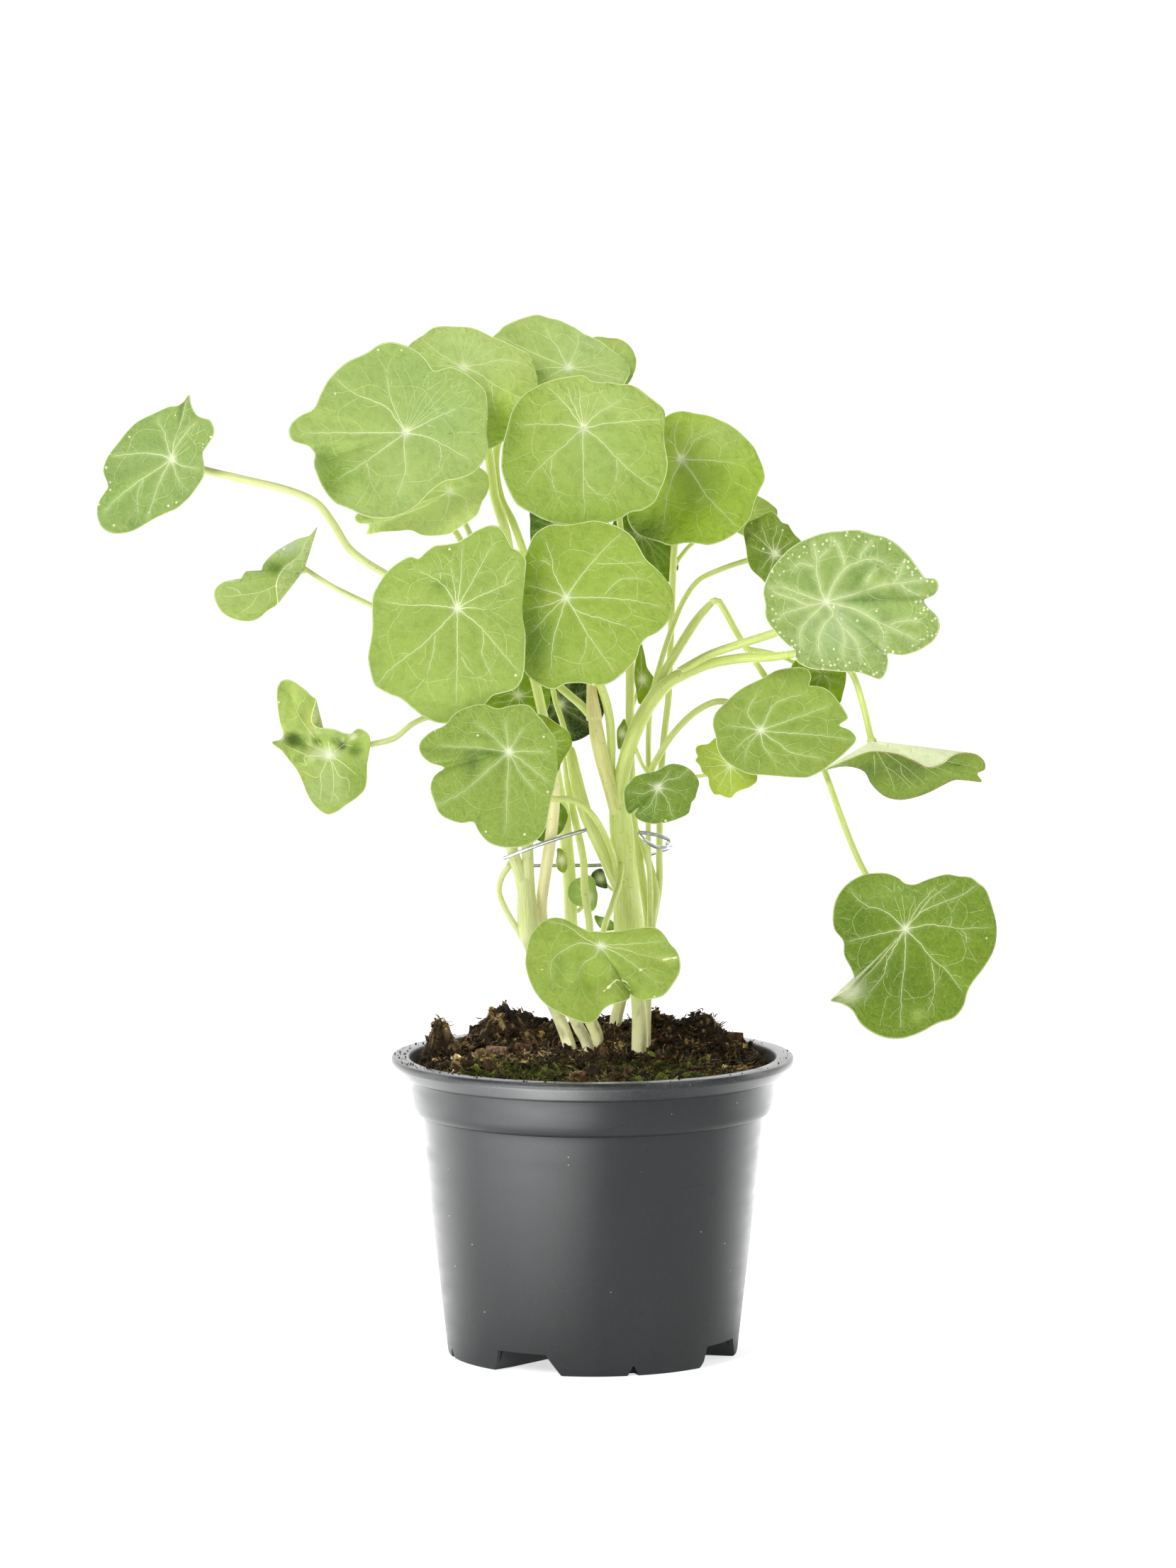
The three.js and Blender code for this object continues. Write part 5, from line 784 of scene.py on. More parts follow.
def cloud(tree, vector, scale, detail=3.0, rough=0.55):
    return node(tree, "ShaderNodeTexNoise", Vector=vector, Scale=scale, Detail=detail,
                Roughness=rough).outputs[0]


def grains(tree, vector, scale):
    """Scattered grains: the chance that each one drew, and how far it is to its middle."""
    cells = node(tree, "ShaderNodeTexVoronoi", Vector=vector, Scale=scale).outputs
    return node(tree, "ShaderNodeSeparateColor", Color=cells["Color"]).outputs[0], cells["Distance"]


def pinned(tree, name, output="Vector"):
    """A value stored on the mesh under that name."""
    return node(tree, "ShaderNodeAttribute", {"attribute_name": name}).outputs[output]


def place_of(tree):
    return node(tree, "ShaderNodeTexCoord").outputs["Object"]


def material_of(name, build):
    """A material whose surface one function fills in; it is handed the tree and the surface."""
    made = bpy.data.materials.new(name)
    made.use_nodes = True
    build(made.node_tree, made.node_tree.nodes["Principled BSDF"])
    return made


def skin_with_painted_glow(tree, surface, skin, layer, **inputs):
    """A skin with a painted glow in its own colour, as strong as the layer's fourth value says."""
    fill(tree, surface, Base_Color=skin, Emission_Color=skin,
         Emission_Strength=pinned(tree, layer, "Alpha"), **inputs)


def bumped(tree, surface, height, depth):
    fill(tree, surface, Normal=node(tree, "ShaderNodeBump", Height=height,
                                    Distance=depth).outputs[0])


print("node helpers ready")

# %% [markdown]
# ## The leaf's skin
#
# A nasturtium leaf is matte and slightly waxy. Between the big veins lies a net of ever finer
# ones, and the flesh bulges softly in every mesh of that net. Two cell patterns, one coarse and
# one fine, draw the net, and the coarse one also swells the bump so the cells look padded.
# On the upper face the creases between the pads are also painted darker, as painted shade.

# %% The net of fine veins, shared by both faces of a leaf
net = bpy.data.node_groups.new("fine_vein_net", "ShaderNodeTree")
net.interface.new_socket("Across", in_out="INPUT", socket_type="NodeSocketVector")
for label in ("Coarse", "Fine", "Pads", "Mottle"):
    net.interface.new_socket(label, in_out="OUTPUT", socket_type="NodeSocketFloat")
flat = net.nodes.new("NodeGroupInput").outputs[0]
wander = node(net, "ShaderNodeTexNoise", Vector=flat, Scale=0.3, Detail=2.0).outputs[1]
shifted = node(net, "ShaderNodeVectorMath", {"operation": "MULTIPLY_ADD"}, i0=wander,
               i1=(3.0, 3.0, 0.0), i2=flat).outputs[0]
coarse, fine = (node(net, "ShaderNodeTexVoronoi", {"feature": "DISTANCE_TO_EDGE"}, Vector=shifted,
                     Scale=scale).outputs["Distance"] for scale in (0.33, 0.85))
fill(net, net.nodes.new("NodeGroupOutput"),
     Coarse=span(net, coarse, 0.0, 0.035, 1.0, 0.0), Fine=span(net, fine, 0.0, 0.1, 1.0, 0.0),
     Pads=node(net, "ShaderNodeMapRange", {"interpolation_type": "SMOOTHSTEP"}, Value=coarse,
               From_Max=0.36).outputs["Result"], Mottle=cloud(net, flat, 0.3, 4.0))
print(net.name, "hands out", [item.name for item in net.interface.items_tree
                              if item.in_out == "OUTPUT"])

# %% [markdown]
# The two faces differ: the upper one is green with a grey bloom, and the underside is paler and
# shows the net more. A painted texture could do this. Colours pinned to the points and patterns
# worked out in the shader stay sharp from near by and give each leaf its own look.

# %% The upper face, the underside and the veins
def net_over(tree, across):
    return node(tree, "ShaderNodeGroup", {"node_tree": net}, Across=across).outputs


def leaf_top(tree, surface):
    across = pinned(tree, "blade")
    quilt, flecks, bloom = parts(tree, pinned(tree, "finish"))
    cells = net_over(tree, across)
    tone = pinned(tree, "tone", "Color")
    light = mix(tree, 0.55, tone, colour("e3f0a8"))
    dark = mix(tree, 1.0, tone, colour("c3cfa8"), "MULTIPLY")
    painted_crease_shade = maths(tree, "SUBTRACT", 1.0, cells["Pads"])
    grain = cloud(tree, across, 5.0, 3.0)
    dusty = cloud(tree, across, 0.9, 5.0, 0.7)
    chance, away = grains(tree, across, 0.8)
    fleck = times(tree, maths(tree, "LESS_THAN", chance, times(tree, flecks, 0.42)),
                  span(tree, away, 0.26, 0.42, 1, 0))
    skin = tone
    for amount, shade in (
            (span(tree, cells["Mottle"], 0.45, 0.75, 0.0, 0.5), dark),
            # painted shade in the creases between the padded cells
            (times(tree, painted_crease_shade, times(tree, quilt, 0.26)), dark),
            (times(tree, cells["Coarse"], 0.26), light),
            (times(tree, cells["Fine"], 0.13), light),
            (span(tree, grain, 0.4, 0.75, 0.0, 0.1), light),
            (times(tree, span(tree, dusty, 0.42, 0.68, 0.25, 1.0), bloom), colour("c4d6b4")),
            (times(tree, fleck, 0.85), colour("f6f8cc"))):
        skin = mix(tree, amount, skin, shade)
    skin_with_painted_glow(tree, surface, skin, "tone", Specular_IOR_Level=0.13,
                Roughness=span(tree, grain, 0.3, 0.7, 0.44, 0.58))
    height = plus(tree, times(tree, cells["Pads"], quilt), times(tree, cells["Fine"], -0.04))
    bumped(tree, surface, plus(tree, height, times(tree, grain, 0.05)), 0.00045)


def leaf_under(tree, surface):
    cells = net_over(tree, pinned(tree, "blade"))
    pale = colour("e4ebc4")
    skin = mix(tree, times(tree, cells["Coarse"], 0.45), pinned(tree, "under", "Color"), pale)
    skin = mix(tree, times(tree, cells["Fine"], 0.2), skin, pale)
    skin_with_painted_glow(tree, surface, skin, "under", Specular_IOR_Level=0.18,
                Roughness=span(tree, cells["Mottle"], 0.3, 0.7, 0.55, 0.7))
    bumped(tree, surface, cells["Pads"], 0.0003)


def leaf_vein(tree, surface):
    tone = pinned(tree, "tone", "Color")
    bold = parts(tree, pinned(tree, "finish"))[0]
    streak = cloud(tree, pinned(tree, "blade"), 2.5, 3.0)
    skin = mix(tree, span(tree, streak, 0.4, 0.75, 0.0, 0.35),
               mix(tree, bold, tone, colour("f6fbc4")), tone)
    skin_with_painted_glow(tree, surface, skin, "tone", Specular_IOR_Level=0.4,
                Roughness=span(tree, streak, 0.3, 0.7, 0.4, 0.55))
    bumped(tree, surface, streak, 0.00005)


LEAF_TOP = material_of("leaf_upper_face", leaf_top)
LEAF_UNDER = material_of("leaf_underside", leaf_under)
LEAF_VEIN = material_of("leaf_vein", leaf_vein)
print("made", LEAF_TOP.name, LEAF_UNDER.name, LEAF_VEIN.name)

# %% [markdown]
# ## The leaf blades
#
# The real blade is a thin, soft disc that dips a little at the joint and along each vein, and
# swells between the veins. So the outline is first drawn as a smooth closed curve, then filled
# with rings that shrink towards the joint. A spoke is a line from the joint to one point of the
# outline, and any spot on the blade is a spoke and a share of its length.

# %% Outlines
RING_STEPS = np.array([0, 0.03, 0.06, 0.1, 0.15, 0.2, 0.26, 0.32, 0.38, 0.44, 0.5, 0.56, 0.62,
                       0.68, 0.74, 0.8, 0.855, 0.905, 0.945, 0.975, 1.0])
SMALL_STEPS = np.array([0, 0.06, 0.15, 0.27, 0.4, 0.54, 0.68, 0.8, 0.9, 0.96, 1.0])


def outline(leaf):
    """The blade's edge as points of right, up and lift from the joint."""
    points = []
    for degrees, reach, *lift in read(leaf["rim"]):
        turn = math.radians(degrees)
        points.append((math.cos(turn) * reach, math.sin(turn) * reach, *(lift or [0.0])))
    return smooth(points, 4, closed=True)


def spoke_of(edge, across, up):
    """Which spoke of the outline a flat point lies on, and how far out along it."""
    turns = np.unwrap(np.arctan2(edge[:, 1], edge[:, 0]))
    turns = np.append(turns, turns[0] + FULL_TURN)
    turn = np.arctan2(up, across)
    turn = turn + FULL_TURN * np.ceil((turns[0] - turn) / FULL_TURN)
    spoke = np.interp(turn, turns, np.arange(len(turns)))
    reaches = np.hypot(edge[:, 0], edge[:, 1])
    return spoke, np.hypot(across, up) / np.interp(turn, turns, np.append(reaches, reaches[0]))


EDGES = {number: outline(leaf) for number, leaf in LEAVES.items()}
SIZES = {number: float(np.median(np.hypot(edge[:, 0], edge[:, 1])))
         for number, edge in EDGES.items()}
print("the blades reach", round(min(SIZES.values()), 1), "to", round(max(SIZES.values()), 1), "mm")

# %% [markdown]
# The main veins give a leaf its face, so the larger leaves have theirs written down. They could
# be painted on, but as lines they can later be raised into ridges that catch the light.

# %% Written veins
def read_veins(text):
    veins = []
    for entry in text.split(";"):
        entry = entry.strip()
        if entry[0] == "@":
            turn, reach = (float(v) for v in entry[1:].split())
            turn = math.radians(turn)
            tip = np.array([math.cos(turn), math.sin(turn)]) * reach
            veins.append(("fine", [(0, 0), tuple(tip * 0.5), tuple(tip)]))
        elif entry[0] in "/~":
            veins.append(("fork" if entry[0] == "/" else "scar", read(entry[1:])))
        else:
            veins.append(("main", [(0, 0)] + read(entry)))
    return veins


print(sum(len(read_veins(text)) for text in VEINS.values()), "written veins")

# %% [markdown]
# The smaller leaves aren't in that table, and no leaf has its smallest veins there. These follow
# the plant's own rules: twigs leave a vein on alternate sides, a main vein ends in a small fork,
# and loops near the edge join each one to the next. Each leaf has a seed of its own.

# %% Veins that grow by rule
def grown_veins(edge, rng, count):
    """Veins by rule, for a leaf without its own: spokes with a lazy bend."""
    veins = []
    start = rng.uniform(0, 1)
    for k in range(count):
        spoke = ((k + start + rng.uniform(-0.2, 0.2)) / count * len(edge)) % len(edge)
        tip = edge[int(spoke)][:2] * rng.uniform(0.78, 0.92)
        bend = square(tip) * rng.uniform(-0.09, 0.09)
        veins.append(("main", [(0, 0), tuple(tip * 0.4 + bend), tuple(tip * 0.75), tuple(tip)]))
    return veins


def twigs(veins, rng):
    """Small side veins that leave the longer ones on alternate sides."""
    made = []
    for kind, points in veins:
        if kind == "scar":
            continue
        curve = even(smooth(points, 6), 1.0)
        length = np.linalg.norm(curve[-1] - curve[0])
        if length < 9:
            continue
        hand = rng.choice((-1, 1))
        ahead = unit(curve[-1] - curve[0])
        for share in ((0.42, 0.6, 0.78) if kind == "main" else (0.55,)):
            hand = -hand
            spot = curve[int(share * (len(curve) - 1))]
            across = square(ahead) * hand
            reach = length * rng.uniform(0.2, 0.32) * (1.15 - share * 0.5)
            middle = spot + (ahead * 0.55 + across * 0.6) * reach * 0.6
            tip = middle + (ahead * rng.uniform(0.4, 0.9) + across * rng.uniform(0.1, 0.5)) \
                * reach * 0.6
            made.append(("twig", [tuple(spot), tuple(middle), tuple(tip)]))
    return made


def end_forks(edge, veins, rng):
    """The two short branches that a vein ends in, just short of the edge."""
    made = []
    for kind, points in veins:
        if kind in ("twig", "scar"):
            continue
        tip = np.array(points[-1], float)
        ahead = unit(tip - np.array(points[-2], float))
        _, out = spoke_of(edge, tip[:1], tip[1:])
        room = float((0.95 - out[0]) * np.linalg.norm(tip) / max(out[0], 0.1))
        if room < 1.2:
            continue
        for side in (-1, 1):
            across = square(ahead) * side * rng.uniform(0.35, 0.8)
            middle = tip + ahead * room * 0.35 + across * room * 0.22
            made.append(("twig", [tuple(tip), tuple(middle),
                                  tuple(tip + (ahead + across) * room * 0.8)]))
    return made


def arches(edge, veins, rng):
    """Loops near the edge that join each main vein to the next one."""
    tips = sorted((math.atan2(points[-1][1], points[-1][0]), points)
                  for kind, points in veins if kind == "main" and math.hypot(*points[-1]) > 8)
    made = []
    for (turn, one), (after, other) in zip(tips, tips[1:] + tips[:1]):
        gap = (after - turn) % FULL_TURN
        if not math.radians(16) < gap < math.radians(85):
            continue
        curves = [even(smooth(line, 6), 0.6) for line in (one, other)]
        ends = [curve[int(len(curve) * rng.uniform(0.6, 0.78))] for curve in curves]
        middle = turn + gap * rng.uniform(0.42, 0.58)
        flat = np.array([math.cos(middle), math.sin(middle)])
        _, out = spoke_of(edge, flat[:1], flat[1:])
        reach = 1 / out[0]
        crown = flat * min(reach * 0.86, 0.5 * (np.linalg.norm(ends[0]) + np.linalg.norm(ends[1]))
                           * rng.uniform(1.05, 1.2))
        stop = flat * reach * 0.94
        made.append(("twig", [tuple(ends[0]), tuple(crown), tuple(ends[1])]))
        made.append(("twig", [tuple(crown), tuple((crown + stop) / 2 + rng.uniform(-0.6, 0.6)),
                              tuple(stop)]))
    return made


def veins_of(number):
    """All the veins of a leaf; a folded leaf has its own in the table of folds."""
    rng = random.Random(100 + number)
    edge, size = EDGES[number], SIZES[number]
    if number in FOLDS:
        return []
    veins = read_veins(VEINS[number]) if number in VEINS else \
        grown_veins(edge, rng, 9 if size > 8 else 7 if size > 5 else 5)
    if size > 9:
        veins = veins + twigs(veins, rng) + end_forks(edge, veins, rng) + arches(edge, veins, rng)
    return veins


def vein_course(number, points):
    """A vein as evenly spaced flat points, with the small wobble of a grown line."""
    curve = even(smooth(points, 8), 0.9)
    wobble = np.array([noise.noise(Vector((p[0] * 0.7, p[1] * 0.7, number * 3.1))) for p in curve])
    start = np.minimum(1, np.arange(len(curve)) / 4)
    return curve + unit(square(np.gradient(curve, axis=0))) * (wobble * start * 0.35)[:, None]


COURSES = {number: [(kind, vein_course(number, points)) for kind, points in veins_of(number)]
           for number in LEAVES}
print(sum(len(lines) for lines in COURSES.values()), "veins laid out")

# %% [markdown]
# Each point of a blade is moved back or forward by the blade's lean and cup, by how near it is to
# a vein and by its dents. Its colour is the leaf's own green with its tints, some of them painted
# shade, paler beside the veins and almost white at the joint. A fourth value sets how strongly the
# blade glows in its own colour, as painted light.

# %% The curved surface of a blade
# the curled leaf has tints with firm edges, and the one with the boldest pattern wide halos
CURLED, PATTERNED = 10, 18
# a leaf that reaches this far in mm has the full relief, and smaller ones less
FULL_SIZE = 18
FAR_FROM_VEINS, OFF_THE_VEINS = 2.5, 9.0


def nearest_vein(number, across, up):
    """How far each flat point is from the nearest main vein or fork, in mm."""
    lines = [c for kind, c in COURSES[number] if kind in ("main", "fork")]
    if not lines:
        return np.full(np.shape(across), FAR_FROM_VEINS)
    spots = np.concatenate(lines)
    flat = np.stack([np.ravel(across), np.ravel(up)], -1)
    near = np.concatenate([np.min(np.linalg.norm(flat[i:i + 400, None] - spots[None], axis=2),
                                  axis=1) for i in range(0, len(flat), 400)])
    return near.reshape(np.shape(across))


def blade_places(number, spoke, out, near):
    """Places on the middle of a blade, from the spoke and how far out along it."""
    leaf, edge = LEAVES[number], EDGES[number]
    full = min(1, SIZES[number] / FULL_SIZE)
    low = np.floor(spoke).astype(int)
    rim = blend(edge[low % len(edge)], edge[(low + 1) % len(edge)], (spoke - low)[..., None])
    across, up = rim[..., 0] * out, rim[..., 1] * out
    reach = np.hypot(rim[..., 0], rim[..., 1])
    swell = 0.35 * full * (1 - np.exp(-(near / 2.3) ** 2)) * (1 - out ** 6 * 0.6)
    wave = 0.3 * full * np.sin(across * 0.23 + number) * np.sin(up * 0.19 + 2 * number)
    dip = 0.55 * full * np.exp(-((reach * out) / 2.2) ** 2)
    back = leaf["at"][2] + leaf["lean"][0] * across + leaf["lean"][1] * up \
        - (leaf["cup"] * reach + rim[..., 2]) * out ** 2 - swell - wave * out + dip
    for *spot, depth in read(DENTS.get(number, "0 0 1 1 0")):
        back = back + depth * soft_spot(across, up, *spot)
    return place(np.stack([leaf["at"][0] + across, leaf["at"][1] + up, back], -1)), across, up


def facing(number, across, up):
    """Which way the blade's upper face looks at each flat point."""
    lean, cup = LEAVES[number]["lean"], LEAVES[number]["cup"]
    return unit(np.stack([lean[0] - 2 * cup * across / SIZES[number], np.full(len(across), -1.0),
                          lean[1] - 2 * cup * up / SIZES[number]], -1))


def tone_of(number, across, up, near):
    """Green at each point, with tints and painted shade, vein halo, pale joint and painted glow."""
    tone = np.broadcast_to(colour(LEAVES[number]["colour"]), np.shape(across) + (3,))
    for entry in TINTS_AND_PAINTED_SHADE[number].split(",") if number in TINTS_AND_PAINTED_SHADE else []:
        *spot, code, strength = entry.split()
        x, z, wide, high = (float(v) for v in spot)
        away = ((across - x) / wide) ** 2 + ((up - z) / high) ** 2
        amount = float(strength) * np.exp(-away ** (2 if number == CURLED else 1))
        tone = blend(tone, colour(code), amount[..., None])
    halo = HALO.get(number, 0.14) * np.exp(-(near / (1.2 if number == PATTERNED else 0.9)) ** 2)
    tone = blend(tone, colour("d6e8a4"), halo[..., None])
    star = STAR.get(number, 0.92) * np.exp(-(np.hypot(across, up) / 1.45) ** 2)
    tone = blend(tone, colour("f8fbe0"), star[..., None])
    # the fourth value is the painted glow
    return np.concatenate([tone, np.full(np.shape(across) + (1,), PAINTED_GLOW.get(number, 0.0))], -1)


def marks_of(number, across, up, near, out):
    """What is pinned to a blade's points: greens with painted shade and glow, pattern, finish."""
    tone = tone_of(number, across, up, near)
    under = blend(tone, np.append(colour("d9e0b6"), 0), LEAVES[number].get("under", 0.4))
    # the underside's painted glow
    under[..., 3] = UNDER_PAINTED_GLOW.get(number, 0.05)
    quilt, specks, bloom = FINISH.get(number, (0.25, 0.02, 0.0))
    shape = np.shape(across)
    finish = np.stack([quilt * (0.14 + out ** 3),
                       specks * (0.05 + 0.95 * np.clip((out - 0.78) * 8, 0, 1)),
                       np.full(shape, bloom)], -1)
    return {"tone": tone, "under": under, "finish": finish,
            "blade": np.stack([across, up, np.full(shape, number * 7.0)], -1)}


spans = np.ptp(blade_places(4, np.arange(8.0), np.ones(8), np.ones(8))[0], axis=0)
print("leaf 4 spans", np.round(spans * 1000, 1), "mm over eight spokes")

# %% [markdown]
# A vein stands out of both faces as a low ridge with six corners. The bare edge of the blade is
# such a ridge too, pulled once round the leaf. A scar is a ridge with a ragged outline.

# %% Vein ridges
THICK = 0.5 * MM
UPPER, LOWER, VEINED = 0, 1, 2
# how wide each kind of vein is in mm, and what share of that it loses on its way
KINDS = {"main": (0.42, 0.68), "fork": (0.28, 0.55), "fine": (0.19, 0.5), "twig": (0.13, 0.35),
         "scar": (0.75, 0), "rim": (0.26, 0)}


def half_thickness(out):
    return THICK / 2 * (1.15 - 0.55 * out ** 4)


def vein_ridge(mesh, number, kind, spoke, out, near):
    """A low ridge along a line of spokes and shares."""
    middle, across, up = blade_places(number, spoke, out, near)
    face = facing(number, across, up)
    side = unit(np.cross(unit(np.gradient(middle, axis=0)), face))
    share = np.linspace(0, 1, len(middle))
    width, loss = KINDS[kind]
    wide = width * MM * (0.45 + 0.55 * min(1, SIZES[number] / 20)) / 2 * (1 - loss * share) \
        * np.minimum(1, np.minimum(share, 1 - share) * 14 + 0.02)
    wide[0] = wide[-1] = 0
    stand = (half_thickness(out) + 0.03 * MM) * (wide > 0)
    ridge = 0.1 * MM * (1 - 0.6 * share) * (wide > 0)
    w, s, r = side * wide[:, None], stand[:, None] * face, ridge[:, None] * face
    rings = np.stack([middle + w + s, middle + s + r, middle - w + s,
                      middle - w - s, middle - s - r * 1.6, middle + w - s], 1)
    marks = marks_of(number, across, up, np.full(len(across), OFF_THE_VEINS), out)
    bold = 0.9 if kind == "scar" else BOLD.get(number, 0.7)
    marks["finish"] = np.full((len(across), 3), bold)
    if kind == "rim" and number in EDGED:
        marks["tone"] = blend(marks["tone"], np.append(colour(EDGED[number]), 0), 0.5)
        marks["finish"] = marks["finish"] * 0.2
    if kind == "scar":
        ragged = np.array([noise.noise(Vector((x * 1.9, z * 1.9, 3.0)))
                           for x, z in zip(across, up)])
        rings = middle[:, None] + (rings - middle[:, None]) * (1 + 0.7 * ragged)[:, None, None]
    for face in roll(mesh, rings, {name: np.repeat(mark[:, None], 6, 1)
                                   for name, mark in marks.items()}):
        face.material_index = VEINED


def fold_veins(number):
    """The veins of a rolled leaf as kind and a path of spoke and share."""
    for entry in FOLDS[number].split(";") if number in FOLDS else []:
        entry = entry.strip()
        points = [(spoke * 4, share) for spoke, share in read(entry.lstrip("/"))]
        yield "fork" if entry[0] == "/" else "main", smooth(points, 6)


print(sum(len(list(fold_veins(number))) for number in LEAVES), "veins on the rolled leaves")

# %% [markdown]
# The skin is doubled: one copy of each point moves forward along its normal and one moves back,
# and less so near the edge, where a blade is thinner. The materials follow the faces.

# %% Blades with their thickness
VEIN_END, RIM_LINE = 0.985, 0.992


def edge_share(edge, flat):
    """How far out a flat point lies, roughly, as a share of the blade's reach there."""
    reach = math.hypot(flat[0], flat[1])
    if reach < 1e-6:
        return 0.0
    turns = np.arctan2(edge[:, 1], edge[:, 0])
    best = np.argmin(np.abs(np.angle(np.exp(1j * (turns - math.atan2(flat[1], flat[0]))))))
    return reach / math.hypot(edge[best, 0], edge[best, 1])


def thicken(mesh, edge):
    """Gives the flat skin two faces, the upper one towards the viewer, and a closed rim."""
    bmesh.ops.recalc_face_normals(mesh, faces=mesh.faces)
    if sum(face.normal.y * face.calc_area() for face in mesh.faces) > 0:
        bmesh.ops.reverse_faces(mesh, faces=mesh.faces)
    mesh.normal_update()
    mesh.verts.ensure_lookup_table()
    key, flat = mesh.verts.layers.int["key"], mesh.verts.layers.float_vector["blade"]
    normals = []
    for i, vert in enumerate(mesh.verts):
        vert[key] = i
        normals.append(vert.normal * float(half_thickness(min(edge_share(edge, vert[flat]), 1))))
    upper = list(mesh.verts)
    made = bmesh.ops.extrude_face_region(mesh, geom=list(mesh.faces), use_keep_orig=True)["geom"]
    lower = {item for item in made if isinstance(item, bmesh.types.BMVert)}
    for vert in upper:
        vert.co += normals[vert[key]]
    for vert in lower:
        vert.co -= normals[vert[key]]
    for face in mesh.faces:
        count = sum(vert in lower for vert in face.verts)
        face.material_index = UPPER if count == 0 else LOWER if count == len(face.verts) else VEINED


def make_leaf(number):
    edge = EDGES[number]
    spokes = np.arange(len(edge), dtype=float)
    steps = RING_STEPS if len(edge) > 90 else SMALL_STEPS
    out, spoke = np.meshgrid(steps, spokes, indexing="ij")
    near = nearest_vein(number, edge[:, 0] * out, edge[:, 1] * out)
    places, across, up = blade_places(number, spoke, out, near)
    mesh = layered("tone", "under", "blade", "finish")
    mesh.verts.layers.int.new("key")
    roll(mesh, places, marks_of(number, across, up, near, out))
    thicken(mesh, edge)
    for kind, course in COURSES[number]:
        spoke, out = spoke_of(edge, course[:, 0], course[:, 1])
        near = nearest_vein(number, course[:, 0], course[:, 1])
        vein_ridge(mesh, number, kind, spoke, np.minimum(out, VEIN_END), near)
    for kind, path in fold_veins(number):
        vein_ridge(mesh, number, kind, path[:, 0] % len(edge), path[:, 1],
                   np.full(len(path), FAR_FROM_VEINS))
    lap = np.append(spokes, 0.0)
    ring = np.full(len(lap), RIM_LINE)
    near = nearest_vein(number, edge[lap.astype(int), 0] * ring, edge[lap.astype(int), 1] * ring)
    vein_ridge(mesh, number, "rim", lap, ring, near)
    piece = finish_mesh(f"leaf_blade_{number:02d}", mesh, [LEAF_TOP, LEAF_UNDER, LEAF_VEIN])
    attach(piece, "root")
    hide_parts(f"leaf_{number:02d}")
    return piece


blades = [make_leaf(number) for number in LEAVES]
print(len(blades), "blades,", sum(triangles(*blades)), "triangles, the largest",
      max(triangles(*blades)))

# %% [markdown]
# ## The stems
#
# Nasturtium stems are smooth, hollow and nearly see-through, so they look pale, with fine streaks
# along them and a little brown where they meet the soil. A stem is a ring pulled along its curve,
# a little wider where it leaves another stem and where the leaf sits on it. A thick stem starts
# thin, hidden inside the feet that it grows from.

# %% The stem's skin
def stem_skin(tree, surface):
    skin = pinned(tree, "skin")
    tone = pinned(tree, "tone", "Color")
    streaks = cloud(tree, scaled(tree, skin, (1.6, 1.6, 0.055)), 2.4, 5.0)
    fine = cloud(tree, scaled(tree, skin, (6.0, 6.0, 0.2)), 2.0, 3.0)
    tint = mix(tree, span(tree, streaks, 0.38, 0.68, 0.0, 0.5), tone, colour("edf2c4"))
    tint = mix(tree, span(tree, fine, 0.45, 0.72, 0.0, 0.35), tint,
               mix(tree, 1.0, tone, colour("b9c96a"), "MULTIPLY"))
    chance, away = grains(tree, place_of(tree), 900.0)
    dots = times(tree, maths(tree, "GREATER_THAN", chance, 0.93),
                 span(tree, away, 0.12, 0.3, 0.55, 0))
    skin_with_painted_glow(tree, surface, mix(tree, dots, tint, colour("8a7a3c")), "tone",
                Specular_IOR_Level=0.35, Roughness=span(tree, fine, 0.3, 0.7, 0.28, 0.44))
    bumped(tree, surface, streaks, 0.00012)


STEM_SKIN = material_of("stem_skin", stem_skin)
# the olive is painted shade on the right side of a stem's foot
ROOT_PALE, SHADE_OLIVE, ROOT_BROWN, STEM_PINK = (
    colour(code) for code in ("fdf5cc", "93893f", "8d7440", "d9b98c"))
print("made", STEM_SKIN.name)

# %% [markdown]
# A stem is green above, almost white just over the soil, and brown with stains where it meets the
# soil. On the pale foot the right side and the far left edge turn olive, as painted shade. Every
# stem also glows a little in its own colour, and the foot's left side more, as painted light. The
# colour follows the height of each point and how far round the stem it lies, so it is worked out
# point by point, with some noise for ragged stains, and pinned to the skin.

# %% The stem's colours
FOOT_LOW, FOOT_HIGH = 100, 122  # mm; a foot is pale up to the first and green from the second
STAIN_AT = 92
TAN_LOW, TAN_HIGH = 168, 200


def rise(value, low, length):
    """0 up to a value, 1 from so far beyond it, and a straight slope between."""
    return np.clip((value - low) / length, 0, 1)


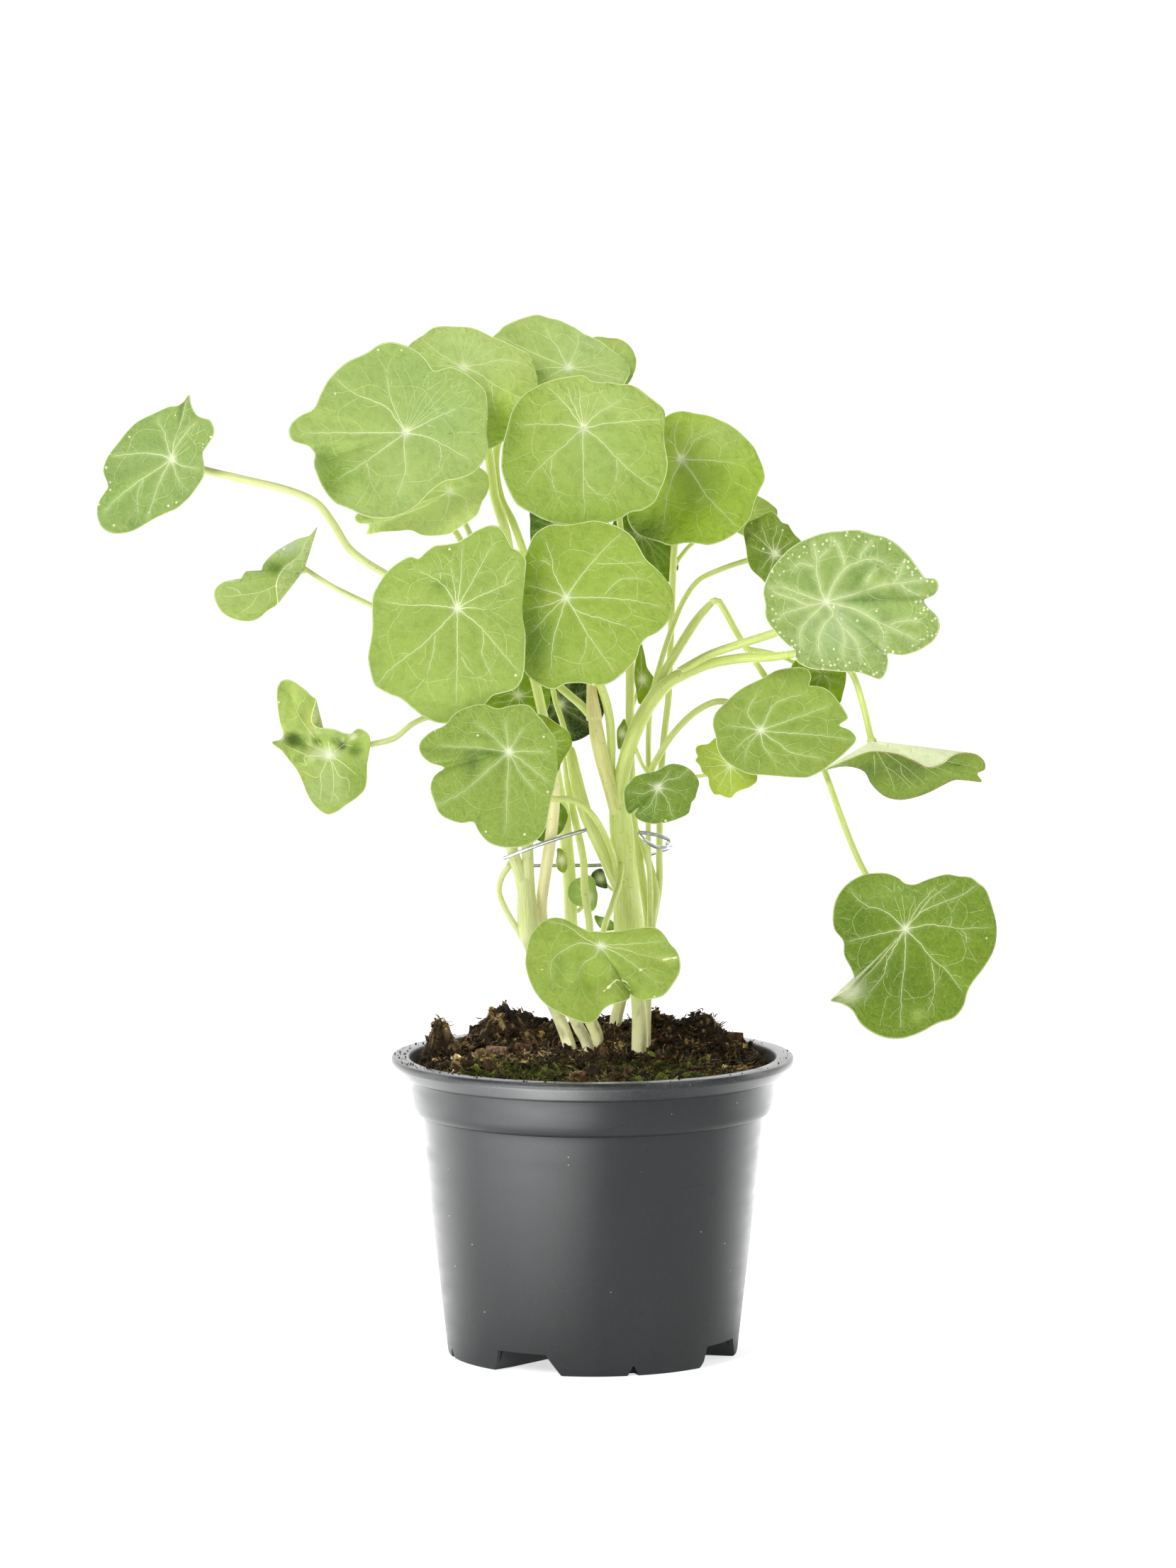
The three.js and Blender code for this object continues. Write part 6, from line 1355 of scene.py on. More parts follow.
def stem_tone(base, spots, radius, tan):
    """Each point's colour, its painted glow last: brown in the soil, pale above it, then green."""
    z = spots[..., 2] / MM
    side = (spots[..., 0] - spots[..., 0].mean(1, keepdims=True)) / (radius * MM)
    foot = 1 - rise(z, FOOT_LOW, FOOT_HIGH - FOOT_LOW)
    tone = blend(base, np.minimum(base * 0.2 + ROOT_PALE * 0.85, 0.95), foot[..., None])
    # painted shade: the foot's right side and its far left edge turn olive
    painted_side_shade = foot * 0.72 * (rise(side, 0.15, 0.6) + np.clip((-side - 0.75) * 2, 0, 0.5))
    tone = blend(tone, SHADE_OLIVE, painted_side_shade[..., None])
    ragged = np.array([noise.fractal(Vector(spot) * 260, 0.8, 2.2, 3)
                       for spot in spots.reshape(-1, 3)]).reshape(z.shape)
    soiled = np.clip(np.exp(-((z - STAIN_AT) / 6) ** 2) * 0.4
                     + foot * np.clip(ragged - 0.12, 0, 0.5) * 1.7, 0, 0.8)
    tone = blend(tone, ROOT_BROWN, soiled[..., None])
    if tan:
        share = rise(z, TAN_LOW, 12) * (0.35 + 0.3 * rise(z, TAN_HIGH, 10))
        tone = blend(tone, STEM_PINK, share[..., None])
    # painted light: every stem glows a little, and the foot's left side more
    glow = 0.13 + 0.3 * foot * np.clip((0.5 - side) / 0.4, 0, 1)
    return np.concatenate([tone, glow[..., None]], -1)


leafy = stem_tone(colour("c4d368"), place([[(-1, 110, 0), (1, 110, 0)]]), 1, False)[0, 0]
print("a stem's foot has the colour", np.round(leafy[:3], 2), "and the glow", round(leafy[3], 2))

# %% [markdown]
# Real stalks swell under the leaf and at each knot, and are never perfectly even. A curve with a
# bevel gives a tube quickly, but this way each route has its own list of radii, and the skin can
# carry colours. Rings of points are laid along the route and rolled into a tube.

# %% Stems and stalks along their routes
STEM_STEP = 1.5
TRUNK_R, TRUNK_TAPER = 2.5, 13


def joint_of(number):
    """The place of a leaf's joint and the direction out of its underside."""
    zero = np.zeros(1)
    return blade_places(number, zero, zero, zero)[0][0], -facing(number, zero, zero)[0]


def stem_radii(route, curve, order):
    """The radius along a route: knots, a swelling or a point at its end, a taper at its start."""
    length = STEM_STEP * np.arange(len(curve))
    left = length[-1] - length
    wobble = np.array([noise.noise(Vector(p * 60) + Vector((order, 0, 0))) for p in curve])
    radius = np.full(len(curve), route["r"]) * MM * (1 + 0.05 * wobble)
    for spot, extra, spread in read(route.get("knots", "0 0 1")):
        radius = radius + extra * MM * np.exp(-((length - spot) / spread) ** 2)
    if route.get("leaf"):
        radius = radius * (1 + 0.45 * np.exp(-(left / 2.2) ** 2))
    else:
        radius = radius * (0.7 + 0.3 * np.clip(left / 11, 0, 1) ** 0.7)
        radius = radius * np.sqrt(1 - np.clip(1 - left / (route["r"] * 1.3), 0, 0.97) ** 2)
    if route["r"] > TRUNK_R:
        grown = np.clip(length / TRUNK_TAPER, 0, 1)
        return length, radius * (0.56 + 0.44 * grown * grown * (3 - 2 * grown))
    if not route.get("root"):
        radius = radius * (1 + 0.12 * np.exp(-(length / 6) ** 2))
    return length, radius


def make_stem(name, stem):
    mesh = layered("tone", "skin")
    for order, route in enumerate(stem["routes"]):
        points = list(place(read(route["path"])))
        if route.get("leaf"):
            centre, under = joint_of(route["leaf"])
            points += [centre + under * away * MM for away in (5, 2.5, 0.15)]
        curve = even(smooth(points, 8), STEM_STEP * MM)
        length, radius = stem_radii(route, curve, order)
        r = route["r"]
        sides = 18 if r > 1.8 else 14 if r > 0.8 else 10
        rings = closed_tube(curve, radius, sides)
        turns = np.linspace(0, FULL_TURN, sides, endpoint=False)
        along = np.concatenate([[0], length, [length[-1]]])[:, None] + 40 * order
        skin = np.stack(np.broadcast_arrays(np.cos(turns) * r, np.sin(turns) * r, along), -1)
        roll(mesh, rings, {"skin": skin, "tone": stem_tone(colour(stem["colour"]), rings, r,
                                                           route.get("tan"))})
    piece = finish_mesh(name + "_skin", mesh, [STEM_SKIN])
    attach(piece, "root")
    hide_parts(name)
    return piece


stems = [make_stem(name, stem) for name, stem in STEMS.items()]
print("the stems have", triangles(*stems), "triangles")

# %% [markdown]
# ## The pot
#
# Nursery pots are vacuum-formed or moulded from thin dark plastic. The wall leans out a little so
# that pots stack, a collar stiffens the top, and a flared lip gives the fingers a hold. Four wide
# channels under the base let water out. The wall's section is drawn once and spun round, and the
# channels and small slits are cut out.

# %% The pot's plastic
SPECKS = ((260.0, 0.98, 0.07, "e9e6dc"), (520.0, 0.985, 0.13, "cfcabc"),
          (190.0, 0.975, 0.1, "14110d"), (700.0, 0.985, 0.25, "191512"))


def pot_plastic(tree, surface):
    """Dark plastic with dust under the lip, painted shade inside it and a few pale specks."""
    where = place_of(tree)
    height = parts(tree, where)[2]
    radius = vector_maths(tree, "LENGTH", scaled(tree, where, (1.0, 1.0, 0.0)))
    cloudy = cloud(tree, scaled(tree, where, (1.0, 1.0, 0.35)), 28.0, 3.0)
    base = mix(tree, span(tree, cloudy, 0.35, 0.7), colour("272a2b"), colour("2d3032"))
    film = span(tree, cloud(tree, where, 900.0, 5.0, 0.7), 0.5, 0.75)
    upper = span(tree, height, 0.0885, 0.0975, 0.04, 0.26)
    base = mix(tree, times(tree, film, upper), base, colour("8d8a82"))
    # painted shade: the inner wall between the soil and the lip is darkened, and made rougher
    inner_wall_shade = times(tree, span(tree, radius, 0.0589, 0.0597, 1.0, 0.0),
                    span(tree, height, 0.0915, 0.0925))
    base = mix(tree, times(tree, inner_wall_shade, 0.85), base, colour("1c1610"))
    for scale, least, near, code in SPECKS:
        chance, away = grains(tree, where, scale)
        dot = times(tree, maths(tree, "GREATER_THAN", chance, least),
                    span(tree, away, near * 0.6, near, 1.0, 0.0))
        base = mix(tree, times(tree, dot, 0.85), base, colour(code))
    rub = cloud(tree, scaled(tree, where, (1.0, 1.0, 5.0)), 45.0, 4.0)
    rough = plus(tree, span(tree, rub, 0.3, 0.7, 0.27, 0.35), times(tree, film, 0.05))
    fill(tree, surface, Base_Color=base, Specular_IOR_Level=0.55,
         Roughness=plus(tree, rough, times(tree, inner_wall_shade, 0.6)))
    rings = cloud(tree, scaled(tree, where, (0.02, 0.02, 1.0)), 1100.0, 2.0)
    bumped(tree, surface, plus(tree, times(tree, rings, 0.4), cloud(tree, where, 1500.0, 2.0)),
           0.000012)


POT_PLASTIC = material_of("pot_plastic", pot_plastic)
print("made", POT_PLASTIC.name)

# %% [markdown]
# The wall, the collar and the lip are one thin round skin. Stacked cylinders would leave seams,
# so a closed section with all its ledges is spun once. Cuts with other bodies then open the
# channels, because their leaning sides cross the round wall.

# %% The pot's wall, spun from its section
POT_SECTION = read("""
    0 0, 44 0, 46.2 0, 46.8 .25, 47 1, 47.1 1.6, 51.3 39, 55.4 76.2, 55.5 77.6, 55.7 78.4,
    56.8 78.9, 57.6 79.6, 58.2 80.9, 58.5 82.2, 58.62 85, 58.72 87.7, 58.8 89.3, 58.9 90,
    59.2 90.3, 60.7 90.7, 61.2 91, 61.6 91.4, 64.5 94.4, 64.9 94.8, 65 95.2, 65 96.3, 64.85 96.8,
    64.5 97, 60.2 97, 59.5 96.8, 58.8 96, 57.3 94.2, 57.1 93.4, 57.1 84.2, 56.4 80.2, 54.1 77,
    45.6 2.6, 45 2, 0 2""")
POT_STEPS = 176


def spun(section, steps):
    """A closed body spun from a section of radius and height in mm."""
    mesh = bmesh.new()
    points = [mesh.verts.new((r * MM, 0, z * MM)) for r, z in section]
    edges = [mesh.edges.new(pair) for pair in zip(points, points[1:])]
    bmesh.ops.spin(mesh, geom=points + edges, cent=(0, 0, 0), axis=(0, 0, 1),
                   angle=FULL_TURN, steps=steps, use_merge=True)
    bmesh.ops.remove_doubles(mesh, verts=mesh.verts, dist=1e-6)
    return mesh


def wedge(mesh, turn, inner, outer, low, high, spread_low, spread_high, roof=0.0):
    """An upright wedge between two radii, its sides leaning between two half-angles."""
    for vert in bmesh.ops.create_cube(mesh, size=2)["verts"]:
        x, y, z = vert.co
        radius = outer if y > 0 else inner
        height = (high + (roof if y > 0 else 0)) if z > 0 else low
        angle = math.radians(turn - 90) + math.radians(spread_high if z > 0 else spread_low) * x
        vert.co = (math.cos(angle) * radius * MM, math.sin(angle) * radius * MM, height * MM)


def cut(body, cutter, operation):
    """Joins or cuts with another body, and keeps the result as plain mesh."""
    tool = body.modifiers.new("tool", "BOOLEAN")
    tool.object, tool.operation, tool.solver = cutter, operation, "EXACT"
    done = bpy.data.meshes.new_from_object(
        body.evaluated_get(bpy.context.evaluated_depsgraph_get()))
    body.modifiers.clear()
    body.data = done
    bpy.data.objects.remove(cutter)


pot = finish_mesh("pot_wall", spun(POT_SECTION, POT_STEPS), [POT_PLASTIC])
roofs, channels = bmesh.new(), bmesh.new()
for turn in (-29, 61, 151, 241):
    wedge(roofs, turn, 18, 46.2, 1.6, 8.5, 16, 15)
    wedge(channels, turn, 20, 66, -5, 6.5, 18.4, 10.4, roof=0.6)
for turn in (16, 106, 196, 286):
    wedge(channels, turn, 42, 52, -1.2, 3.2, 3.2, 0.25)
cut(pot, finish_mesh("roofs", roofs, []), "UNION")
cut(pot, finish_mesh("channels", channels, []), "DIFFERENCE")
welded = bmesh.new()
welded.from_mesh(pot.data)
bmesh.ops.remove_doubles(welded, verts=welded.verts, dist=2e-6)
welded.to_mesh(pot.data)
welded.free()
pot.data.materials.clear()
pot.data.materials.append(POT_PLASTIC)
pot.data.polygons.foreach_set("use_smooth", [True] * len(pot.data.polygons))
pot.data.set_sharp_from_angle(angle=math.radians(34))
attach(pot, "root")
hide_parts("pot")
print("the pot has", *triangles(pot), "triangles")

# %% [markdown]
# ## The soil
#
# Potting compost is peat: dark, springy crumbs bound by fibres, paler where it has dried, with
# bits of bark and moss on top. A smooth mound would look like chocolate, so the mound is only the
# bed. Over it lie a few thousand crumbs, thin fibres, moss and a few wood chips.

# %% The shape of the heap
# each lump: right and back from the pot's middle, height and spread in mm
LUMPS = read("""
    -32 24 12.5 7.8, -51.5 13 20 5.6, -22 29 7.5 7, -11 32 5.5 7, 38 32 10 13, 20 42 8 10,
    2 42 6 11, 9 15 6 6.5, 4 14 4 5, 51 12 4 8, -14 -26 2.5 10, -38 -24 2.5 9, 26 -26 2 12,
    -41 5 -3.5 6, -54 2 -2 5, 20 10 -2 6""")
SOIL_R = 56.7
WALL_R = 57.2
SOIL_LEVEL = 93.2


def soil_height(x, y):
    """The height of the soil in mm, without its roughness."""
    reach = math.hypot(x, y) / WALL_R
    z = SOIL_LEVEL + 4 * (1 - reach ** 3)
    for middle_x, middle_y, height, spread in LUMPS:
        away = math.hypot(x - middle_x, y - middle_y) / spread
        z += height * math.exp(-away * away) * min(1, 6 * (1.02 - reach))
    return z + 1.9 * math.exp(-((1 - reach) / 0.1) ** 2)


def rough_height(x, y):
    """The same with its clods and hollows."""
    spot = Vector((x, y, 5.0))
    smooth_z = soil_height(x, y)
    clods = noise.fractal(spot * 0.17, 0.9, 2.1, 4) * (2.0 + 0.12 * max(0, smooth_z - 97))
    crumbs = noise.fractal(spot * 0.6 + Vector((9, 3, 1)), 0.7, 2.2, 3) * 1.1
    inside = min(1.0, max(0.0, (SOIL_R - math.hypot(x, y)) / 4))
    return smooth_z + (clods + crumbs) * (0.35 + 0.65 * inside) - (1 - inside) * 0.8


print("the soil's highest point is", round(max(rough_height(x, y) for x in range(-50, 51, 2)
                                              for y in range(-10, 51, 2)), 1), "mm up")

# %% [markdown]
# Wet peat is nearly black, drying peat brown and gold, and moss greens the damp front. One shader
# serves everything in the soil. It reads a tone pinned to the points, and `peat_tone` picks that
# tone by place and by chance.

# %% The soil's colours
def peat(tree, surface):
    where = place_of(tree)
    tone = pinned(tree, "tone", "Color")
    patch = cloud(tree, where, 700.0, 6.0, 0.75)
    fine = cloud(tree, where, 2600.0, 4.0, 0.75)
    tint = mix(tree, span(tree, patch, 0.38, 0.6, 0.0, 0.85), tone,
               mix(tree, 1.0, tone, colour("6b5b49"), "MULTIPLY"))
    tint = mix(tree, span(tree, fine, 0.55, 0.75, 0.0, 0.45), tint, colour("8a7148"))
    fill(tree, surface, Base_Color=tint, Specular_IOR_Level=0.3,
         Roughness=span(tree, patch, 0.3, 0.7, 0.7, 0.95))
    bumped(tree, surface, plus(tree, patch, times(tree, fine, 0.6)), 0.0009)


PEAT = material_of("peat", peat)
DARK_PEAT, BROWN_PEAT, GOLD_PEAT, TAN_PEAT, MOSSY_PEAT = (
    colour(code) for code in ("1b140d", "574028", "967a40", "dcc392", "76802f"))


def peat_tone(x, y, rng):
    """The colour of a crumb at a spot: mostly dark, golden on the dry lumps, green in front."""
    tone = blend(DARK_PEAT, BROWN_PEAT, rng.random())
    damp = noise.fractal(Vector((x, y, 2.0)) * 0.22, 0.8, 2.0, 3)
    dry = 0.95 * soft_spot(x, y, -47, 18, 8, 9) + 0.14 * soft_spot(x, y, -32, 22, 11, 12) \
        + 0.4 * soft_spot(x, y, -30, -12, 16, 16) + 0.1
    moss = 0.95 * soft_spot(x, y, -26, -42, 22, 15) + 0.8 * soft_spot(x, y, 20, -38, 24, 15)
    if rng.random() < dry * (1 + 1.6 * damp):
        share = rng.random()
        tone = GOLD_PEAT * (1 - share) + TAN_PEAT * share * rng.uniform(0.6, 1.0)
    if rng.random() < moss * 0.7 * (1 - damp):
        tone = MOSSY_PEAT * rng.uniform(0.35, 1.0)
    shaded = 1 - 0.75 * soft_spot(x, y, -40, 6, 7, 7)
    return np.append(tone * (1.6 + 1.0 * damp) * shaded, 1)


print("made", PEAT.name)

# %% [markdown]
# The bed is a round grid that follows the heap and is closed below along the pot's inner wall. It
# only shows where the crumbs leave gaps, so a fine grid with two sizes of noise is enough.

# %% The bed of soil
ROWS, COLUMNS = 84, 220
rng = random.Random(11)
turns = [FULL_TURN * k / COLUMNS for k in range(COLUMNS)]
rows, tones = [], []
for r in np.linspace(0, SOIL_R, ROWS):
    spots = [(math.cos(turn) * r, math.sin(turn) * r) for turn in turns]
    rows.append([(x * MM, y * MM, rough_height(x, y) * MM) for x, y in spots])
    tones.append([peat_tone(x, y, rng) * 0.8 for x, y in spots])
for r, z in ((SOIL_R, 84.5), (53.6, 77), (45.7, 9.2), (0, 9.2)):
    rows.append([(math.cos(turn) * r * MM, math.sin(turn) * r * MM, z * MM) for turn in turns])
    tones.append([np.append(DARK_PEAT, 1)] * COLUMNS)
bed = layered("tone")
roll(bed, np.array(rows), {"tone": np.array(tones)})
soil = finish_mesh("soil_bed", bed, [PEAT])
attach(soil, "root")
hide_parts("soil")
print("the bed has", *triangles(soil), "triangles")

# %% [markdown]
# Crumbs come in all sizes, many small and a few large. Copies of one crumb would be lighter but
# all alike, so each is its own small ball, squashed, turned and dented by its own seed. They are
# made in batches, because one large mesh gets slow to add to.

# %% Thousands of crumbs
def scatter(name, count, batch, add, smooth_faces=True):
    """Makes many small things, a batch at a time, and joins them into one piece."""
    whole = layered("tone")
    for start in range(0, count, batch):
        part = layered("tone")
        for k in range(start, min(count, start + batch)):
            add(part, k)
        held = bpy.data.meshes.new("held")
        part.to_mesh(held)
        part.free()
        whole.from_mesh(held)
        bpy.data.meshes.remove(held)
    piece = finish_mesh(name, whole, [PEAT], smooth_faces)
    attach(piece, "root")
    return piece


def random_spot(rng, reach=SOIL_R - 0.8):
    r = reach * math.sqrt(rng.random())
    turn = rng.uniform(0, FULL_TURN)
    return r * math.cos(turn), r * math.sin(turn)


def add_crumb(part, k):
    rng = random.Random(5000 + k)
    x, y = random_spot(rng)
    if y > 0 and rng.random() < 0.25:
        y = -y
    size = min(1.9, 0.4 * rng.paretovariate(2.3))
    low = max(0.0, 1 - (SOIL_R - math.hypot(x, y)) / 3)
    centre = Vector((x, y, rough_height(x, y) + size * rng.uniform(-0.1, 0.7) - low * 0.5)) * MM
    squash = Vector((rng.uniform(0.5, 1.7), rng.uniform(0.5, 1.4), rng.uniform(0.25, 0.9)))
    made = bmesh.ops.create_icosphere(part, subdivisions=2 if size > 1.1 else 1,
                                      radius=size * MM)["verts"]
    turned = Matrix.Rotation(rng.uniform(0, 6.28), 3, Vector((rng.gauss(0, 1), rng.gauss(0, 1), 1)))
    tone = peat_tone(x, y, rng) * rng.uniform(0.5, 1.7)
    layer = part.verts.layers.float_color["tone"]
    for vert in made:
        dent = max(0.35, 1 + rng.gauss(0, 0.34))
        local = vert.co * dent
        vert.co = centre + turned @ Vector(local[i] * squash[i] for i in range(3))
        # painted shade and light: points pushed into a crumb are darker, points pushed out lighter
        vert[layer] = (*tone[:3] * min(1.6, 0.35 + 0.65 * dent * dent), 1)


crumbs = scatter("soil_crumbs", 4600, 80, add_crumb, smooth_faces=False)
print("the crumbs have", *triangles(crumbs), "triangles")

# %% [markdown]
# Peat is full of root threads, moss stands up from it in short tufts, and bits of straw lie flat.
# All three are thin bent tubes with three or four sides. They differ in place, lean and colour.

# %% Fibres, moss and straw
def bent_rod(part, start, heading, length, radius, rng, tone, droop=0.6, sides=3):
    """A thin fibre that wanders from a point; all in mm."""
    points = [Vector(start)]
    heading = heading.normalized()
    for _ in range(3):
        heading = (heading + Vector((rng.gauss(0, 0.35), rng.gauss(0, 0.35),
                                     rng.gauss(-0.1 * droop, 0.25)))).normalized()
        points.append(points[-1] + heading * length / 3)
    curve = smooth([tuple(p * MM) for p in points], 2)
    radii = radius * MM * np.sin(np.linspace(0.5, math.pi - 0.15, len(curve)))
    rings = tube_places(curve, radii, sides)
    roll(part, rings, {"tone": np.broadcast_to(tone, rings.shape[:2] + (4,))})


def add_fibre(part, k):
    rng = random.Random(9000 + k)
    x, y = random_spot(rng)
    if y > 5 and rng.random() < 0.3:
        y = -y
    z = rough_height(x, y)
    heading = Vector((rng.gauss(0, 1), rng.gauss(0, 1), rng.uniform(-0.1, 0.9)))
    tone = peat_tone(x, y, rng) * rng.uniform(0.9, 1.9)
    if rng.random() < 0.2:
        tone = np.append(TAN_PEAT * rng.uniform(0.5, 1.0), 1)
    bent_rod(part, (x, y, z + rng.uniform(0, 0.8)), heading, rng.uniform(1.0, 3.6),
             rng.uniform(0.1, 0.3), rng, tone)


def add_moss(part, k):
    rng = random.Random(14000 + k)
    if rng.random() < 0.6:
        x, y = rng.gauss(-27, 15), rng.gauss(-41, 8)
    else:
        x, y = rng.gauss(22, 15), rng.gauss(-38, 9)
    if math.hypot(x, y) > SOIL_R - 1:
        x, y = x * 0.7, y * 0.7
    heading = Vector((rng.gauss(0, 0.7), rng.gauss(0, 0.7), 1))
    tone = colour(rng.choice(("66722a", "93963c", "4f5720", "aaa652", "5a7a28")))
    bent_rod(part, (x, y, rough_height(x, y)), heading, rng.uniform(1.2, 3.2),
             rng.uniform(0.09, 0.2), rng, np.append(tone, 1))


def add_straw(part, k):
    rng = random.Random(21000 + k)
    x, y = (rng.gauss(44, 6), rng.gauss(-24, 5)) if k % 3 else random_spot(rng, 50)
    y = -abs(y)
    heading = Vector((1, rng.gauss(0, 0.5), rng.uniform(-0.05, 0.25)))
    tone = colour(rng.choice(("cdb98a", "b79f6b", "a98f5e")))
    bent_rod(part, (x, y, rough_height(x, y) + 0.8), heading, rng.uniform(4, 9),
             rng.uniform(0.12, 0.24), rng, np.append(tone, 1), droop=0.1, sides=4)


fibres = scatter("soil_fibres", 5200, 60, add_fibre)
moss = scatter("soil_moss", 1500, 60, add_moss)
straw = scatter("soil_straw", 42, 42, add_straw)
print("fibres, moss and straw have", triangles(fibres, moss, straw), "triangles")

# %% [markdown]
# Bark chips are flat and splintery, so bevelled boxes with a slight bend do for them. A few tiny
# crumbs lie on the lip, as always when a pot has been filled.

# %% Wood chips, and crumbs on the pot's lip
# each chip: right, back, turn, length, thickness, height over the soil and colour
CHIPS = ((-30.5, 4, 6, 8, 2.2, 2.4, "e0b6a0"), (-22.5, 3, 9, 5.5, 2.2, 2.4, "98705a"),
         (8, -30, -35, 3.5, 1, 1.2, "8f6a48"), (33, -36, 20, 4, 1, 1.2, "b08a5c"),
         (-8, -44, 15, 3.2, 1, 1.2, "96704e"))
LIP_TOP = 97


def add_chip(part, k):
    rng = random.Random(31000 + k)
    x, y, turn, long, thick, above, code = CHIPS[k]
    turned = Matrix.Rotation(math.radians(turn), 4, "Z") \
        @ Matrix.Rotation(rng.uniform(-.1, .25), 4, "Y")
    bmesh.ops.create_cube(part, size=1)
    bmesh.ops.bevel(part, geom=list(part.edges), offset=0.12, segments=1, profile=0.5,
                    affect="EDGES", material=-1)
    layer = part.verts.layers.float_color["tone"]
    for vert in part.verts:
        flat = Vector((vert.co.x * long, vert.co.y * 2.2, vert.co.z * thick))
        flat.y += 0.3 * math.sin(flat.x)
        vert.co = (turned @ flat + Vector((x, y, rough_height(x, y) + above))) * MM
        vert[layer] = (*colour(code), 1)


def add_lip_crumb(part, k):
    rng = random.Random(41000 + k)
    turn = rng.uniform(0, FULL_TURN) if k % 2 else math.radians(rng.gauss(195, 25))
    r = rng.uniform(60.5, 64.2)
    size = min(0.34, 0.11 * rng.paretovariate(1.9))
    centre = Vector((math.cos(turn) * r, math.sin(turn) * r, LIP_TOP + size * 0.5)) * MM
    tone = colour(rng.choice(("2a1d15", "6b5134", "c9b68c", "4b3424")))
    layer = part.verts.layers.float_color["tone"]
    for vert in bmesh.ops.create_icosphere(part, subdivisions=1, radius=size * MM)["verts"]:
        dent = 1 + 0.5 * noise.noise(vert.co / MM * 2 + Vector((k, 0, 0)))
        vert.co = vert.co * dent + centre
        vert[layer] = (*tone, 1)


chips = scatter("wood_chips", len(CHIPS), 1, add_chip)
lip_crumbs = scatter("lip_crumbs", 150, 50, add_lip_crumb)
print("chips and lip crumbs have", triangles(chips, lip_crumbs), "triangles")

# %% [markdown]
# ## The wire tie
#
# A grower pulls a length of galvanised wire round the stems so that they don't flop apart. Zinc
# is bright but not polished, with a faint frosty bloom.

# %% The wire
WIRE_R, WIRE_SIDES = 0.62 * MM, 14


def zinc(tree, surface):
    bloom = cloud(tree, place_of(tree), 700.0, 4.0)
    fill(tree, surface, Metallic=1.0, Roughness=span(tree, bloom, 0.3, 0.7, 0.28, 0.45),
         Base_Color=mix(tree, span(tree, bloom, 0.35, 0.7), colour("d2d5d6"), colour("a5a9ab")))
    bumped(tree, surface, bloom, 0.00003)


route = even(smooth(place(read(WIRE)), 10), 0.8 * MM)
thick = np.full(len(route), WIRE_R)
thick[:2] *= (0.6, 0.95)
thick[-2:] *= (0.95, 0.6)
tie_mesh = bmesh.new()
roll(tie_mesh, closed_tube(route, thick, WIRE_SIDES))
tie = finish_mesh("wire_tie_round", tie_mesh, [material_of("galvanised_wire", zinc)])
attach(tie, "root")
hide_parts("wire_tie")
print("the wire has", *triangles(tie), "triangles")

# %% [markdown]
# ## Floor, light and camera
#
# The plant stands on a sheet of pale paper that curves up behind it, so that no horizon shows.
#
# Smooth dark plastic shows what it mirrors more than its own colour. So the floor glows evenly,
# except for mirrored rays. They meet bright patches, as if white cards lay round the pot. One card
# is seen by the underside of the lip alone: the slant and the length of a mirrored ray tell how
# high up it started.

# %% The floor and its curve up
def paper(tree, surface):
    where = place_of(tree)
    spread = parts(tree, where)
    flat = node(tree, "ShaderNodeCombineXYZ", X=spread[0], Y=spread[1]).outputs[0]
    reach = vector_maths(tree, "LENGTH", flat)
    toward = vector_maths(tree, "NORMALIZE", flat)
    front_left, back, front, lip_side = (
        vector_maths(tree, "DOT_PRODUCT", toward, (x, y, 0.0))
        for x, y in ((-0.62, -0.785), (-0.25, 0.97), (-0.41, -0.912), (-0.545, -0.839)))
    near_card = times(tree, span(tree, reach, 0.06, 0.36, 0.06, 1.2),
                      span(tree, front_left, 0.72, 1.0, 0.0, 4.2))
    band = times(tree, span(tree, reach, 0.5, 0.72), span(tree, reach, 0.9, 1.4, 1.0, 0.2))
    far_card = times(tree, band, span(tree, front, 0.84, 0.99, 0.0, 11.0))
    back_card = times(tree, span(tree, back, -0.3, 0.6, 0.0, 2.5),
                      span(tree, reach, 0.05, 0.36, 0.45, 1.1))
    glow = times(tree, span(tree, reach, 0.5, 0.9, 1.0, 0.55),
                 plus(tree, plus(tree, near_card, far_card), back_card))
    path = node(tree, "ShaderNodeLightPath").outputs
    slant = node(tree, "ShaderNodeLayerWeight").outputs["Facing"]
    height = times(tree, path["Ray Length"], maths(tree, "SUBTRACT", 1.0, slant))
    from_lip = times(tree, span(tree, slant, 0.3, 0.55, 1.0, 0.0),
                     span(tree, height, 0.0875, 0.09))
    lip_card = plus(tree, span(tree, lip_side, 0.45, 0.8, 0.0, 2.0),
                    span(tree, lip_side, 0.85, 0.98, 0.0, 4.8))
    strength = node(tree, "ShaderNodeMix", {"data_type": "FLOAT"}, i0=path["Is Glossy Ray"],
                    i2=0.66, i3=plus(tree, glow, times(tree, lip_card, from_lip))).outputs[0]
    fibre = span(tree, cloud(tree, where, 60.0, 4.0), 0.3, 0.7)
    fill(tree, surface, Roughness=0.9, Specular_IOR_Level=0.1, Emission_Color=(1, 1, 1),
         Base_Color=mix(tree, fibre, colour("f6f6f6"), colour("f5f5f5")),
         Emission_Strength=strength)


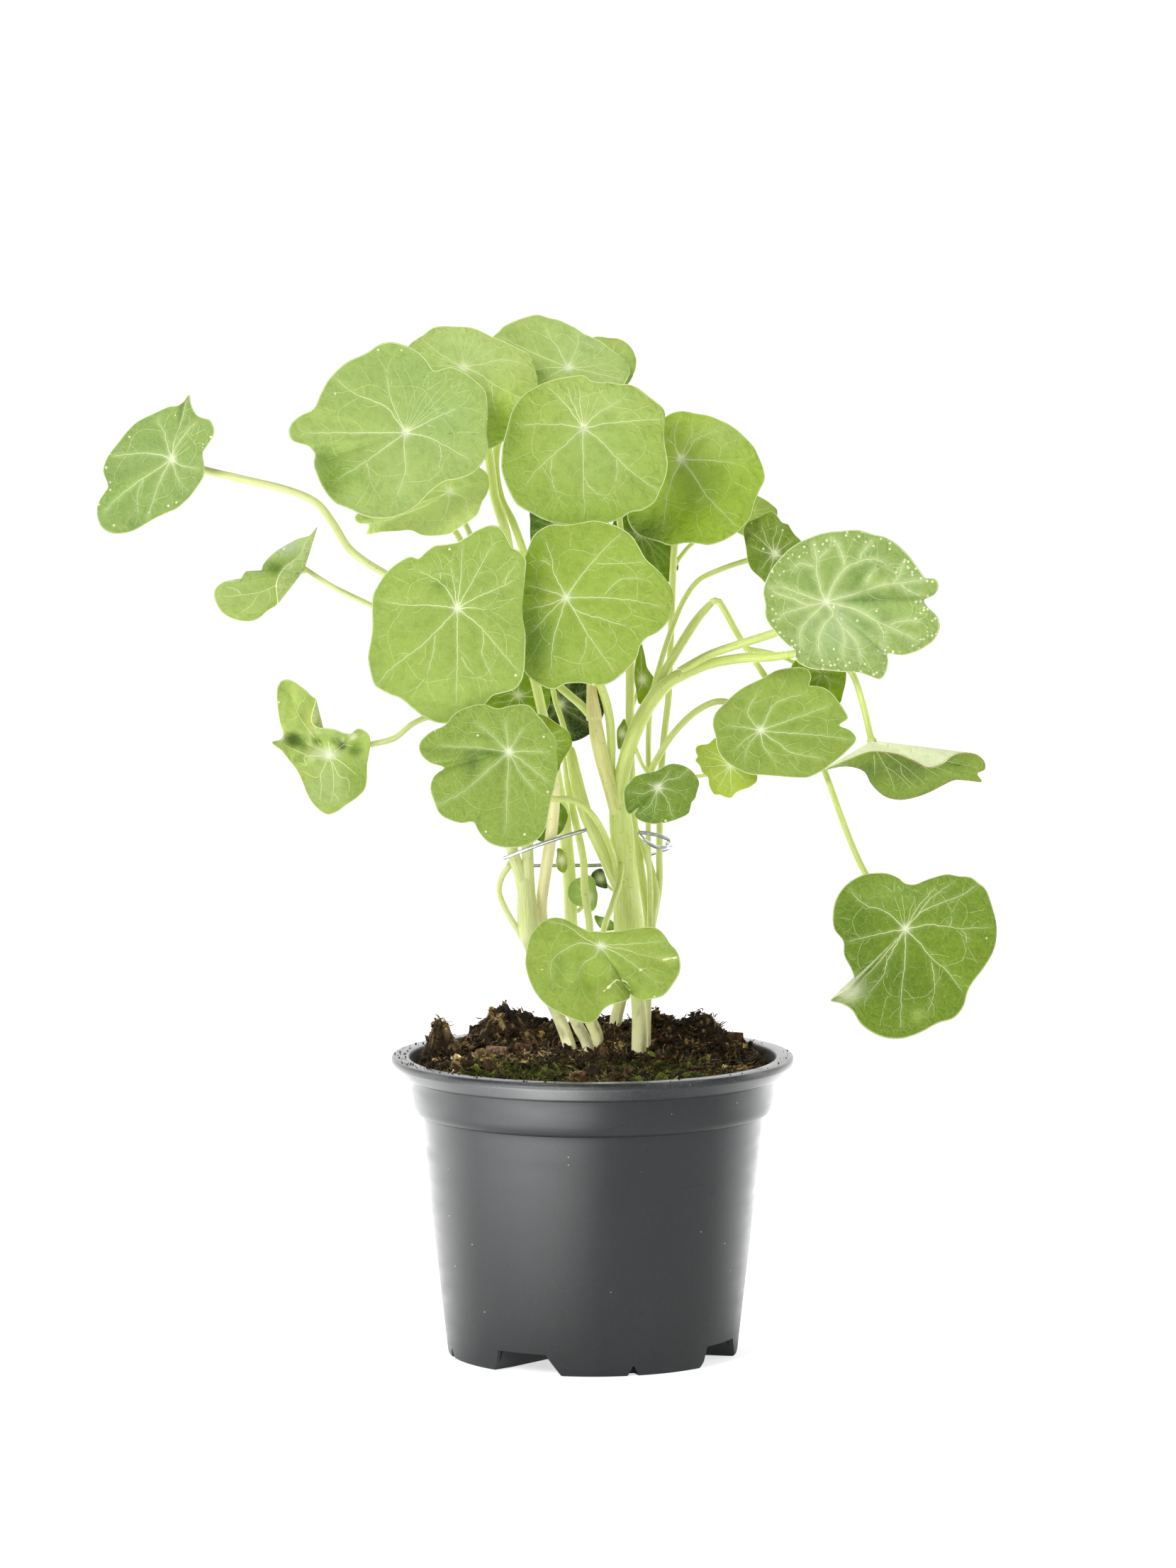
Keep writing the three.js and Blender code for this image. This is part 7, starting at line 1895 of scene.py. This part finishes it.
HALF_WIDTH, CURVE_START, CURVE_R = 4.0, 1.6, 1.2
bends = [math.radians(degrees) for degrees in range(10, 91, 10)]
sweep = [(-4.0, 0.0), (CURVE_START, 0.0)] \
    + [(CURVE_START + CURVE_R * math.sin(bend), CURVE_R - CURVE_R * math.cos(bend))
       for bend in bends] + [(CURVE_START + CURVE_R, 3.5)]
paper_mesh = bmesh.new()
line = [paper_mesh.verts.new((-HALF_WIDTH, y, z)) for y, z in sweep]
edges = [paper_mesh.edges.new(pair) for pair in zip(line, line[1:])]
for item in bmesh.ops.extrude_edge_only(paper_mesh, edges=edges)["geom"]:
    if isinstance(item, bmesh.types.BMVert):
        item.co.x = HALF_WIDTH
floor = finish_mesh("floor", paper_mesh, [material_of("floor_paper", paper)])
print("the floor is", 2 * HALF_WIDTH, "m wide")

# %% [markdown]
# A studio tent gives soft light from many sides. The sky does most of it here: it is brighter
# above and behind, and plain white where the camera sees it. A large softbox on the upper left
# gives the leaves their gentle shading, a weaker one on the right keeps the shadows open, and two
# strips at the sides draw the pot's edges.

# %% Light
scene = bpy.context.scene
scene.world = bpy.data.worlds.new("studio")
scene.world.use_nodes = True
sky_tree = scene.world.node_tree
toward = parts(sky_tree, node(sky_tree, "ShaderNodeTexCoord").outputs["Generated"])
behind = span(sky_tree, toward[1], -0.9, 0.2, 0.6, 1.1)
above = span(sky_tree, toward[2], 0.1, 1.0, 0.0, 0.75)
seen = node(sky_tree, "ShaderNodeLightPath").outputs["Is Camera Ray"]
fill(sky_tree, sky_tree.nodes["Background"],
     Strength=node(sky_tree, "ShaderNodeMix", {"data_type": "FLOAT"}, i0=seen, i3=19.0,
                   i2=plus(sky_tree, behind, above)).outputs[0])
for name, spot, aim, size, power in (
        ("key_softbox", (-1.2, -1.7, 1.5), (0, 0, 0.2), (0.9, 0.9), 36.0),
        ("fill_softbox", (1.7, -1.4, 0.8), (0, 0, 0.2), (1.2, 1.2), 9.0),
        ("left_strip", (-0.95, 0.15, 0.4), (0, 0, 0.12), (0.22, 1.1), 4.0),
        ("right_strip", (0.95, 0.25, 0.4), (0, 0, 0.12), (0.22, 1.1), 3.5)):
    lamp = bpy.data.lights.new(name, "AREA")
    lamp.shape, lamp.size, lamp.size_y, lamp.energy = "RECTANGLE", *size, power
    holder = bpy.data.objects.new(name, lamp)
    holder.location = spot
    holder.rotation_euler = (Vector(aim) - Vector(spot)).to_track_quat("-Z", "Y").to_euler()
    scene.collection.objects.link(holder)
scene.view_settings.view_transform = "Standard"
scene.view_settings.look = "None"
print("two softboxes, two strips and a bright sky")

# %% [markdown]
# A long lens from far away keeps the pot's sides almost parallel. The camera looks down a little,
# so that the soil and the inside of the lip show.

# %% Camera
PITCH_DOWN = 6.06
camera = bpy.data.cameras.new("camera")
camera.lens = 171.86
camera.sensor_width = 36
camera.clip_end = 50
holder = bpy.data.objects.new("camera", camera)
holder.location = (-0.0015, -2.4, 0.44)
holder.rotation_euler = (math.radians(90 - PITCH_DOWN), 0, 0)
scene.collection.objects.link(holder)
scene.camera = holder
print("camera", [round(v, 3) for v in holder.location], "m, lens", camera.lens, "mm")
